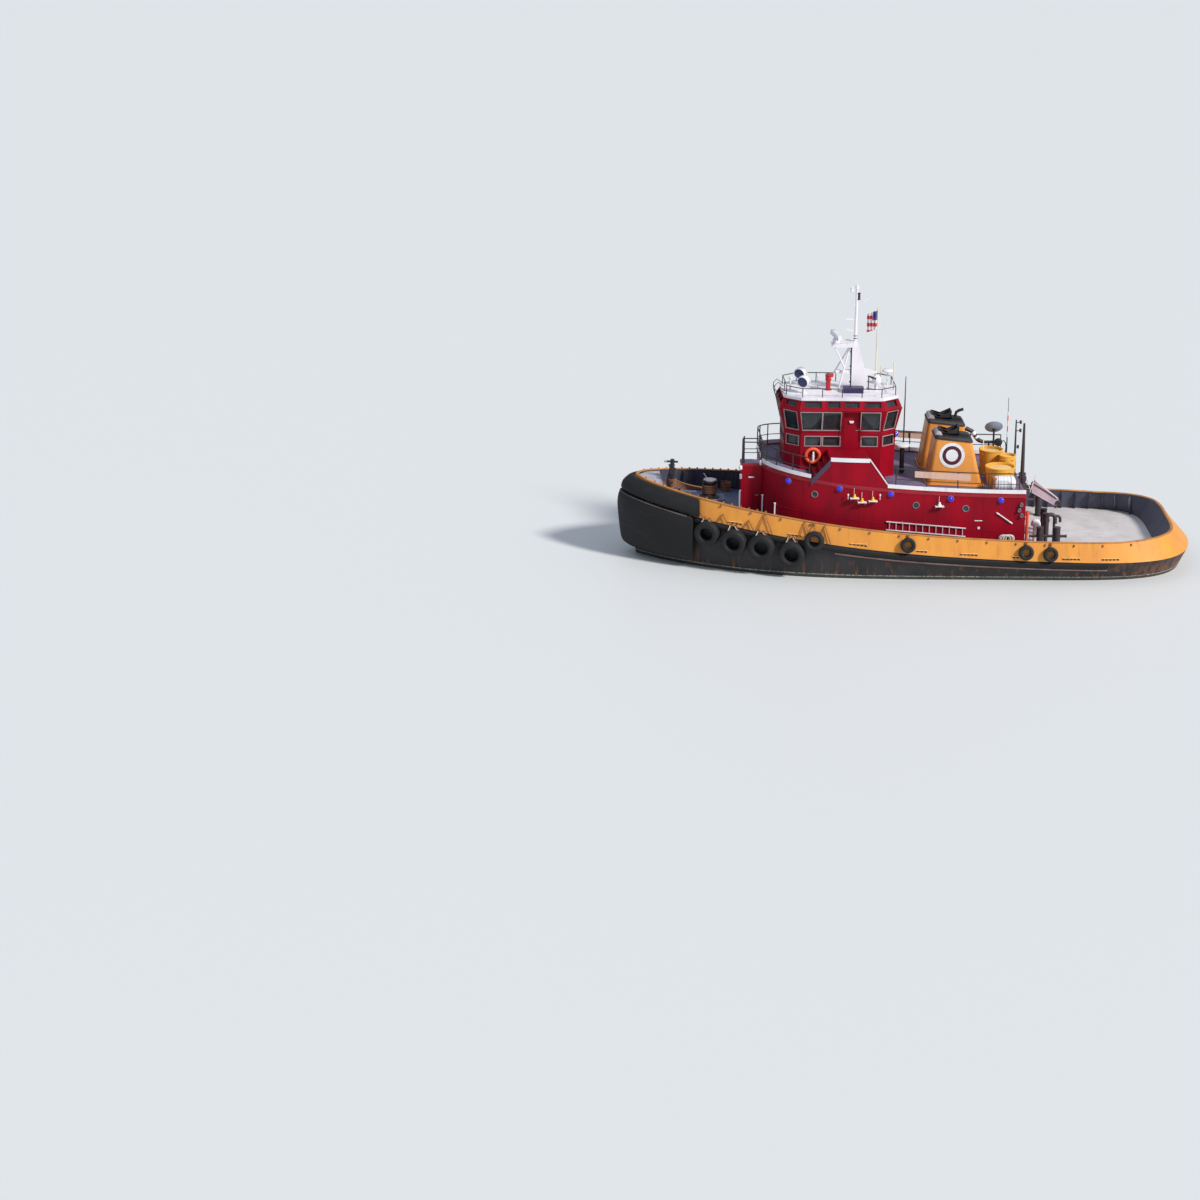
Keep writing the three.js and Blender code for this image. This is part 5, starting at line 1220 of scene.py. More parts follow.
PALE_ROPE = sea_paint("pale rope", (0.8, 0.74, 0.7), (0.6, 0.54, 0.5), stained=0.3, gloss=0.85)
HANK_X, HANK_Z = -4.03, 1.62
hank_t = np.linspace(0, 2 * math.pi * 5.5, 200)
hank_line = np.stack([HANK_X + 0.16 * (hank_t / math.pi / 5.5 - 1) + 0.2 * np.sin(hank_t),
                      HOUSE_HALF + 0.075 + 0.035 * np.cos(hank_t / 2),
                      HANK_Z + 0.06 - 0.17 * np.cos(hank_t)], -1)
HANK_PEGS = [tube([(HANK_X + d, HOUSE_HALF, HANK_Z + 0.2),
                   (HANK_X + d, HOUSE_HALF + 0.15, HANK_Z + 0.22)],
                  0.016, 8) for d in (-0.2, 0.0, 0.2)]
piece("rope_hank_pegs", joined(HANK_PEGS), SHIP_WHITE)
hank_piece = piece("rope_hank", tube(hank_line, 0.024, 8), PALE_ROPE, smooth=70)

# Coil and pipes of the foredeck. A stacked coil of brown rope lies by the starboard side, and
# grey pipes with white lamps stand at the vestibule's fore end.
COIL_X, COIL_Y, COIL_TURNS = 7.8, -2.78, 6
coil_a = np.linspace(0, 2 * math.pi * COIL_TURNS, 200)
coil_reach = 0.2 + 0.012 * np.sin(coil_a * 0.37)
coil = np.stack([COIL_X + coil_reach * np.cos(coil_a), COIL_Y + coil_reach * np.sin(coil_a),
                 float(deck_z(COIL_X)) + 0.04 + 0.058 * coil_a / (2 * math.pi)], -1)
coil_piece = piece("foredeck_coil", laid_rope(coil), HAWSER, smooth=80)
piece("vestibule_pipes", joined([
    tube([(7.57, 1.33, 2.2), (7.57, 1.33, 3.16), (7.53, 1.3, 3.22)], 0.04, 12),
    block((7.49, 1.24, 3.72), (7.6, 1.36, 3.95), 0.02),
]), PALE_GREY)
lamp_profile = turned([(0, 0), (0.075, 0), (0.08, 0.03), (0.075, 0.13), (0.05, 0.17), (0, 0.18)],
                      20)
piece("vestibule_lamps", joined([
    set_at(lamp_profile, [7.56, 1.34, 4.17]),
    (lamp_profile[0] * [0.8, 0.8, 1.1] + [6.68, 1.36, 4.4], lamp_profile[1]),
    tube([(6.68, 1.28, 4.36), (6.68, 1.36, 4.38), (6.68, 1.36, 4.42)], 0.02, 8),
]), SHIP_WHITE)

# Boat deck and side landings. Welded plate: a slate walking surface with worn patches and
# crimson edges, and landings crimson all over.


def walked_on(name, top, worn, edge):
    """Deck paint where the plate faces up, worn along the ways, and enamel on its edges."""
    m, t, bsdf = material(name)
    place = node(t, "TexCoord")
    facing = node(t, "SeparateXYZ", Vector=place.outputs["Normal"]).outputs[2]
    patches = speckle(t, 1.6, (1, 1, 1), 6.0, 0.6)
    fine = speckle(t, 30.0, (1, 1, 1), 6.0)
    deck = blended(t, ramped(t, patches, 0.38, 0.66), top, worn)
    rusty = ramped(t, speckle(t, 3.1, (1, 1, 1), 8.0, 0.7), 0.63, 0.72, 0, 0.6)
    deck = blended(t, rusty, deck, (0.2, 0.08, 0.06))
    enamel = blended(t, ramped(t, patches, 0.35, 0.7), edge, [k * 0.7 for k in edge])
    t.links.new(blended(t, ramped(t, facing, 0.7, 0.85), enamel, deck),
                bsdf.inputs["Base Color"])
    t.links.new(ramped(t, fine, 0.2, 0.8, 0.5, 0.8), bsdf.inputs["Roughness"])
    bumped(t, bsdf, fine, 0.004, 0.5)
    return m


SLATE_DECK = walked_on("slate deck", (0.1, 0.085, 0.16), (0.17, 0.135, 0.22), (0.31, 0.002, 0.014))
finish_nodes(SLATE_DECK, "boat_deck")
finish_nodes(CRIMSON, "landing_port", "landing_starboard")

# Coaming. A white flat bar stands along the boat deck's edge on a crimson foot, from the after
# corner to the landing and from the landing round the sweep to the vestibule.
COAMING_TOP, COAMING_FOOT, COAMING_OUT = 0.22, 0.05, 0.025
COAMING_AFT_END, COAMING_FORE_START = 1.29, 4.62


def coaming_run(x, degrees, low, high):
    """The bar's section along a straight run, or along the sweep where angles are given."""
    if degrees is None:
        outer = np.stack([x, np.full_like(x, HOUSE_HALF + COAMING_OUT)], -1)
        inner = outer - [0, 0.03]
    else:
        outer = np.stack(sweep_at(degrees, -COAMING_OUT), -1)
        inner = np.stack(sweep_at(degrees, 0.005), -1)
    z = boat_deck_z(outer[:, 0])
    grid = [np.column_stack([p, z + k]) for p, k in
            ((outer, low), (outer, high), (inner, high), (inner, low))]
    return skinned(np.stack(grid, axis=1), wrap_columns=True, caps=True)


side_x = np.linspace(HOUSE_AFT + 0.005, COAMING_AFT_END, 12)
sweep_share = (COAMING_FORE_START - SWEEP_FROM) / (NOSE_X - SWEEP_FROM)
sweep_from = math.degrees(math.asin(sweep_share ** 1.3))
sweep_degrees = np.linspace(sweep_from, 90, 30)
for name, low, high, finish, slot_name in (
        ("coaming_bar", COAMING_FOOT, COAMING_TOP, SHIP_WHITE, "white"),
        ("coaming_foot", 0.0003, COAMING_FOOT, CRIMSON, "crimson")):
    front_z = float(boat_deck_z(NOSE_X))
    front = prism([(NOSE_X - 0.003, -1.325), (NOSE_X + 0.015, -1.325), (NOSE_X + 0.015, 0.595),
                   (NOSE_X - 0.003, 0.595)], front_z + low, front_z + high)
    runs = joined([coaming_run(side_x, None, low, high),
                   coaming_run(None, sweep_degrees, low, high)])
    piece(name, joined([both_sides(runs), front]), finish)

# Railings of the boat deck. Black welded pipe: posts with small foot plates, a thick top rail
# and a thinner middle one, in a run on each side and round the fore end. The jackstaff stands
# at the vestibule's fore corner.
RAIL_TOP, POST_R, MID_R = 0.94, 0.025, 0.018
SIDE_POSTS = (-4.5, -3.14, -1.78, -0.42, 0.94)
SWEEP_POSTS = (33, 45, 60, 75, 90)
BOX_RAIL = [(NOSE_X, WAIST), (VESTIBULE_X - 0.07, WAIST - 0.03),
            (VESTIBULE_X - 0.07, BOX_INNER + 0.03), (NOSE_X, BOX_INNER)]


def over_deck(points, rise):
    """Points in plan, set at a height over the boat deck."""
    return np.array([(x, y, float(boat_deck_z(x)) + rise) for x, y in points])


def deck_railing(posts, line=None):
    """Posts at points in plan, and rails along a line through them."""
    line = posts if line is None else line
    out = [tube(np.stack([p, p + [0, 0, RAIL_TOP / 2], p + [0, 0, RAIL_TOP]]), POST_R, 10)
           for p in over_deck(posts, 0.0)]
    out += [placed(turned([(0, 0.0004), (0.055, 0.0004), (0.05, 0.012), (0, 0.012)], 14), p)
            for p in over_deck(posts, 0.0)]
    return out + [tube(over_deck(line, RAIL_TOP), POST_R, 10),
                  tube(over_deck(line, RAIL_TOP / 2), MID_R, 8)]


port_sweep = [tuple(map(float, sweep_at(a))) for a in SWEEP_POSTS]
sweep_line = list(zip(*map(list, sweep_at(np.linspace(SWEEP_POSTS[0], 90, 24)))))
rails = []
for s in (1, -1):
    rails += deck_railing([(x, s * HOUSE_HALF) for x in SIDE_POSTS])
    rails += deck_railing([(x, s * y) for x, y in port_sweep], [(x, s * y) for x, y in sweep_line])
for run in (BOX_RAIL, [(NOSE_X, WAIST), (NOSE_X, 0), (NOSE_X, -WAIST)]):
    fine_run = []
    for (x0, y0), (x1, y1) in zip(run, run[1:]):
        fine_run += [(x0 + (x1 - x0) * k, y0 + (y1 - y0) * k)
                     for k in (0.01, 0.03, 0.5, 0.97, 0.99)]
    rails += deck_railing(run, fine_run)
JACK_X, JACK_Y = 7.43, 1.23
jack_z = float(boat_deck_z(VESTIBULE_X))
rails += [tube([(JACK_X, JACK_Y, jack_z + k) for k in (0, 0.6, 1.2)], [0.05, 0.045, 0.03], 14),
          tube([(JACK_X, JACK_Y, jack_z + k) for k in (0, 0.05)], 0.08, 14)]
piece("boat_deck_railings", joined(rails), BLACK_COAT, smooth=50,
      replaces=("railing_port", "railing_starboard", "railing_fore"))

# Landing edges. A white flat bar makes a low kerb along the landing's outer edge and runs down
# its after slope, and a dark slate stringer plate carries the forward steps.
LANDING_Z, LANDING_AFT, LANDING_FORE = 5.15, 2.1, 3.8
KERB = 0.08                          # the band's top over the landing
STEPS_FOOT = (1.3, 4.12)
STRINGER_END = (4.6, 4.18)
DARK_SLATE = sea_paint("dark slate", (0.045, 0.035, 0.075), (0.075, 0.055, 0.11), stained=0.3,
                       gloss=0.6)


def edge_band(points, depth, proud):
    """A flat band that hangs from a line of points x, z on the house's outline."""
    rows = []
    for x, z in points:
        y, out = house_y(float(x))
        p = np.array([x, y, z])
        rows.append([p + out * 0.002, p + out * proud, p + out * proud - [0, 0, depth],
                     p + out * 0.002 - [0, 0, depth]])
    return skinned(np.array(rows), wrap_columns=True, caps=True)


top_line = [(x, LANDING_Z + KERB) for x in np.linspace(LANDING_AFT, LANDING_FORE, 16)]
slope_line = [(LANDING_AFT + (STEPS_FOOT[0] - LANDING_AFT) * k,
               LANDING_Z + KERB + (STEPS_FOOT[1] - LANDING_Z - KERB) * k)
              for k in np.linspace(0, 1, 6)]
fore_line = [(LANDING_FORE + (STRINGER_END[0] - LANDING_FORE) * k,
              LANDING_Z + (STRINGER_END[1] - LANDING_Z) * k) for k in np.linspace(0, 1, 10)]
piece("landing_edges", both_sides(joined([edge_band(top_line, 0.18, 0.02),
                                          edge_band(slope_line, 0.08, 0.018)])),
      SHIP_WHITE)
piece("landing_stringers", both_sides(edge_band(fore_line, 0.28, 0.05)), DARK_SLATE)

# Doors. Steel leaves with a beaded rim, three hinge lugs and a lever handle, crimson like the
# walls. Each rides on its own hinge. A white hood lamp is on each wheelhouse door.
LUG_SHARES = (0.12, 0.5, 0.88)


def door_leaf(width, height, opening):
    """A leaf from the hinge's far side at x = 0, outer face at y = 0.05, and its handle."""
    inset, t = 0.05, 0.05
    rim = np.array([(inset, t, inset), (width - inset, t, inset),
                    (width - inset, t, height - inset), (inset, t, height - inset)])
    leaf = [block((0, 0, 0), (width, t, height), 0.006),
            tube(rim - [0, 0.011, 0], 0.012, 6, closed=True)]
    for share in LUG_SHARES:
        z = share * opening - 0.006
        leaf.append(block((width - 0.09, t - 0.03, z - 0.04),
                          (width + 0.0056, t - 0.001, z + 0.04), 0.003))
        leaf.append(tube([(width - 0.012, t - 0.009, z - 0.045),
                          (width - 0.012, t - 0.009, z + 0.045)],
                         0.008, 8))
    handle = joined([tube([(0.07, t, height * 0.5), (0.07, t + 0.035, height * 0.5)], 0.014, 10),
                     tube([(0.07, t + 0.035, height * 0.5), (0.17, t + 0.037, height * 0.5)], 0.01,
                          8),
                     tube([(0.03, t + 0.002, height * 0.5), (0.03, t + 0.01, height * 0.53)],
                          0.016, 8)])
    return joined(leaf), handle


def moved(shape, turn, shift):
    """A shape turned by rows of a matrix and moved."""
    return shape[0] @ np.array(turn, float).T + shift, shape[1]


lamp_hood = prism([(-0.11, 0.05), (0.11, 0.05), (0.075, -0.05), (-0.075, -0.05)], 0, 0.075, 0.012,
                  axis=1)
wide, fore_aft = np.eye(3), [[0, -1, 0], [1, 0, 0], [0, 0, 1]]
for body, hides, size, turn, shift, mirror in (
        ("wheelhouse_door_port", "wheelhouse_door_port", (0.708, 1.708, 1.72), wide,
         (2.406, 1.435, 5.156), 1),
        ("wheelhouse_door_starboard", "wheelhouse_door_starboard", (0.708, 1.708, 1.72), wide,
         (2.406, 1.435, 5.156), -1),
        ("vestibule_door", "vestibule_door", (0.688, 1.688, 1.7), wide, (6.706, 1.255, 2.156), 1),
        ("house_door_aft", "house_door_aft", (0.688, 1.838, 1.85), fore_aft,
         (-4.755, 1.356, 1.222), 1)):
    leaf, handle = door_leaf(*size)
    for label, shape, finish, slot_name, gone in (
            ("leaf", leaf, CRIMSON, "crimson", (hides,)),
            ("handle", handle, BARE_STEEL, "aluminium", ())):
        points, faces = moved(shape, turn, shift)
        piece(f"{body}_{label}", (points * [1, mirror, 1], faces), finish, body=body,
              replaces=gone)
    if body.startswith("wheelhouse"):
        points, faces = moved(lamp_hood, wide, (2.77, 1.484, 6.39))
        piece(f"{body}_lamp", (points * [1, mirror, 1], faces), SHIP_WHITE, body=body)

# Wheelhouse. Crimson plate that leans out over its sill and back in under the eaves. Each
# window has a raised frame bedded round it, pale but for the eyebrow row, and dark glass behind.
WH_AFT, WH_FORE, WH_HALF = 0.77, 5.65, 1.5
CHAMFER_X, CHAMFER_Y = 0.68, 0.55
SILL_Z, KNEE_Z, EAVES_Z, ROOF_Z = 5.9, 6.94, 7.35, 7.48
KNEE_OUT, EAVES_OUT = 0.25, 0.06
finish_nodes(CRIMSON, "wheelhouse_front", "wheelhouse_aft", "wheelhouse_side_port",
             "wheelhouse_side_starboard")
WINDOW_GLASS = dark_glass("tinted window glass", (0.02, 0.028, 0.032), 0.25)
finish_nodes(WINDOW_GLASS, "glass_front", "glass_aft")
FLOOR_GREY = sea_paint("wheelhouse floor", (0.22, 0.22, 0.24), (0.16, 0.16, 0.18), stained=0.1,
                       gloss=0.6)
finish_nodes(FLOOR_GREY, "wheelhouse_floor")
FRAME_COAT = sea_paint("window frame", (0.4, 0.3, 0.31), (0.27, 0.17, 0.18), stained=0.3,
                       chipped=0.4, gloss=0.6)
# Window rows: heights, the side windows as after edge, fore edge at the foot and at the head,
# and the widths of the end windows and of the corner ones
WINDOW_ROWS = [
    ((6.02, 6.85), [(4.09, 4.9, 5.02), (3.26, 4.03, 4.03), (1.53, 2.35, 2.35)], 0.54, 0.64),
    ((5.31, 5.71), [(4.1, 4.78, 4.78), (3.26, 3.99, 3.99), (1.62, 2.3, 2.3)], 0.52, 0.62),
    ((7.06, 7.3), [(4.12, 4.86, 4.86), (3.3, 3.85, 3.85), (2.46, 3.07, 3.07), (1.5, 2.2, 2.2)],
     0.5, 0.6),
]
END_WINDOWS = (-0.62, 0.0, 0.62)


def lean_out(z):
    """How far the wall stands out from its sill at a height, straight between its edges."""
    return np.interp(z, [SILL_Z, KNEE_Z, EAVES_Z], [0, KNEE_OUT, EAVES_OUT])


def on_wall(face, s, z):
    """A point on an outer face of the wheelhouse, s along it, at height z."""
    out = lean_out(z)
    if face == "side":
        return np.array([s, WH_HALF + out, z])
    if face == "front":
        return np.array([WH_FORE + out, s, z])
    if face == "aft":
        return np.array([WH_AFT - out, s, z])
    sign = 1 if face == "fore corner" else -1
    end = WH_FORE if sign > 0 else WH_AFT
    along = np.array([-sign * CHAMFER_X, CHAMFER_Y]) / math.hypot(CHAMFER_X, CHAMFER_Y)
    across = np.array([sign * CHAMFER_Y, CHAMFER_X]) / math.hypot(CHAMFER_X, CHAMFER_Y)
    middle = np.array([end - sign * CHAMFER_X / 2, WH_HALF - CHAMFER_Y / 2])
    reach = 0.75 * out * (CHAMFER_X + CHAMFER_Y) / math.hypot(CHAMFER_X, CHAMFER_Y)
    return np.array([*(middle + along * s + across * reach), z])


def window_frame(face, aft, foot, head, low, high, width=0.036, deep=0.016):
    """A raised frame round an opening: its edge's four sides, from the wall out."""
    inner = [(aft, low), (foot, low), (head, high), (aft, high)]
    middle = np.mean(inner, axis=0)
    span = np.abs(np.array(inner) - middle).max(axis=0)
    outer = [tuple(middle + (np.array(p) - middle) * (1 + width / span)) for p in inner]
    at = [np.array([on_wall(face, s, z) for s, z in ring_points])
          for ring_points in (inner, outer)]
    n = np.cross(at[0][1] - at[0][0], at[0][3] - at[0][0])
    n /= np.linalg.norm(n)
    away = at[0].mean(axis=0) - [(WH_AFT + WH_FORE) / 2, 0, at[0][0][2]]
    if face == "side":
        away = away * [0.3, 1, 0]
    n *= math.copysign(1, n @ away)
    grid = np.stack([at[0] - n * 0.02, at[0] + n * deep, at[1] + n * deep, at[1] + n * 0.0005])
    return skinned(grid, wrap_rows=True, wrap_columns=True)


pale_frames, red_frames = [], []
for (low, high), sides, end_width, corner_width in WINDOW_ROWS:
    frames = red_frames if low > KNEE_Z else pale_frames
    for aft, foot, head in sides:
        frames.append(both_sides(window_frame("side", aft, foot, head, low, high)))
    for face in ("fore corner", "aft corner"):
        w = corner_width / 2
        frames.append(both_sides(window_frame(face, -w, w, w, low, high)))
    for face in ("front", "aft"):
        for y in END_WINDOWS:
            w = end_width / 2
            frames.append(window_frame(face, y - w, y + w, y + w, low, high))
piece("window_frames", joined(pale_frames), FRAME_COAT, smooth=20)
piece("eyebrow_window_frames", joined(red_frames), CRIMSON, smooth=20)

# Wheelhouse seams and grab rails. Beads run down the corners of the octagon and round the sill
# and the knee. A pipe grab rail is at each side of the wheelhouse door.


def octagon_ring(out, z):
    """The octagon's corners drawn out by a distance."""
    a, f, h = WH_AFT - out, WH_FORE + out, WH_HALF + out
    cx, cy = CHAMFER_X + out / 2, CHAMFER_Y + out / 2
    return np.array([(f, -h + cy, z), (f, h - cy, z), (f - cx, h, z), (a + cx, h, z),
                     (a, h - cy, z), (a, -h + cy, z), (a + cx, -h, z), (f - cx, -h, z)])


sill = octagon_ring(0.002, SILL_Z)
side_y = sill[2, 1]
beads = [tube(octagon_ring(lean_out(KNEE_Z) + 0.002, KNEE_Z), 0.012, 6, closed=True),
         tube([(3.145, -side_y, SILL_Z), *sill[[7, 0, 1, 2]], (3.145, side_y, SILL_Z)], 0.012, 6),
         tube([(2.375, side_y, SILL_Z), *sill[3:7], (2.375, -side_y, SILL_Z)], 0.012, 6)]
levels = [octagon_ring(lean_out(z) + 0.002, z) for z in (5.16, SILL_Z, KNEE_Z, EAVES_Z)]
beads += [tube([level[k] for level in levels], 0.01, 6) for k in range(8)]
piece("wheelhouse_seams", joined(beads), CRIMSON)
grabs = []
for x in (2.3, 3.2):
    grabs.append(tube([(x, WH_HALF, 5.62), (x, WH_HALF + 0.09, 5.64), (x, WH_HALF + 0.1, 6.2),
                       (x, WH_HALF + 0.1, 6.26)], 0.016, 8))
piece("wheelhouse_grab_rails", both_sides(joined(grabs)), CRIMSON)

# Life ring. A moulded red-orange ring in a bent bracket on the wheelhouse side, with a white
# self-lighting lamp hung in its middle.
LIFE_X, LIFE_Y, LIFE_Z, LIFE_R, LIFE_TUBE = 4.43, 1.568, 4.87, 0.3, 0.075
RING_RED = sea_paint("life ring red", (0.85, 0.1, 0.03), (0.7, 0.075, 0.03), stained=0.25,
                     gloss=0.6, grain=0.003)
life_at = np.array([LIFE_X, LIFE_Y, LIFE_Z])
body_ring = ring(LIFE_R, LIFE_TUBE, 18, 48)
piece("life_ring_body", set_at(body_ring, life_at), RING_RED,
      replaces=("life_ring",))
lamp = [tube([(-0.02, 0.03, -0.24), (-0.02, 0.03, 0.02), (-0.02, 0.03, 0.1)], [0.05, 0.055, 0.035],
             16),
        placed(turned([(0, 0), (0.045, 0.01), (0.05, 0.05), (0.03, 0.09), (0, 0.1)], 16),
               (-0.02, 0.03, 0.09))]
lamp = joined(lamp)
piece("life_ring_lamp", set_at(lamp, life_at), SHIP_WHITE)
piece("life_ring_bracket", joined([
    tube([life_at + [k, -0.066, -0.33], life_at + [k, 0.03, -0.39], life_at + [k, 0.09, -0.36]],
         0.012, 8) for k in (-0.14, 0.14)]), BLACK_COAT)

# Wheelhouse roof. White plate, streaked grey and worn to lavender, with a thin black pipe rail
# on short posts just inside its edge. A red sleeve carries the fire monitor.
ROOF_WHITE = sea_paint("roof white", (0.82, 0.8, 0.82), (0.66, 0.62, 0.72),
                       stain=(0.42, 0.36, 0.5), stained=0.45, chipped=0.25, gloss=0.5)
finish_nodes(ROOF_WHITE, "wheelhouse_roof")
RAIL_UP, ROOF_STEP = 0.38, 0.9
ring_line = octagon_ring(-0.04, ROOF_Z)
roof_rails = [tube(ring_line + [0, 0, RAIL_UP], 0.02, 8, closed=True)]
for a, b in zip(ring_line, np.roll(ring_line, -1, axis=0)):
    parts = max(1, round(float(np.linalg.norm(b - a)) / ROOF_STEP))
    for k in range(parts):
        p = a + (b - a) * k / parts
        roof_rails.append(tube(np.stack([p, p + [0, 0, RAIL_UP / 2], p + [0, 0, RAIL_UP]]), 0.02,
                               8))
piece("roof_railing", joined(roof_rails), BLACK_COAT, replaces=("roof_rail",))
GEAR_RED = sea_paint("fire gear red", (0.5, 0.012, 0.02), (0.38, 0.012, 0.02), stained=0.3,
                     gloss=0.4)
NAVY = sea_paint("navy enamel", (0.02, 0.012, 0.07), (0.035, 0.022, 0.1), stained=0.15,
                 gloss=0.35)
MONITOR_AT = np.array([3.7, 0.1, 7.95])
piece("monitor_sleeve", joined([
    tube([(*MONITOR_AT[:2], z) for z in (ROOF_Z + 0.0004, 7.7, 7.94)], 0.105, 24),
    placed(turned([(0, 0.0004), (0.17, 0.0004), (0.17, 0.025), (0.12, 0.04), (0, 0.04)], 28),
           (*MONITOR_AT[:2], ROOF_Z)),
    placed(turned([(0, 0), (0.14, 0), (0.14, 0.02), (0, 0.02)], 28), (*MONITOR_AT[:2], 7.92)),
]), GEAR_RED)
monitor = joined([
    tube([(0, 0, 0.0004), (0, 0, 0.12), (0, 0, 0.26)], [0.115, 0.1, 0.1], 24),
    placed(turned([(0, 0.0004), (0.14, 0.0004), (0.14, 0.02), (0, 0.02)], 28), (0, 0, 0)),
    tube([(0, 0, 0.2), (-0.02, 0.11, 0.235), (-0.06, 0.33, 0.27)], [0.09, 0.08, 0.066], 20),
    tube([(-0.055, 0.3, 0.265), (-0.07, 0.4, 0.285), (-0.085, 0.48, 0.3)], [0.075, 0.08, 0.095],
         20),
    placed(ring(0.1, 0.01, 6, 24), (0.12, 0, 0.17), out=(1, 0, 0)),
    tube([(0.05, 0, 0.17), (0.12, 0, 0.17)], 0.014, 8),
])
piece("monitor_turning_head", set_at(monitor, MONITOR_AT), GEAR_RED,
      body="monitor", replaces=("monitor_head",))

# Searchlights. Spun white drums on forked stalks, with dark blue lenses. Each pans on its own
# pedestal, and both are drawn facing the camera's side, as they stood.
LIGHT_X, LIGHT_Y, LIGHT_Z, TILT, HEADING = 4.83, 0.75, 8.05, 100, 62
NAVY_GLASS = dark_glass("searchlight lens", (0.012, 0.02, 0.075), 0.0)
drum = turned([(0, -0.235), (0.07, -0.232), (0.13, -0.205), (0.17, -0.15), (0.215, -0.1),
               (0.235, -0.03), (0.245, 0.04), (0.255, 0.06), (0.255, 0.2), (0.247, 0.226),
               (0.228, 0.226), (0.222, 0.19), (0, 0.19)], 40)
lens = turned([(0, 0.1905), (0.221, 0.1905), (0.205, 0.208), (0.12, 0.224), (0, 0.23)], 36)
turn = np.array(Matrix.Rotation(math.radians(HEADING), 3, "Z")
                @ Matrix.Rotation(math.radians(TILT), 3, "Y"))
level_axis = turn @ [0, 1, 0]
fork = [tube([(0, 0, -0.2897), (0, 0, -0.26)], 0.055, 20)]
for s in (1, -1):
    p = level_axis * s * 0.275
    fork.append(tube([(0, 0, -0.27), p * 0.9 + [0, 0, -0.26], p + [0, 0, -0.2], p], 0.018, 8))
    fork.append(tube([p - level_axis * s * 0.03, p + level_axis * s * 0.02], 0.035, 12))
for label, y in (("port", LIGHT_Y), ("starboard", -LIGHT_Y)):
    at = np.array([LIGHT_X, y, LIGHT_Z])
    rides = f"searchlight_{label}"
    shape = joined([(drum[0] @ turn.T, drum[1]), *fork])
    piece(f"{rides}_drum", set_at(shape, at), SHIP_WHITE, body=rides,
          replaces=(rides,))
    piece(f"{rides}_lens", (lens[0] @ turn.T + at, lens[1]), NAVY_GLASS, body=rides)
    piece(f"{rides}_pedestal", joined([
        tube([(LIGHT_X, y, ROOF_Z + 0.0004), (LIGHT_X, y, 7.62), (LIGHT_X, y, 7.7595)],
             [0.07, 0.06, 0.058], 20),
        placed(turned([(0, 0.0004), (0.14, 0.0004), (0.14, 0.02), (0.1, 0.045), (0, 0.045)], 28),
               (LIGHT_X, y, ROOF_Z))]), SHIP_WHITE)

# Mast. White welded plate with a raked fore edge, a navy cable trunk up its fore edge, a platform
# on slanted tubes, and a round topmast with its arms and lamps. The trunk's dark navy is partly
# painted shade, for the shaded fore edge of the mast.
MAST_WHITE = sea_paint("mast white", (0.82, 0.79, 0.82), (0.7, 0.66, 0.72), stained=0.25,
                       chipped=0.25, gloss=0.4)
finish_nodes(MAST_WHITE, "mast")
POLE_X = 2.565
# Partly painted shade: the dark navy strip stands for the shaded fore edge as well as a trunk.
trunk_line = [(2.72, 7.5), (2.735, 8.2), (2.755, 9.42), (2.7, 9.42), (2.682, 8.2), (2.682, 7.5)]
piece("mast_cable_trunk_and_edge_shade", joined([prism(trunk_line, -0.05, 0.05, 0.006, axis=1),
                                  *[block((2.69, -0.07, z), (2.77, 0.07, z + 0.05), 0.004)
                                    for z in (7.8, 8.5, 9.15)]]), NAVY)
lamps_black, lamps_white = [], []
for x, y, z, high, held in ((2.48, 0, 11.53, 0.3, lamps_black),
                            (POLE_X, 0.0, 9.78, 0.14, lamps_black),
                            (2.8, 0, 11.9, 0.17, lamps_white)):
    r = 0.085 if held is lamps_black else 0.075
    held.append(placed(turned([(0, 0), (r, 0), (r, 0.02), (r * 0.8, 0.03), (r * 0.8, high - 0.03),
                               (r, high - 0.02), (r, high), (0, high + 0.02)], 20), (x, y, z)))
lamps_white += [tube([(POLE_X, 0, 10.13), (2.75, 0, 10.13), (2.97, 0, 10.16)], 0.03, 8),
                tube([(2.66, 0, 11.25), (2.7, 0, 11.3), (2.7, 0, 11.45)], 0.03, 8),
                tube([(POLE_X, 0, 11.88), (2.7, 0, 11.88), (2.82, 0, 11.88)], 0.018, 8),
                tube([(POLE_X, 0, 12.1), (POLE_X, 0, 12.3), (POLE_X, 0, 12.42)],
                     [0.012, 0.01, 0.006], 8),
                tube([(2.55, 0.0, 11.08), (2.25, 0, 11.4), (1.93, 0, 11.75)], 0.022, 8)]
lamps_black += [tube([(POLE_X, 0, 11.53), (2.48, 0, 11.53)], 0.02, 8)]
piece("mast_lamps_black", joined(lamps_black), BLACK_COAT)
piece("mast_lamps_white", joined(lamps_white), SHIP_WHITE)
stays = []
for y in (0.26, -0.26):
    stays.append(tube([(2.66, y, 9.66), (3.1, y, 9.68), (3.55, y, 9.6)], 0.014, 6))
    stays += [tube([(x, y, z), (x, y, 9.64 + 0.02)], 0.012, 6) for x,
              z in ((2.9, 9.6), (3.4, 9.56))]
piece("mast_platform_edges", joined(stays), SHIP_WHITE)
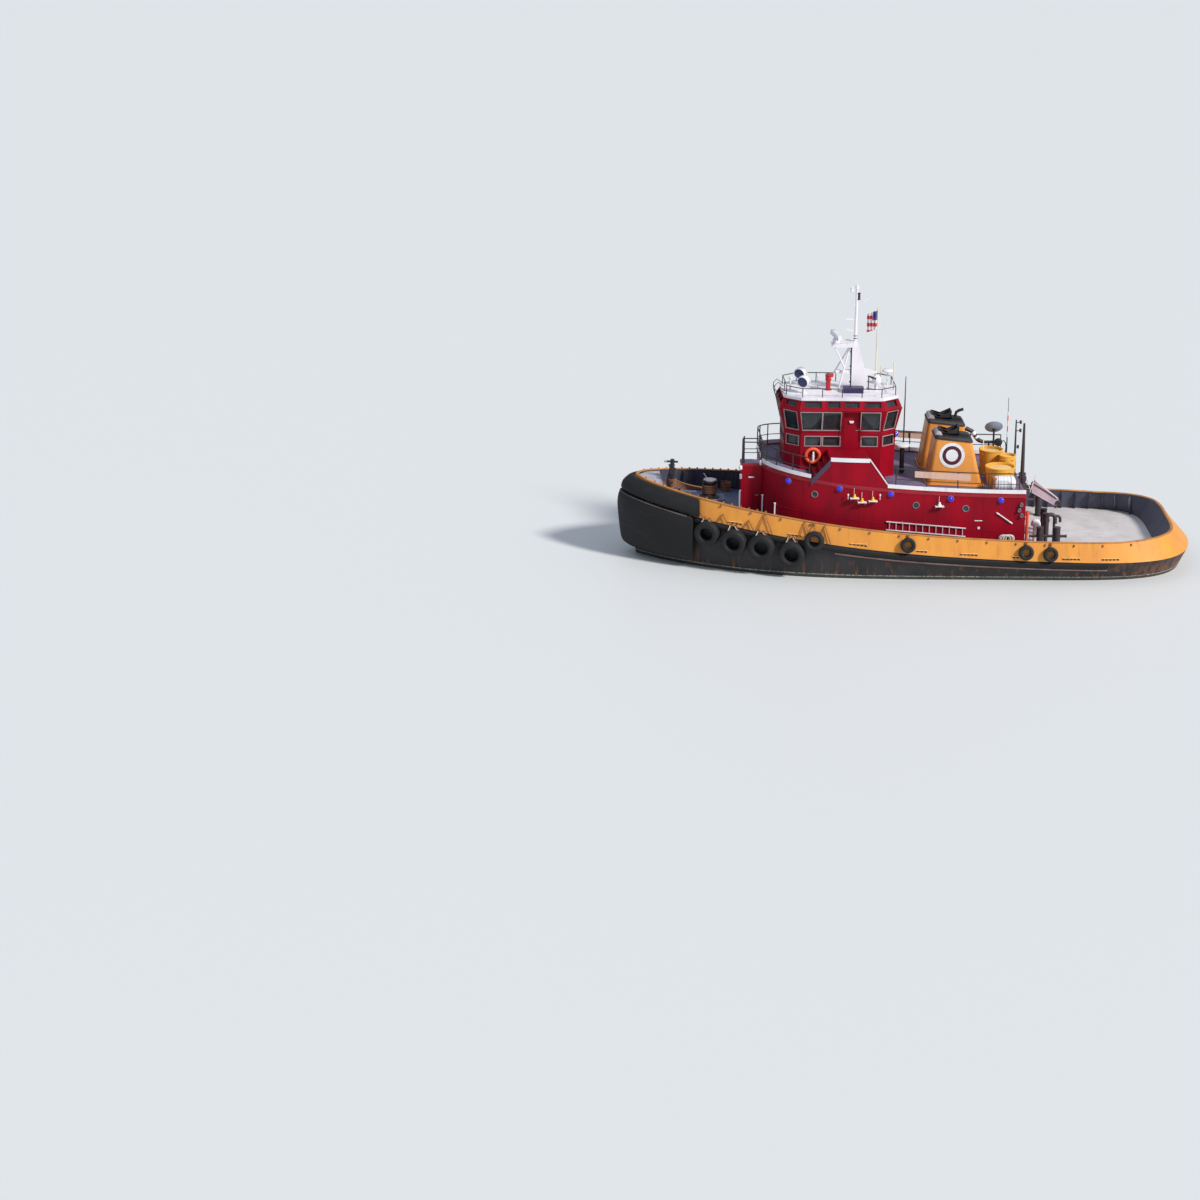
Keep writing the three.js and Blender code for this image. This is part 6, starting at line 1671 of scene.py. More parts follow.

# Radar scanner. A white moulded bar with a window strip on its fore face, bolted on a
# turned gearbox neck. The strip's blue-grey is painted shade, the bluish tone of the shaded fore
# face. It turns on the mast's platform.
RADAR_AT = np.array([3.42, 0, 9.75])
RADAR_HALF = 0.75
# Painted shade: the strip's blue-grey stands for the bluish shade on the scanner's fore face.
SHADE_BLUE_STRIP = sea_paint("radar fore strip painted shade", (0.5, 0.56, 0.74), (0.4, 0.46, 0.64), stained=0.1,
                       chipped=0.05, gloss=0.3)
turn = np.array(Matrix.Rotation(math.radians(7), 3, "Z"))
s = np.linspace(-1, 1, 15)
end = (1 - np.abs(s) ** 7) ** 0.5 * 0.35 + 0.65
profile = np.array([(-0.105, 0.07), (-0.105, 0.27), (-0.08, 0.29), (0.08, 0.29), (0.105, 0.265),
                    (0.105, 0.085), (0.08, 0.062), (-0.08, 0.06)])
middle_z = 0.175
bar_rows = np.stack([np.stack([profile[:, 0] * e, np.full(8, y * RADAR_HALF),
                               middle_z + (profile[:, 1] - middle_z) * e], -1)
                     for y, e in zip(s, end)])
scanner = joined([skinned(bar_rows, wrap_columns=True, caps=True),
                  turned([(0, 0.0006), (0.1, 0.0006), (0.1, 0.03), (0.07, 0.045), (0.07, 0.075),
                          (0, 0.075)], 24)])
window = block((0.1, -RADAR_HALF * 0.93, 0.095), (0.1085, RADAR_HALF * 0.93, 0.175), 0.003)
for name, shape, finish, slot_name, gone in (
        ("radar_bar", scanner, SHIP_WHITE, "white", ("radar_scanner",)),
        ("radar_fore_strip", window, SHADE_BLUE_STRIP, "glass", ())):
    piece(name, (shape[0] @ turn.T + RADAR_AT, shape[1]), finish, body="radar",
          replaces=gone)

# Roof gear. A navy locker, a white satellite dome with a black horn beside it, a cream flag
# pole, tan posts, a white disc aerial, small white lamps and bent guards at the fore edge.
CREAM = sea_paint("cream pole", (0.75, 0.66, 0.5), (0.62, 0.52, 0.38), stained=0.3, gloss=0.5)
FLAG_POLE = (1.61, 0.0)
piece("roof_locker", joined([block((2.2, 0.3, ROOF_Z + 0.0004), (3.07, 0.74, 7.7), 0.012),
                             block((2.18, 0.28, 7.7), (3.09, 0.76, 7.72), 0.006)]), NAVY)
dome_profile = [(0.0, 0.0), (0.13, 0.0), (0.14, 0.04), (0.19, 0.1)]
dome_profile += [(0.2 * math.cos(k), 0.2 + 0.2 * math.sin(k))
                 for k in np.linspace(-0.3, math.pi / 2, 10)]
whites = [placed(turned(dome_profile, 32), (1.57, 0.12, 7.76)),
          tube([(1.57, 0.12, ROOF_Z), (1.57, 0.12, 7.6), (1.57, 0.12, 7.77)], 0.05, 14),
          placed(turned([(0, 0), (0.24, 0), (0.26, 0.02), (0.26, 0.06), (0.22, 0.1), (0, 0.11)],
                        32),
                 (0.98, -0.87, 8.08)),
          tube([(0.98, -0.87, ROOF_Z), (0.98, -0.87, 7.8), (0.98, -0.87, 8.1)], 0.03, 12)]
for x, y, z, r in ((5.38, 0.2, 7.95, 0.085), (4.12, -0.3, 7.9, 0.045)):
    whites += [tube([(x, y, ROOF_Z), (x, y, z - 0.2), (x, y, z)], r * 0.45, 10),
               placed(turned([(0, 0), (r * 0.5, 0), (r, 0.08), (r, 0.12), (0, 0.14)], 18),
                      (x, y, z))]
piece("roof_gear_white", joined(whites), SHIP_WHITE, smooth=50)
horn = [tube([(1.95, 0.05, 8.1), (1.85, 0.1, 8.08), (1.72, 0.16, 8.04), (1.6, 0.22, 8.0)],
             [0.03, 0.035, 0.05, 0.11], 20),
        tube([(1.92, 0.06, ROOF_Z), (1.92, 0.06, 7.8), (1.92, 0.06, 8.09)], 0.022, 8)]
piece("roof_horn", joined(horn), BLACK_COAT)
creams = [tube([(*FLAG_POLE, ROOF_Z), (*FLAG_POLE, 9.3), (*FLAG_POLE, 11.12)], [0.035, 0.03, 0.02],
               12),
          placed(turned([(0, 0), (0.035, 0.01), (0.035, 0.05), (0, 0.065)], 14),
                 (*FLAG_POLE, 11.11)),
          tube([(1.3, -0.87, ROOF_Z), (1.3, -0.87, 7.9), (1.3, -0.87, 8.32)], 0.022, 8),
          tube([(0.82, 0, ROOF_Z), (0.82, 0, 8.1), (0.82, 0, 8.72)], 0.024, 8),
          tube([(1.3, -0.87, 8.0), (1.0, -0.5, 8.02), (0.82, 0, 8.05)], 0.014, 6)]
piece("roof_poles", joined(creams), CREAM)
guards = []
for y in (1.05, 0.45, -0.45, -1.05):
    guards.append(tube([(5.62, y, ROOF_Z + 0.02), (5.86, y, 7.66), (6.0, y, 7.5), (6.0, y, 7.25),
                        (5.92, y, 7.0)], 0.016, 8))
guards.append(tube([(5.99, -1.1, 7.4), (6.0, 0, 7.4), (5.99, 1.1, 7.4)], 0.014, 8))
piece("fore_window_guards", joined(guards), BLACK_COAT)

# Flag. A small faded cloth of generic red and white bars with a blue corner, hung limp from the
# pole. Its folds run down it: along the fly the heading swings as a sine, so no length is lost.
FLY, HOIST, SWING_ANGLE, FOLDS = 0.86, 0.84, 1.45, 3.4


def flag_cloth():
    """Bars by height and a blue corner by the pole, all dulled by a noise."""
    m, t, bsdf = material("flag cloth")
    place = node(t, "TexCoord").outputs["Object"]
    xyz = node(t, "SeparateXYZ", Vector=place)
    bars = sums(t, "FRACT", sums(t, "MULTIPLY", xyz.outputs[2], 2.6 / HOIST))
    cloth = blended(t, sums(t, "GREATER_THAN", bars, 0.5), (0.5, 0.03, 0.05), (0.72, 0.68, 0.68))
    near_pole = sums(t, "LESS_THAN", xyz.outputs[0], FLAG_POLE[0] + 0.24)
    high_up = sums(t, "GREATER_THAN", xyz.outputs[2], 11.06 - HOIST * 0.52)
    cloth = blended(t, sums(t, "MULTIPLY", near_pole, high_up), cloth, (0.03, 0.04, 0.22))
    worn = ramped(t, speckle(t, 9.0), 0.4, 0.8, 0, 0.35)
    t.links.new(blended(t, worn, cloth, (0.45, 0.42, 0.42)), bsdf.inputs["Base Color"])
    bsdf.inputs["Roughness"].default_value = 0.9
    bumped(t, bsdf, speckle(t, 220.0, (1, 1, 1), 2.0), 0.0008, 0.4)
    return m


across, down = np.meshgrid(np.linspace(0, 1, 61), np.linspace(0, 1, 25), indexing="ij")
heading = SWING_ANGLE * np.sin(2 * math.pi * FOLDS * across + 0.5 * down)
step = FLY / 60
run_x = np.concatenate([np.zeros((1, 25)), np.cumsum(np.cos(heading[:-1]) * step, axis=0)])
run_y = np.concatenate([np.zeros((1, 25)), np.cumsum(np.sin(heading[:-1]) * step, axis=0)])
front = np.stack([FLAG_POLE[0] + 0.028 + run_x, FLAG_POLE[1] + run_y,
                  11.06 - HOIST * down - 0.16 * across], -1)
thick = np.stack([np.sin(heading), -np.cos(heading), 0 * heading], -1) * 0.0012
cloth_points = np.concatenate([front + thick, (front - thick)[:, ::-1]], axis=1)
flag = piece("limp_flag", skinned(cloth_points, wrap_columns=True, caps=True), flag_cloth(),
             smooth=60, weld=1e-7)

# Funnels. Tapered casings of yellow plate with rounded corners, each with a black cap that is
# lower aft. On it stand a hood with a dark throat behind a notched lip, the silencer's casing
# and a pale grey drum end. The starboard one also has a bent pipe.
FUNNEL_FOOT_Z, FUNNEL_TOP, CAP_RISE, RAKE, RAKE_FROM = 3.5, 5.75, 0.12, 0.1, -1.7
FUNNEL_COAT = sea_paint("funnel yellow", (0.74, 0.3, 0.05), (0.66, 0.25, 0.045),
                        stain=(0.4, 0.14, 0.04), stained=0.35, chipped=0.35, gloss=0.45)
SOOT_BLACK = sea_paint("sooty black", (0.008, 0.008, 0.01), (0.03, 0.025, 0.028),
                       stain=(0.07, 0.04, 0.035), stained=0.5, chipped=0.3, gloss=0.6)
DRUM_GREY = sea_paint("pale drum", (0.42, 0.38, 0.4), (0.3, 0.26, 0.28), stained=0.4, gloss=0.5)
FUNNEL_FOOT = np.array([-3.06, -0.58, 0.56, 2.22, 0.18])
FUNNEL_HEAD = np.array([-2.52, -0.89, 0.7, 2.12, 0.16])
CAP_FOOT = np.array([-2.55, -0.86, 0.67, 2.15, 0.16])
CAP_HEAD = np.array([-2.48, -0.93, 0.74, 2.08, 0.15])
HOOD_Y, HOOD_HALF, CASING_HALF = 1.41, 0.33, 0.23


def rounded_plan(form, steps=6):
    """A rectangle with round corners: its two spans and the corners' radius."""
    x0, x1, y0, y1, r = form
    out = []
    for cx, cy, start in ((x1 - r, y1 - r, 0), (x0 + r, y1 - r, 90), (x0 + r, y0 + r, 180),
                          (x1 - r, y0 + r, 270)):
        a = np.radians(start + np.linspace(0, 90, steps))
        out.append(np.stack([cx + r * np.cos(a), cy + r * np.sin(a)], -1))
    return np.concatenate(out)


def raked(x, z):
    """A height that falls towards the stern."""
    return z + RAKE * (x - RAKE_FROM)


casing_rows = []
for k in np.linspace(0, 1, 7):
    share = 0.085 + k * 0.915
    plan = rounded_plan(FUNNEL_FOOT + (FUNNEL_HEAD - FUNNEL_FOOT) * share)
    low, high = boat_deck_z(plan[:, 0]) + 0.0004, raked(plan[:, 0], FUNNEL_TOP)
    casing_rows.append(np.column_stack([plan, low + (high - low) * k]))
casing = [skinned(np.stack(casing_rows), wrap_columns=True, caps=True)]
foot_plan = rounded_plan(FUNNEL_FOOT + [-0.03, 0.03, -0.03, 0.03, 0.03])
foot_plan = np.column_stack([foot_plan, boat_deck_z(foot_plan[:, 0]) + 0.03])
casing.append(tube(foot_plan, 0.028, 8, closed=True))
for share in (0.36, 0.68):
    plan = rounded_plan(FUNNEL_FOOT + (FUNNEL_HEAD - FUNNEL_FOOT) * (0.085 + share * 0.915)
                        + [-0.004, 0.004, -0.004, 0.004, 0])
    casing.append(tube(np.column_stack([plan,
                                        3.69 + share * (raked(plan[:, 0], FUNNEL_TOP) - 3.69)]),
                       0.008, 5, closed=True))
casing = joined(casing)
cap_levels = [(CAP_FOOT, -0.02), (CAP_FOOT, 0.03), (CAP_HEAD, CAP_RISE)]
cap = [skinned(np.stack([np.column_stack([rounded_plan(f),
                                          raked(rounded_plan(f)[:, 0], FUNNEL_TOP + d)])
                         for f, d in cap_levels]), wrap_columns=True, caps=True)]


def on_cap(points):
    """Points given by their rise over the raked cap, with their heights over water."""
    return [(x, raked(x, FUNNEL_TOP + CAP_RISE) + rise) for x, rise in points]


cap.append(prism(on_cap([(-1.9, -0.03), (-1.06, -0.03), (-1.1, 0.1), (-1.4, 0.06), (-1.92, 0.1)]),
                 HOOD_Y - HOOD_HALF, HOOD_Y + HOOD_HALF, 0.01, axis=1))
for y0, y1 in ((-HOOD_HALF, -HOOD_HALF + 0.03), (HOOD_HALF - 0.03, HOOD_HALF)):
    cap.append(prism(on_cap([(-1.93, 0.02), (-1.08, 0.02), (-1.13, 0.23), (-1.38, 0.09),
                             (-1.96, 0.4)]),
                     HOOD_Y + y0, HOOD_Y + y1, 0.006, axis=1))
cap.append(prism(on_cap([(-1.9, 0.02), (-1.86, 0.02), (-1.93, 0.385), (-1.97, 0.385)]),
                 HOOD_Y - HOOD_HALF, HOOD_Y + HOOD_HALF, 0.005, axis=1))
cap.append(prism(on_cap([(-1.1, 0.02), (-1.06, 0.02), (-1.1, 0.23), (-1.15, 0.22)]),
                 HOOD_Y - HOOD_HALF, HOOD_Y + HOOD_HALF, 0.005, axis=1))
cap.append(prism(on_cap([(-2.44, -0.03), (-1.96, -0.03), (-1.96, 0.13), (-2.38, 0.1),
                         (-2.44, 0.04)]),
                 HOOD_Y - CASING_HALF, HOOD_Y + CASING_HALF, 0.03, axis=1))
cap = joined(cap)
pipe_z = float(raked(-2.18, FUNNEL_TOP + CAP_RISE))
bent = joined([tube([(-2.18, HOOD_Y, pipe_z), (-2.17, HOOD_Y, pipe_z + 0.2),
                     (-2.2, HOOD_Y, pipe_z + 0.31),
                     (-2.33, HOOD_Y, pipe_z + 0.39), (-2.5, HOOD_Y, pipe_z + 0.44)], 0.065, 18),
               placed(ring(0.062, 0.01, 6, 24), (-2.5, HOOD_Y, pipe_z + 0.44), out=(-1, 0, 0.25))])
end_profile = turned([(0, -0.02), (0.15, -0.02), (0.155, 0.0), (0.15, 0.03), (0.1, 0.05),
                      (0, 0.055)], 32)
drum_end = joined([
    tube([(-1.05, 0.98, 5.93), (-1.05, 1.4, 5.93), (-1.05, 1.86, 5.93)], 0.15, 32),
    placed(laid_over(end_profile), (-1.05, 1.86, 5.93))])
for label, s, top in (("port", 1, cap), ("starboard", -1, joined([cap, bent]))):
    for part, shape, finish, slot_name, gone in (
            ("casing", casing, FUNNEL_COAT, "funnel_yellow", (f"funnel_{label}",)),
            ("cap", top, SOOT_BLACK, "black_steel", ()),
            ("drum_end", drum_end, DRUM_GREY, "white", ())):
        piece(f"funnel_{label}_{part}", on_side(shape, s), finish,
              smooth=30, replaces=gone)

# Roundels. A sheet disc on each funnel's outboard face: a white border with dark ticks, a
# maroon ring and a bare white middle.
ROUND_X, ROUND_Z, ROUND_R = -1.63, 5.08, 0.56
MAROON = sea_paint("maroon", (0.05, 0.004, 0.016), (0.08, 0.008, 0.02), stained=0.1, gloss=0.4)
share = (ROUND_Z - FUNNEL_FOOT_Z) / (FUNNEL_TOP - FUNNEL_FOOT_Z)
round_y = float(FUNNEL_FOOT[3] + (FUNNEL_HEAD[3] - FUNNEL_FOOT[3]) * share)
face_out = np.array([0, FUNNEL_TOP - FUNNEL_FOOT_Z, FUNNEL_FOOT[3] - FUNNEL_HEAD[3]])


def sheet_ring(inner, outer, low, high):
    """A flat ring about the Y axis, from one level to another."""
    shape = turned([(inner, low), (outer, low), (outer, high), (inner, high)], 64, closed=True)
    return laid_over(shape)


disc = turned([(0, 0.001), (ROUND_R * 0.48, 0.001), (ROUND_R * 0.48, 0.013), (0, 0.013)], 64)
whites = joined([sheet_ring(ROUND_R * 0.76, ROUND_R, 0.001, 0.014),
                 laid_over(disc)])
ticks = [block((ROUND_R * 0.9 * math.cos(a) - 0.012, 0.013, ROUND_R * 0.9 * math.sin(a) - 0.012),
               (ROUND_R * 0.9 * math.cos(a) + 0.012, 0.018, ROUND_R * 0.9 * math.sin(a) + 0.012),
               0.002)
         for a in np.arange(8) * math.pi / 4 + 0.39]
dark_parts = joined([sheet_ring(ROUND_R * 0.46, ROUND_R * 0.78, 0.0005, 0.0125), *ticks])
for name, shape, finish, slot_name in (("roundel_white", whites, SHIP_WHITE, "white"),
                                       ("roundel_maroon", dark_parts, MAROON, "crimson")):
    piece(name,
          joined([placed(shape, (ROUND_X, s * (round_y + 0.002), ROUND_Z), face_out * [1, s, 1])
                        for s in (1, -1)]), finish)

# Rail boards. A bare pale tan board stands against the rail on each side.
BOARD_TAN = sea_paint("tan board", (0.62, 0.4, 0.3), (0.52, 0.34, 0.27), stained=0.3, gloss=0.6)
board = prism([(-2.33, 4.27), (0.13, 4.42), (0.13, 4.7), (-2.33, 4.56)], HOUSE_HALF + 0.03,
              HOUSE_HALF + 0.05, 0.004, axis=1)
piece("name_boards", both_sides(board), BOARD_TAN)

# Tubs. Yellow moulded tubs with rolled rims and grab handles, each filled to near its rim with
# something smooth and pale.
TUB_COAT = sea_paint("tub yellow", (0.8, 0.42, 0.05), (0.7, 0.34, 0.05),
                     stain=(0.45, 0.2, 0.05), stained=0.3, chipped=0.2, gloss=0.5)
TUB_FILL = sea_paint("pale filling", (0.8, 0.58, 0.24), (0.66, 0.44, 0.16), stained=0.3,
                     gloss=0.85)
TUBS = [("tub_large", -3.85, 1.65, 0.66, 4.5), ("tub_tall", -3.65, -0.15, 0.53, 4.8),
        ("tub_small", -4.29, 0.64, 0.37, 4.74)]
fills = []
for name, x, y, r, rim_z in TUBS:
    foot = float(boat_deck_z(x)) + 0.004
    profile = [(0, foot), (r * 0.84, foot), (r * 0.87, foot + 0.04), (r * 0.985, rim_z - 0.07),
               (r + 0.012, rim_z - 0.05), (r + 0.014, rim_z - 0.01), (r - 0.005, rim_z),
               (r - 0.045, rim_z - 0.005), (r * 0.84, foot + 0.16), (0, foot + 0.15)]
    shape = turned(profile, 48)
    handles = [placed(tube([(-0.09, 0, 0), (-0.07, 0.05, -0.01), (0.07, 0.05, -0.01),
                            (0.09, 0, 0)],
                           0.014, 8),
                           ((r * 0.96) * math.cos(a), (r * 0.96) * math.sin(a), rim_z - 0.16),
                      (math.cos(a), math.sin(a), 0)) for a in (0.6, 2.2, 3.9, 5.3)]
    shape = joined([shape, *handles])
    piece(f"{name}_moulding", set_at(shape, [x, y, 0]), TUB_COAT,
          replaces=(name,))
    lid = turned([(0, rim_z - 0.2), (r - 0.08, rim_z - 0.2), (r - 0.08, rim_z - 0.11),
                  (0, rim_z - 0.09)], 40)
    fills.append(set_at(lid, [x, y, 0]))
piece("tub_fillings", joined(fills), TUB_FILL)

# Life raft. A white moulded canister with shallow ribs and two straps, on a cradle of
# galvanised pipe.
RAFT_X, RAFT_Y, RAFT_Z, RAFT_R, RAFT_HALF = -3.9, 2.75, 4.0, 0.33, 0.5
s = np.linspace(-1, 1, 31)
radius = RAFT_R * (1 - 0.55 * np.abs(s) ** 9) * (1 + 0.02 * np.sign(np.cos(s * 22)))
raft_path = np.stack([RAFT_X + s * RAFT_HALF, 0 * s + RAFT_Y, 0 * s + RAFT_Z], -1)
piece("raft_canister", tube(raft_path, radius, 40), SHIP_WHITE, replaces=("raft",))
straps = [tube(np.stack([RAFT_X + d + 0 * k, RAFT_Y + 0.337 * np.cos(k),
                         RAFT_Z + 0.337 * np.sin(k)], -1),
               0.01, 6, closed=True) for d in (-0.28, 0.28)
          for k in (np.linspace(0, 2 * math.pi, 40, endpoint=False),)]
deck_here = float(boat_deck_z(RAFT_X))
cradle = [(-0.4, deck_here), (-0.36, RAFT_Z - 0.12), (-0.2, RAFT_Z - 0.3), (0, RAFT_Z - 0.345),
          (0.2, RAFT_Z - 0.3), (0.36, RAFT_Z - 0.12), (0.4, deck_here)]
for d in (-0.31, 0.31):
    straps.append(tube([(RAFT_X + d, RAFT_Y + y, z) for y, z in cradle], 0.02, 8))
piece("raft_cradle", joined(straps), GREY_METAL)

# Dish. A shallow spun dish, blue-grey, with a dark hub and a strut, on a stalk.
DISH_AT, DISH_TILT = np.array([-3.82, -0.74, 5.53]), 50
DISH_BLUE = sea_paint("dish blue-grey", (0.3, 0.36, 0.48), (0.22, 0.26, 0.36), stained=0.2,
                      gloss=0.5)
a = np.linspace(0, 1, 10)
dish_profile = [(0.4 * k, 0.13 * k * k) for k in a] + [(0.4 * k, 0.02 + 0.13 * k * k)
                                                       for k in a[::-1]]
turn = np.array(Matrix.Rotation(math.radians(DISH_TILT), 3, "X"))
dish = turned(dish_profile, 48)
piece("dish_shell", (dish[0] @ turn.T + DISH_AT + [0, 0.01, 0], dish[1]), DISH_BLUE,
      replaces=("dish",))
feed = joined([tube([(0, 0, 0.03), (0.02, 0, 0.2), (0.03, 0, 0.32)], 0.012, 8),
               tube([(0.38, 0, 0.15), (0.2, 0, 0.28), (0.03, 0, 0.32)], 0.009, 6),
               turned([(0, 0.3), (0.045, 0.3), (0.05, 0.34), (0, 0.37)], 16),
               turned([(0, -0.03), (0.07, -0.03), (0.07, 0.03), (0, 0.035)], 20)])
feed = feed[0] @ turn.T + DISH_AT + [0, 0.01, 0], feed[1]
stalk = tube([(-3.82, -0.74, float(boat_deck_z(-3.82))), (-3.82, -0.74, 4.6), (-3.82, -0.74, 5.5)],
             0.045, 16)
piece("dish_mount", joined([feed, stalk]), BLACK_COAT)

# Exhaust gear abaft the funnels. A black pipe with two white bands drops from the starboard
# casing and runs aft to a round valve, and a hose hoops over from there. A white rod stands by.
GEAR_Y, PIPE_Z, PIPE_TOP_Z, VALVE_X, WHEEL_R, WHEEL_OUT = -0.8, 4.93, 5.55, -4.04, 0.13, 0.17
funnel_back = FUNNEL_FOOT[0] + ((FUNNEL_HEAD[0] - FUNNEL_FOOT[0]) * (PIPE_TOP_Z - FUNNEL_FOOT_Z)
                                / (FUNNEL_TOP - FUNNEL_FOOT_Z))
pipe_run = joined([
    tube([(funnel_back - 0.004, GEAR_Y, PIPE_TOP_Z), (-2.85, GEAR_Y, 5.42), (-3.12, GEAR_Y, 5.05),
          (-3.2, GEAR_Y, 4.99), (-3.4, GEAR_Y, PIPE_Z), (-3.96, GEAR_Y, PIPE_Z)],
         [0.1, 0.1, 0.1, 0.09, 0.07, 0.065], 18),
    tube([(-3.62, GEAR_Y, float(boat_deck_z(-3.62)) + 0.001), (-3.62, GEAR_Y, 4.3),
          (-3.62, GEAR_Y, PIPE_Z)], 0.035, 12),
    placed(ring(0.085, 0.014, 6, 20), (-3.3, GEAR_Y, PIPE_Z + 0.02), (1, 0, 0)),
    placed(ring(0.062, 0.012, 6, 20), (-3.72, GEAR_Y, PIPE_Z), (1, 0, 0))])
piece("exhaust_pipe", pipe_run, BLACK_COAT)
valve_body = turned([(0, -0.1), (0.12, -0.1), (0.17, -0.05), (0.18, 0.02), (0.15, 0.08),
                     (0.06, 0.11), (0, 0.11)], 28)
wheel = ring(WHEEL_R, 0.012, 6, 24)
valve_parts = joined([placed(laid_over(valve_body), (VALVE_X, GEAR_Y, PIPE_Z), (0, 1, 0)),
                      set_at(wheel, [VALVE_X, GEAR_Y + WHEEL_OUT, PIPE_Z]),
                      tube([(VALVE_X, GEAR_Y, PIPE_Z), (VALVE_X, GEAR_Y + WHEEL_OUT, PIPE_Z)],
                           0.015, 8),
                      *[tube([(VALVE_X + k * WHEEL_R * math.cos(a), GEAR_Y + WHEEL_OUT,
                               PIPE_Z + k * WHEEL_R * math.sin(a)) for k in (-1, 1)], 0.008, 6)
                        for a in (0.3, 1.87)],
                      tube([(VALVE_X, GEAR_Y, PIPE_Z - 0.12), (VALVE_X, GEAR_Y, 4.2),
                            (VALVE_X, GEAR_Y, float(boat_deck_z(VALVE_X)) + 0.001)], 0.035, 12)])
piece("exhaust_valve", valve_parts, SOOT_BLACK)
band = joined([tube([(-2.87, GEAR_Y, 5.393), (-2.96, GEAR_Y, 5.269)], 0.108, 18),
               tube([(-3.02, GEAR_Y, 5.187), (-3.08, GEAR_Y, 5.105)], 0.108, 18),
               tube([(-3.35, -0.55, float(boat_deck_z(-3.35))), (-3.35, -0.55, 5.15)], 0.022, 10)])
piece("exhaust_pipe_band", band, SHIP_WHITE)
hose_path = [(-4.2, GEAR_Y, 4.98), (-4.29, GEAR_Y, 4.99), (-4.37, GEAR_Y, 4.9),
             (-4.39, GEAR_Y, 4.7),
             (-4.38, GEAR_Y, 4.5), (-4.36, GEAR_Y, 4.2),
             (-4.37, GEAR_Y, float(boat_deck_z(-4.37)) + 0.03)]
hose = piece("exhaust_hose", tube(hose_path, 0.022, 10), FENDER_RUBBER, smooth=70)

# Boat deck fittings. An orange-brown locker, a black pole with a thicker foot and a
# white-topped vent stand near the funnels.
LOCKER_BROWN = sea_paint("orange-brown locker", (0.42, 0.13, 0.04), (0.3, 0.09, 0.04),
                         stained=0.5, gloss=0.7)
here = float(boat_deck_z(-3.4))
piece("deck_locker", block((-3.54, 2.55, here - 0.03), (-3.36, 3.0, here + 0.62), 0.02),
      LOCKER_BROWN)
DECK_POLE_X = 0.27
here = float(boat_deck_z(DECK_POLE_X))
pole = joined([tube([(DECK_POLE_X, 0, here), (DECK_POLE_X, 0, 5.08)], 0.055, 20),
               tube([(DECK_POLE_X, 0, 5.05), (DECK_POLE_X, 0, 5.14)], [0.055, 0.032], 20),
               tube([(DECK_POLE_X, 0, z) for z in (5.1, 6.6, 8.08)], [0.032, 0.028, 0.018], 14),
               placed(tube([(0, 0, 0), (0, 0, 0.03)], 0.1, 20), (DECK_POLE_X, 0, here)),
               *[tube([(DECK_POLE_X, 0, z), (DECK_POLE_X, 0.2, z + 0.02)], 0.014, 8)
                 for z in (5.9, 7.1)]])
piece("deck_pole", pole, BLACK_COAT)
here = float(boat_deck_z(0.6))
VENT_AT = (0.35, 0.35)
vent_foot = tube([(*VENT_AT, here), (*VENT_AT, 5.02)], 0.1, 20)
vent_top = turned([(0, 5.01), (0.32, 5.01), (0.34, 5.04), (0.33, 5.1), (0.2, 5.14), (0, 5.15)], 32)
piece("deck_vent_foot", vent_foot, BLACK_COAT)
piece("deck_vent_top", set_at(vent_top, [*VENT_AT, 0]), SHIP_WHITE)

# Aft staff and aft mast. A thin staff painted red and white in bands, and a black pole mast
# with short branches that carry small lamps.
STAFF_X, STAFF_Y = -4.62, -2.2
staff_z = float(boat_deck_z(STAFF_X))
for name, spans, finish, slot_name in (
        ("aft_staff_red", [(5.05, 5.3), (5.55, 5.8)], RING_RED, "crimson"),
        ("aft_staff_white", [(4.8, 5.05), (5.3, 5.55), (5.8, 5.95)], SHIP_WHITE, "white"),
        ("aft_staff_black", [(staff_z, 4.8), (5.95, 6.6)], BLACK_COAT, "black_steel")):
    piece(name, joined([tube([(STAFF_X, STAFF_Y, z0), (STAFF_X, STAFF_Y, z1)],
                             0.026 if z0 < 5.9 else 0.012, 12) for z0, z1 in spans]), finish)
AFT_MAST = np.array([-4.66, 0.25])
mast_z = float(boat_deck_z(AFT_MAST[0]))
aft_mast = [tube([(*AFT_MAST, mast_z), (*AFT_MAST, 4.6), (*AFT_MAST, 6.22)], [0.055, 0.05, 0.03],
                 16)]
for rise, reach in ((6.1, -0.2), (5.72, -0.2), (4.98, -0.12)):
    aft_mast.append(tube([(AFT_MAST[0], AFT_MAST[1], rise),
                          (AFT_MAST[0] + reach, AFT_MAST[1], rise + 0.02)],
                         0.02, 8))
    aft_mast.append(tube([(AFT_MAST[0] + reach, AFT_MAST[1], rise - 0.05),
                          (AFT_MAST[0] + reach, AFT_MAST[1], rise + 0.09)], 0.05, 16))
piece("aft_mast", joined(aft_mast), BLACK_COAT)

# Ladder. Aluminium side rails and rungs, hooked along the side of the house.
LADDER_AFT, LADDER_FORE, LADDER_LOW, LADDER_HIGH = -2.2, 1.3, 1.76, 2.04
LADDER_WIDE, LADDER_Y = 0.37, 3.455
LADDER_METAL = sea_paint("ladder aluminium", (0.7, 0.62, 0.64), (0.5, 0.42, 0.44), stained=0.2,
                         gloss=0.42)
ladder_low = np.array([(LADDER_AFT, LADDER_Y, LADDER_LOW), (LADDER_FORE, LADDER_Y, LADDER_HIGH)])
ladder_parts = [tube(ladder_low + [0, 0, up], 0.03, 10) for up in (0, LADDER_WIDE)]
for k in np.linspace(0.04, 0.96, 12):
    foot = ladder_low[0] + (ladder_low[1] - ladder_low[0]) * k
    ladder_parts.append(tube([foot, foot + [0, 0, LADDER_WIDE]], 0.017, 8))
for k in (0.2, 0.8):
    foot = ladder_low[0] + (ladder_low[1] - ladder_low[0]) * k
    ladder_parts.append(tube([foot + [0, -0.056, LADDER_WIDE + 0.05],
                              foot + [0, 0.02, LADDER_WIDE + 0.05],
                              foot + [0, 0.035, LADDER_WIDE - 0.02]], 0.012, 8))
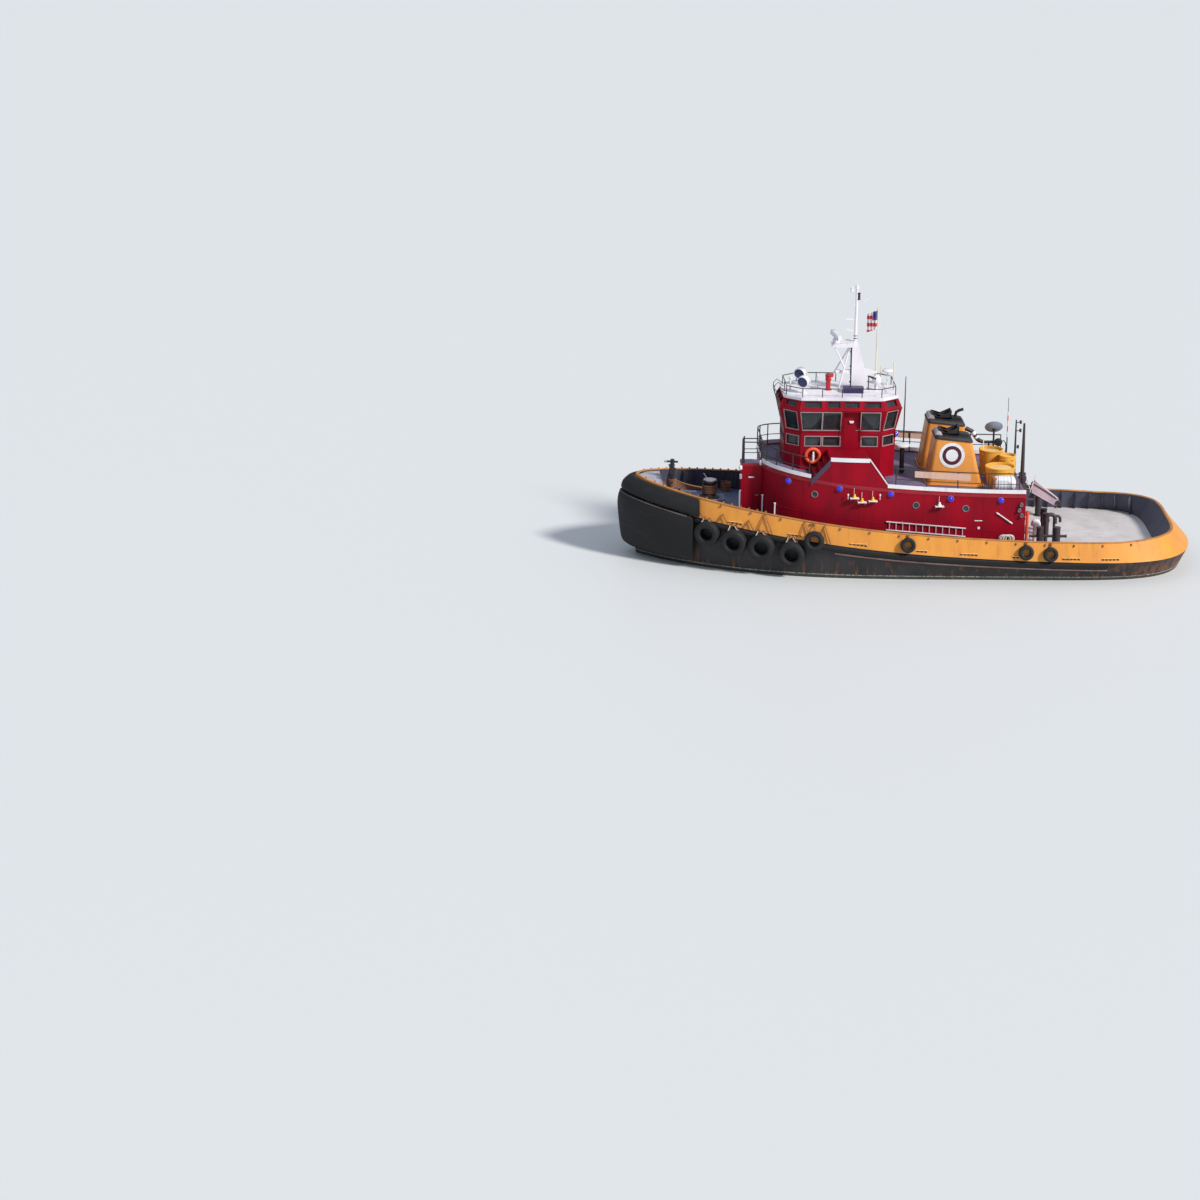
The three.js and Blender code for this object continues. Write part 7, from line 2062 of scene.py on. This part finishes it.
piece("ladder_rails", joined(ladder_parts), LADDER_METAL, replaces=("ladder",))

# King post. A stout black steel post braced to the house, with a slewing collar and a thinner
# pole above. Weathered black paint with rust at the collars.
POST_X, BOOM_X, BOOM_Z = -5.06, -5.39, 3.12
POST_BLACK = sea_paint("post black", (0.014, 0.012, 0.015), (0.05, 0.04, 0.045),
                       stain=(0.12, 0.04, 0.03), stained=0.5, chipped=0.35, gloss=0.55)
deck_at_post = float(deck_z(POST_X))
post_parts = [
    tube([(POST_X, 0, 0.7), (POST_X, 0, 2.2), (POST_X, 0, 3.68)], 0.152, 36),
    tube([(POST_X, 0, 2.87), (POST_X, 0, 2.97)], 0.212, 36),
    tube([(POST_X, 0, 3.68), (POST_X, 0, 3.74)], 0.165, 36),
    tube([(POST_X, 0, 3.7), (POST_X, 0, 4.8), (POST_X, 0, 6.0)], [0.092, 0.075, 0.046], 24),
    tube([(POST_X, 0, deck_at_post + 0.001), (POST_X, 0, deck_at_post + 0.035)], 0.29, 36)]
for a in np.arange(8) * math.pi / 4:
    post_parts.append(tube([(POST_X + 0.245 * math.cos(a), 0.245 * math.sin(a),
                             deck_at_post + 0.03),
                            (POST_X + 0.245 * math.cos(a), 0.245 * math.sin(a),
                             deck_at_post + 0.06)], 0.02, 6))
for y in (-0.15, 0.15):
    post_parts.append(tube([(POST_X, y, 1.0), (POST_X, y, 2.5)], 0.02, 8))
for z in (1.54, 3.43):
    post_parts.append(block((POST_X + 0.1, -0.045, z - 0.05), (-4.79, 0.045, z + 0.05), 0.008))
piece("king_post_column", joined(post_parts), POST_BLACK, replaces=("king_post",))
slew = [turned([(0.158, -0.15), (0.225, -0.15), (0.232, -0.13), (0.225, -0.1), (0.225, 0.1),
                (0.232, 0.13), (0.225, 0.15), (0.158, 0.15)], 40, closed=True)]
slew[0] = set_at(slew[0], [POST_X, 0, BOOM_Z])
for s in (-1, 1):
    slew.append(block((POST_X - 0.395, 0.0265 * s if s > 0 else -0.067, BOOM_Z - 0.072),
                      (POST_X - 0.19, 0.067 if s > 0 else -0.0265, BOOM_Z + 0.072), 0.006))
    slew.append(tube([(BOOM_X, 0.066 * s, BOOM_Z), (BOOM_X, 0.085 * s, BOOM_Z)], 0.035, 16))
piece("slew_band_fork", joined(slew), POST_BLACK, body="slew_band",
      replaces=("slew_band",))

# Boom. A box girder of lavender-white plate with stiffened edges, pinned to the slewing band,
# with sheaves at its end, a lifting eye under it and a pipe along its side.
BOOM_COAT = sea_paint("lavender-white boom", (0.6, 0.48, 0.53), (0.46, 0.36, 0.42),
                      stain=(0.24, 0.12, 0.12), stained=0.45, chipped=0.5, gloss=0.5)
BOOM_SHAPE = [(-0.26, 0.27), (-0.11, 0.15), (-0.11, -0.23), (-1.25, -0.87), (-1.33, -0.56)]
boom_line = [(BOOM_X + x, BOOM_Z + z) for x, z in BOOM_SHAPE]
boom_parts = [prism(boom_line, -0.152, 0.152, 0.012, axis=1),
              prism([(BOOM_X - 0.13, BOOM_Z - 0.05), (BOOM_X + 0.045, BOOM_Z - 0.05),
                     (BOOM_X + 0.052, BOOM_Z + 0.05), (BOOM_X - 0.13, BOOM_Z + 0.05)], -0.0205,
                     0.0205,
                    0.002, axis=1)]
for y in (-0.152, 0.152):
    edge = [(x, y, z) for x, z in boom_line]
    boom_parts.append(tube(edge, 0.014, 6, closed=True))
piece("boom_girder", joined(boom_parts), BOOM_COAT, body="boom", replaces=("boom",))
tip = np.array([BOOM_X - 1.27, 0, BOOM_Z - 0.72])
boom_gear = [placed(ring(0.09, 0.03, 8, 24), tip + [-0.03, 0.19, 0.02]),
             placed(ring(0.09, 0.03, 8, 24), tip + [-0.03, -0.19, 0.02]),
             tube([tip + [-0.03, -0.24, 0.02], tip + [-0.03, 0.24, 0.02]], 0.03, 14),
             placed(ring(0.055, 0.016, 8, 20), tip + [0.06, 0, -0.19]),
             tube([(BOOM_X - 0.2, 0.17, BOOM_Z + 0.16), (BOOM_X - 0.62, 0.17, BOOM_Z - 0.1),
                   (BOOM_X - 1.22, 0.17, BOOM_Z - 0.5)], 0.022, 10)]
piece("boom_sheaves", joined(boom_gear), POST_BLACK, body="boom")

# Quarter bitts and towing bitt. Black painted round posts with capped heads, joined by a
# cross bar.
BITT_BLACK = sea_paint("bitt black", (0.022, 0.018, 0.022), (0.075, 0.06, 0.065),
                       stain=(0.2, 0.08, 0.05), stained=0.45, chipped=0.3, gloss=0.5)
QUARTER_X, QUARTER_Y, QUARTER_TOP, QUARTER_BAR = (-5.53, -6.28), 3.05, 2.1, 1.7
quarter = []
for x in QUARTER_X:
    foot = float(deck_z(x))
    quarter += [tube([(x, QUARTER_Y, foot + 0.0005), (x, QUARTER_Y, QUARTER_TOP - 0.02)], 0.152,
                     32),
                tube([(x, QUARTER_Y, QUARTER_TOP - 0.03), (x, QUARTER_Y, QUARTER_TOP + 0.006),
                      (x, QUARTER_Y, QUARTER_TOP + 0.02)], [0.165, 0.165, 0.13], 32),
                tube([(x, QUARTER_Y, foot + 0.0005), (x, QUARTER_Y, foot + 0.03)], 0.21, 32)]
quarter += [tube([(-5.06, QUARTER_Y, QUARTER_BAR), (-6.71, QUARTER_Y, QUARTER_BAR)], 0.062, 18),
            tube([(-5.06, QUARTER_Y, QUARTER_BAR), (-5.09, QUARTER_Y, QUARTER_BAR)], 0.08, 18),
            tube([(-6.68, QUARTER_Y, QUARTER_BAR), (-6.71, QUARTER_Y, QUARTER_BAR)], 0.08, 18)]
quarter = joined(quarter)
for label, s in (("port", 1), ("starboard", -1)):
    piece(f"quarter_bitts_{label}_posts", on_side(quarter, s),
          BITT_BLACK, replaces=(f"quarter_bitts_{label}",))
TOW_X, TOW_HALF, TOW_TOP, TOW_BAR = -6.15, 0.38, 2.0, 1.75
tow_foot = float(deck_z(TOW_X))
tow = []
for s in (-1, 1):
    y = TOW_HALF * s
    tow += [tube([(TOW_X, y, tow_foot + 0.0005), (TOW_X, y, TOW_TOP - 0.01)], 0.142, 32),
            tube([(TOW_X, y, TOW_TOP - 0.03), (TOW_X, y, TOW_TOP + 0.006),
                  (TOW_X, y, TOW_TOP + 0.02)],
                 [0.155, 0.155, 0.12], 32),
            tube([(TOW_X, y, tow_foot + 0.0005), (TOW_X, y, tow_foot + 0.03)], 0.2, 32),
            tube([(TOW_X, 0.6 * s, TOW_BAR), (TOW_X, 0.64 * s, TOW_BAR)], 0.135, 24)]
tow.append(tube([(TOW_X, -0.63, TOW_BAR), (TOW_X, 0.63, TOW_BAR)], 0.112, 28))
piece("tow_bitt_posts", joined(tow), BITT_BLACK, replaces=("tow_bitt",))

# Fittings round the king post. A dark hose wound on the post, two white rods, a white mushroom
# vent, black gooseneck vents, grey valves and a red fire main at the corner of the house.
a = np.linspace(0, 2 * math.pi * 5, 160)
spiral = np.stack([POST_X + 0.173 * np.cos(a), 0.173 * np.sin(a),
                   3.36 + 0.042 * a / (2 * math.pi)], -1)
stowed = piece("stowed_hose", tube(spiral, 0.02, 8), SOOT_BLACK, smooth=70)
rods = [tube([(-5.32, 0.75, 3.2), (-5.14, 0.75, 3.83)], 0.02, 8),
        tube([(-5.3, 1.0, 3.15), (-5.52, 1.0, 3.9)], 0.02, 8)]
piece("stern_rods", joined(rods), SHIP_WHITE)
goosenecks = []
for x, y, r, high in ((-5.9, 2.2, 0.09, 2.45), (-6.3, 1.9, 0.06, 2.3)):
    foot = float(deck_z(x)) + 0.001
    a = np.linspace(0, math.pi, 9)
    bend = [(x - 2.2 * r * (1 - math.cos(k)), y, high - 2.2 * r + 2.2 * r * math.sin(k))
            for k in a]
    goosenecks += [tube([(x, y, foot), (x, y, foot + 0.3), *bend,
                         (bend[-1][0], y, high - 4.5 * r)], r, 16),
                   tube([(x, y, foot), (x, y, foot + 0.03)], r * 1.8, 20)]
piece("stern_goosenecks", joined(goosenecks), POST_BLACK)
stern_vent = mushroom(-5.55, 1.5, float(deck_z(-5.55)), 1.05, 0.22)
piece("stern_vent", stern_vent, SHIP_WHITE)
valves = []
for x, z in ((-4.6, 3.22), (-4.52, 2.98), (-4.63, 2.74)):
    valves += [tube([(x, HOUSE_HALF, z), (x, HOUSE_HALF + 0.1, z)], 0.04, 14),
               placed(ring(0.07, 0.014, 6, 22), (x, HOUSE_HALF + 0.13, z)),
               tube([(x, HOUSE_HALF + 0.1, z), (x, HOUSE_HALF + 0.14, z)], 0.02, 8),
               tube([(x, HOUSE_HALF + 0.06, z - 0.09), (x, HOUSE_HALF + 0.06, z + 0.09)], 0.05,
                    16)]
piece("fire_valves", joined(valves), GREY_METAL)
MAIN_X, MAIN_Y = -4.93, 3.14
main_foot = float(deck_z(MAIN_X)) + 0.001
piece("fire_main", joined([
    tube([(MAIN_X, MAIN_Y, main_foot), (MAIN_X, MAIN_Y, 1.6), (MAIN_X, MAIN_Y, 2.85)], 0.065, 18),
    tube([(MAIN_X, MAIN_Y, 2.5), (-4.8, MAIN_Y, 2.5)], 0.045, 14),
    placed(ring(0.08, 0.016, 6, 22), (MAIN_X, MAIN_Y, 1.9), (0, 0, 1), (1, 0, 0)),
    placed(ring(0.08, 0.016, 6, 22), (MAIN_X, MAIN_Y, 2.7), (0, 0, 1), (1, 0, 0))]),
    RING_RED)
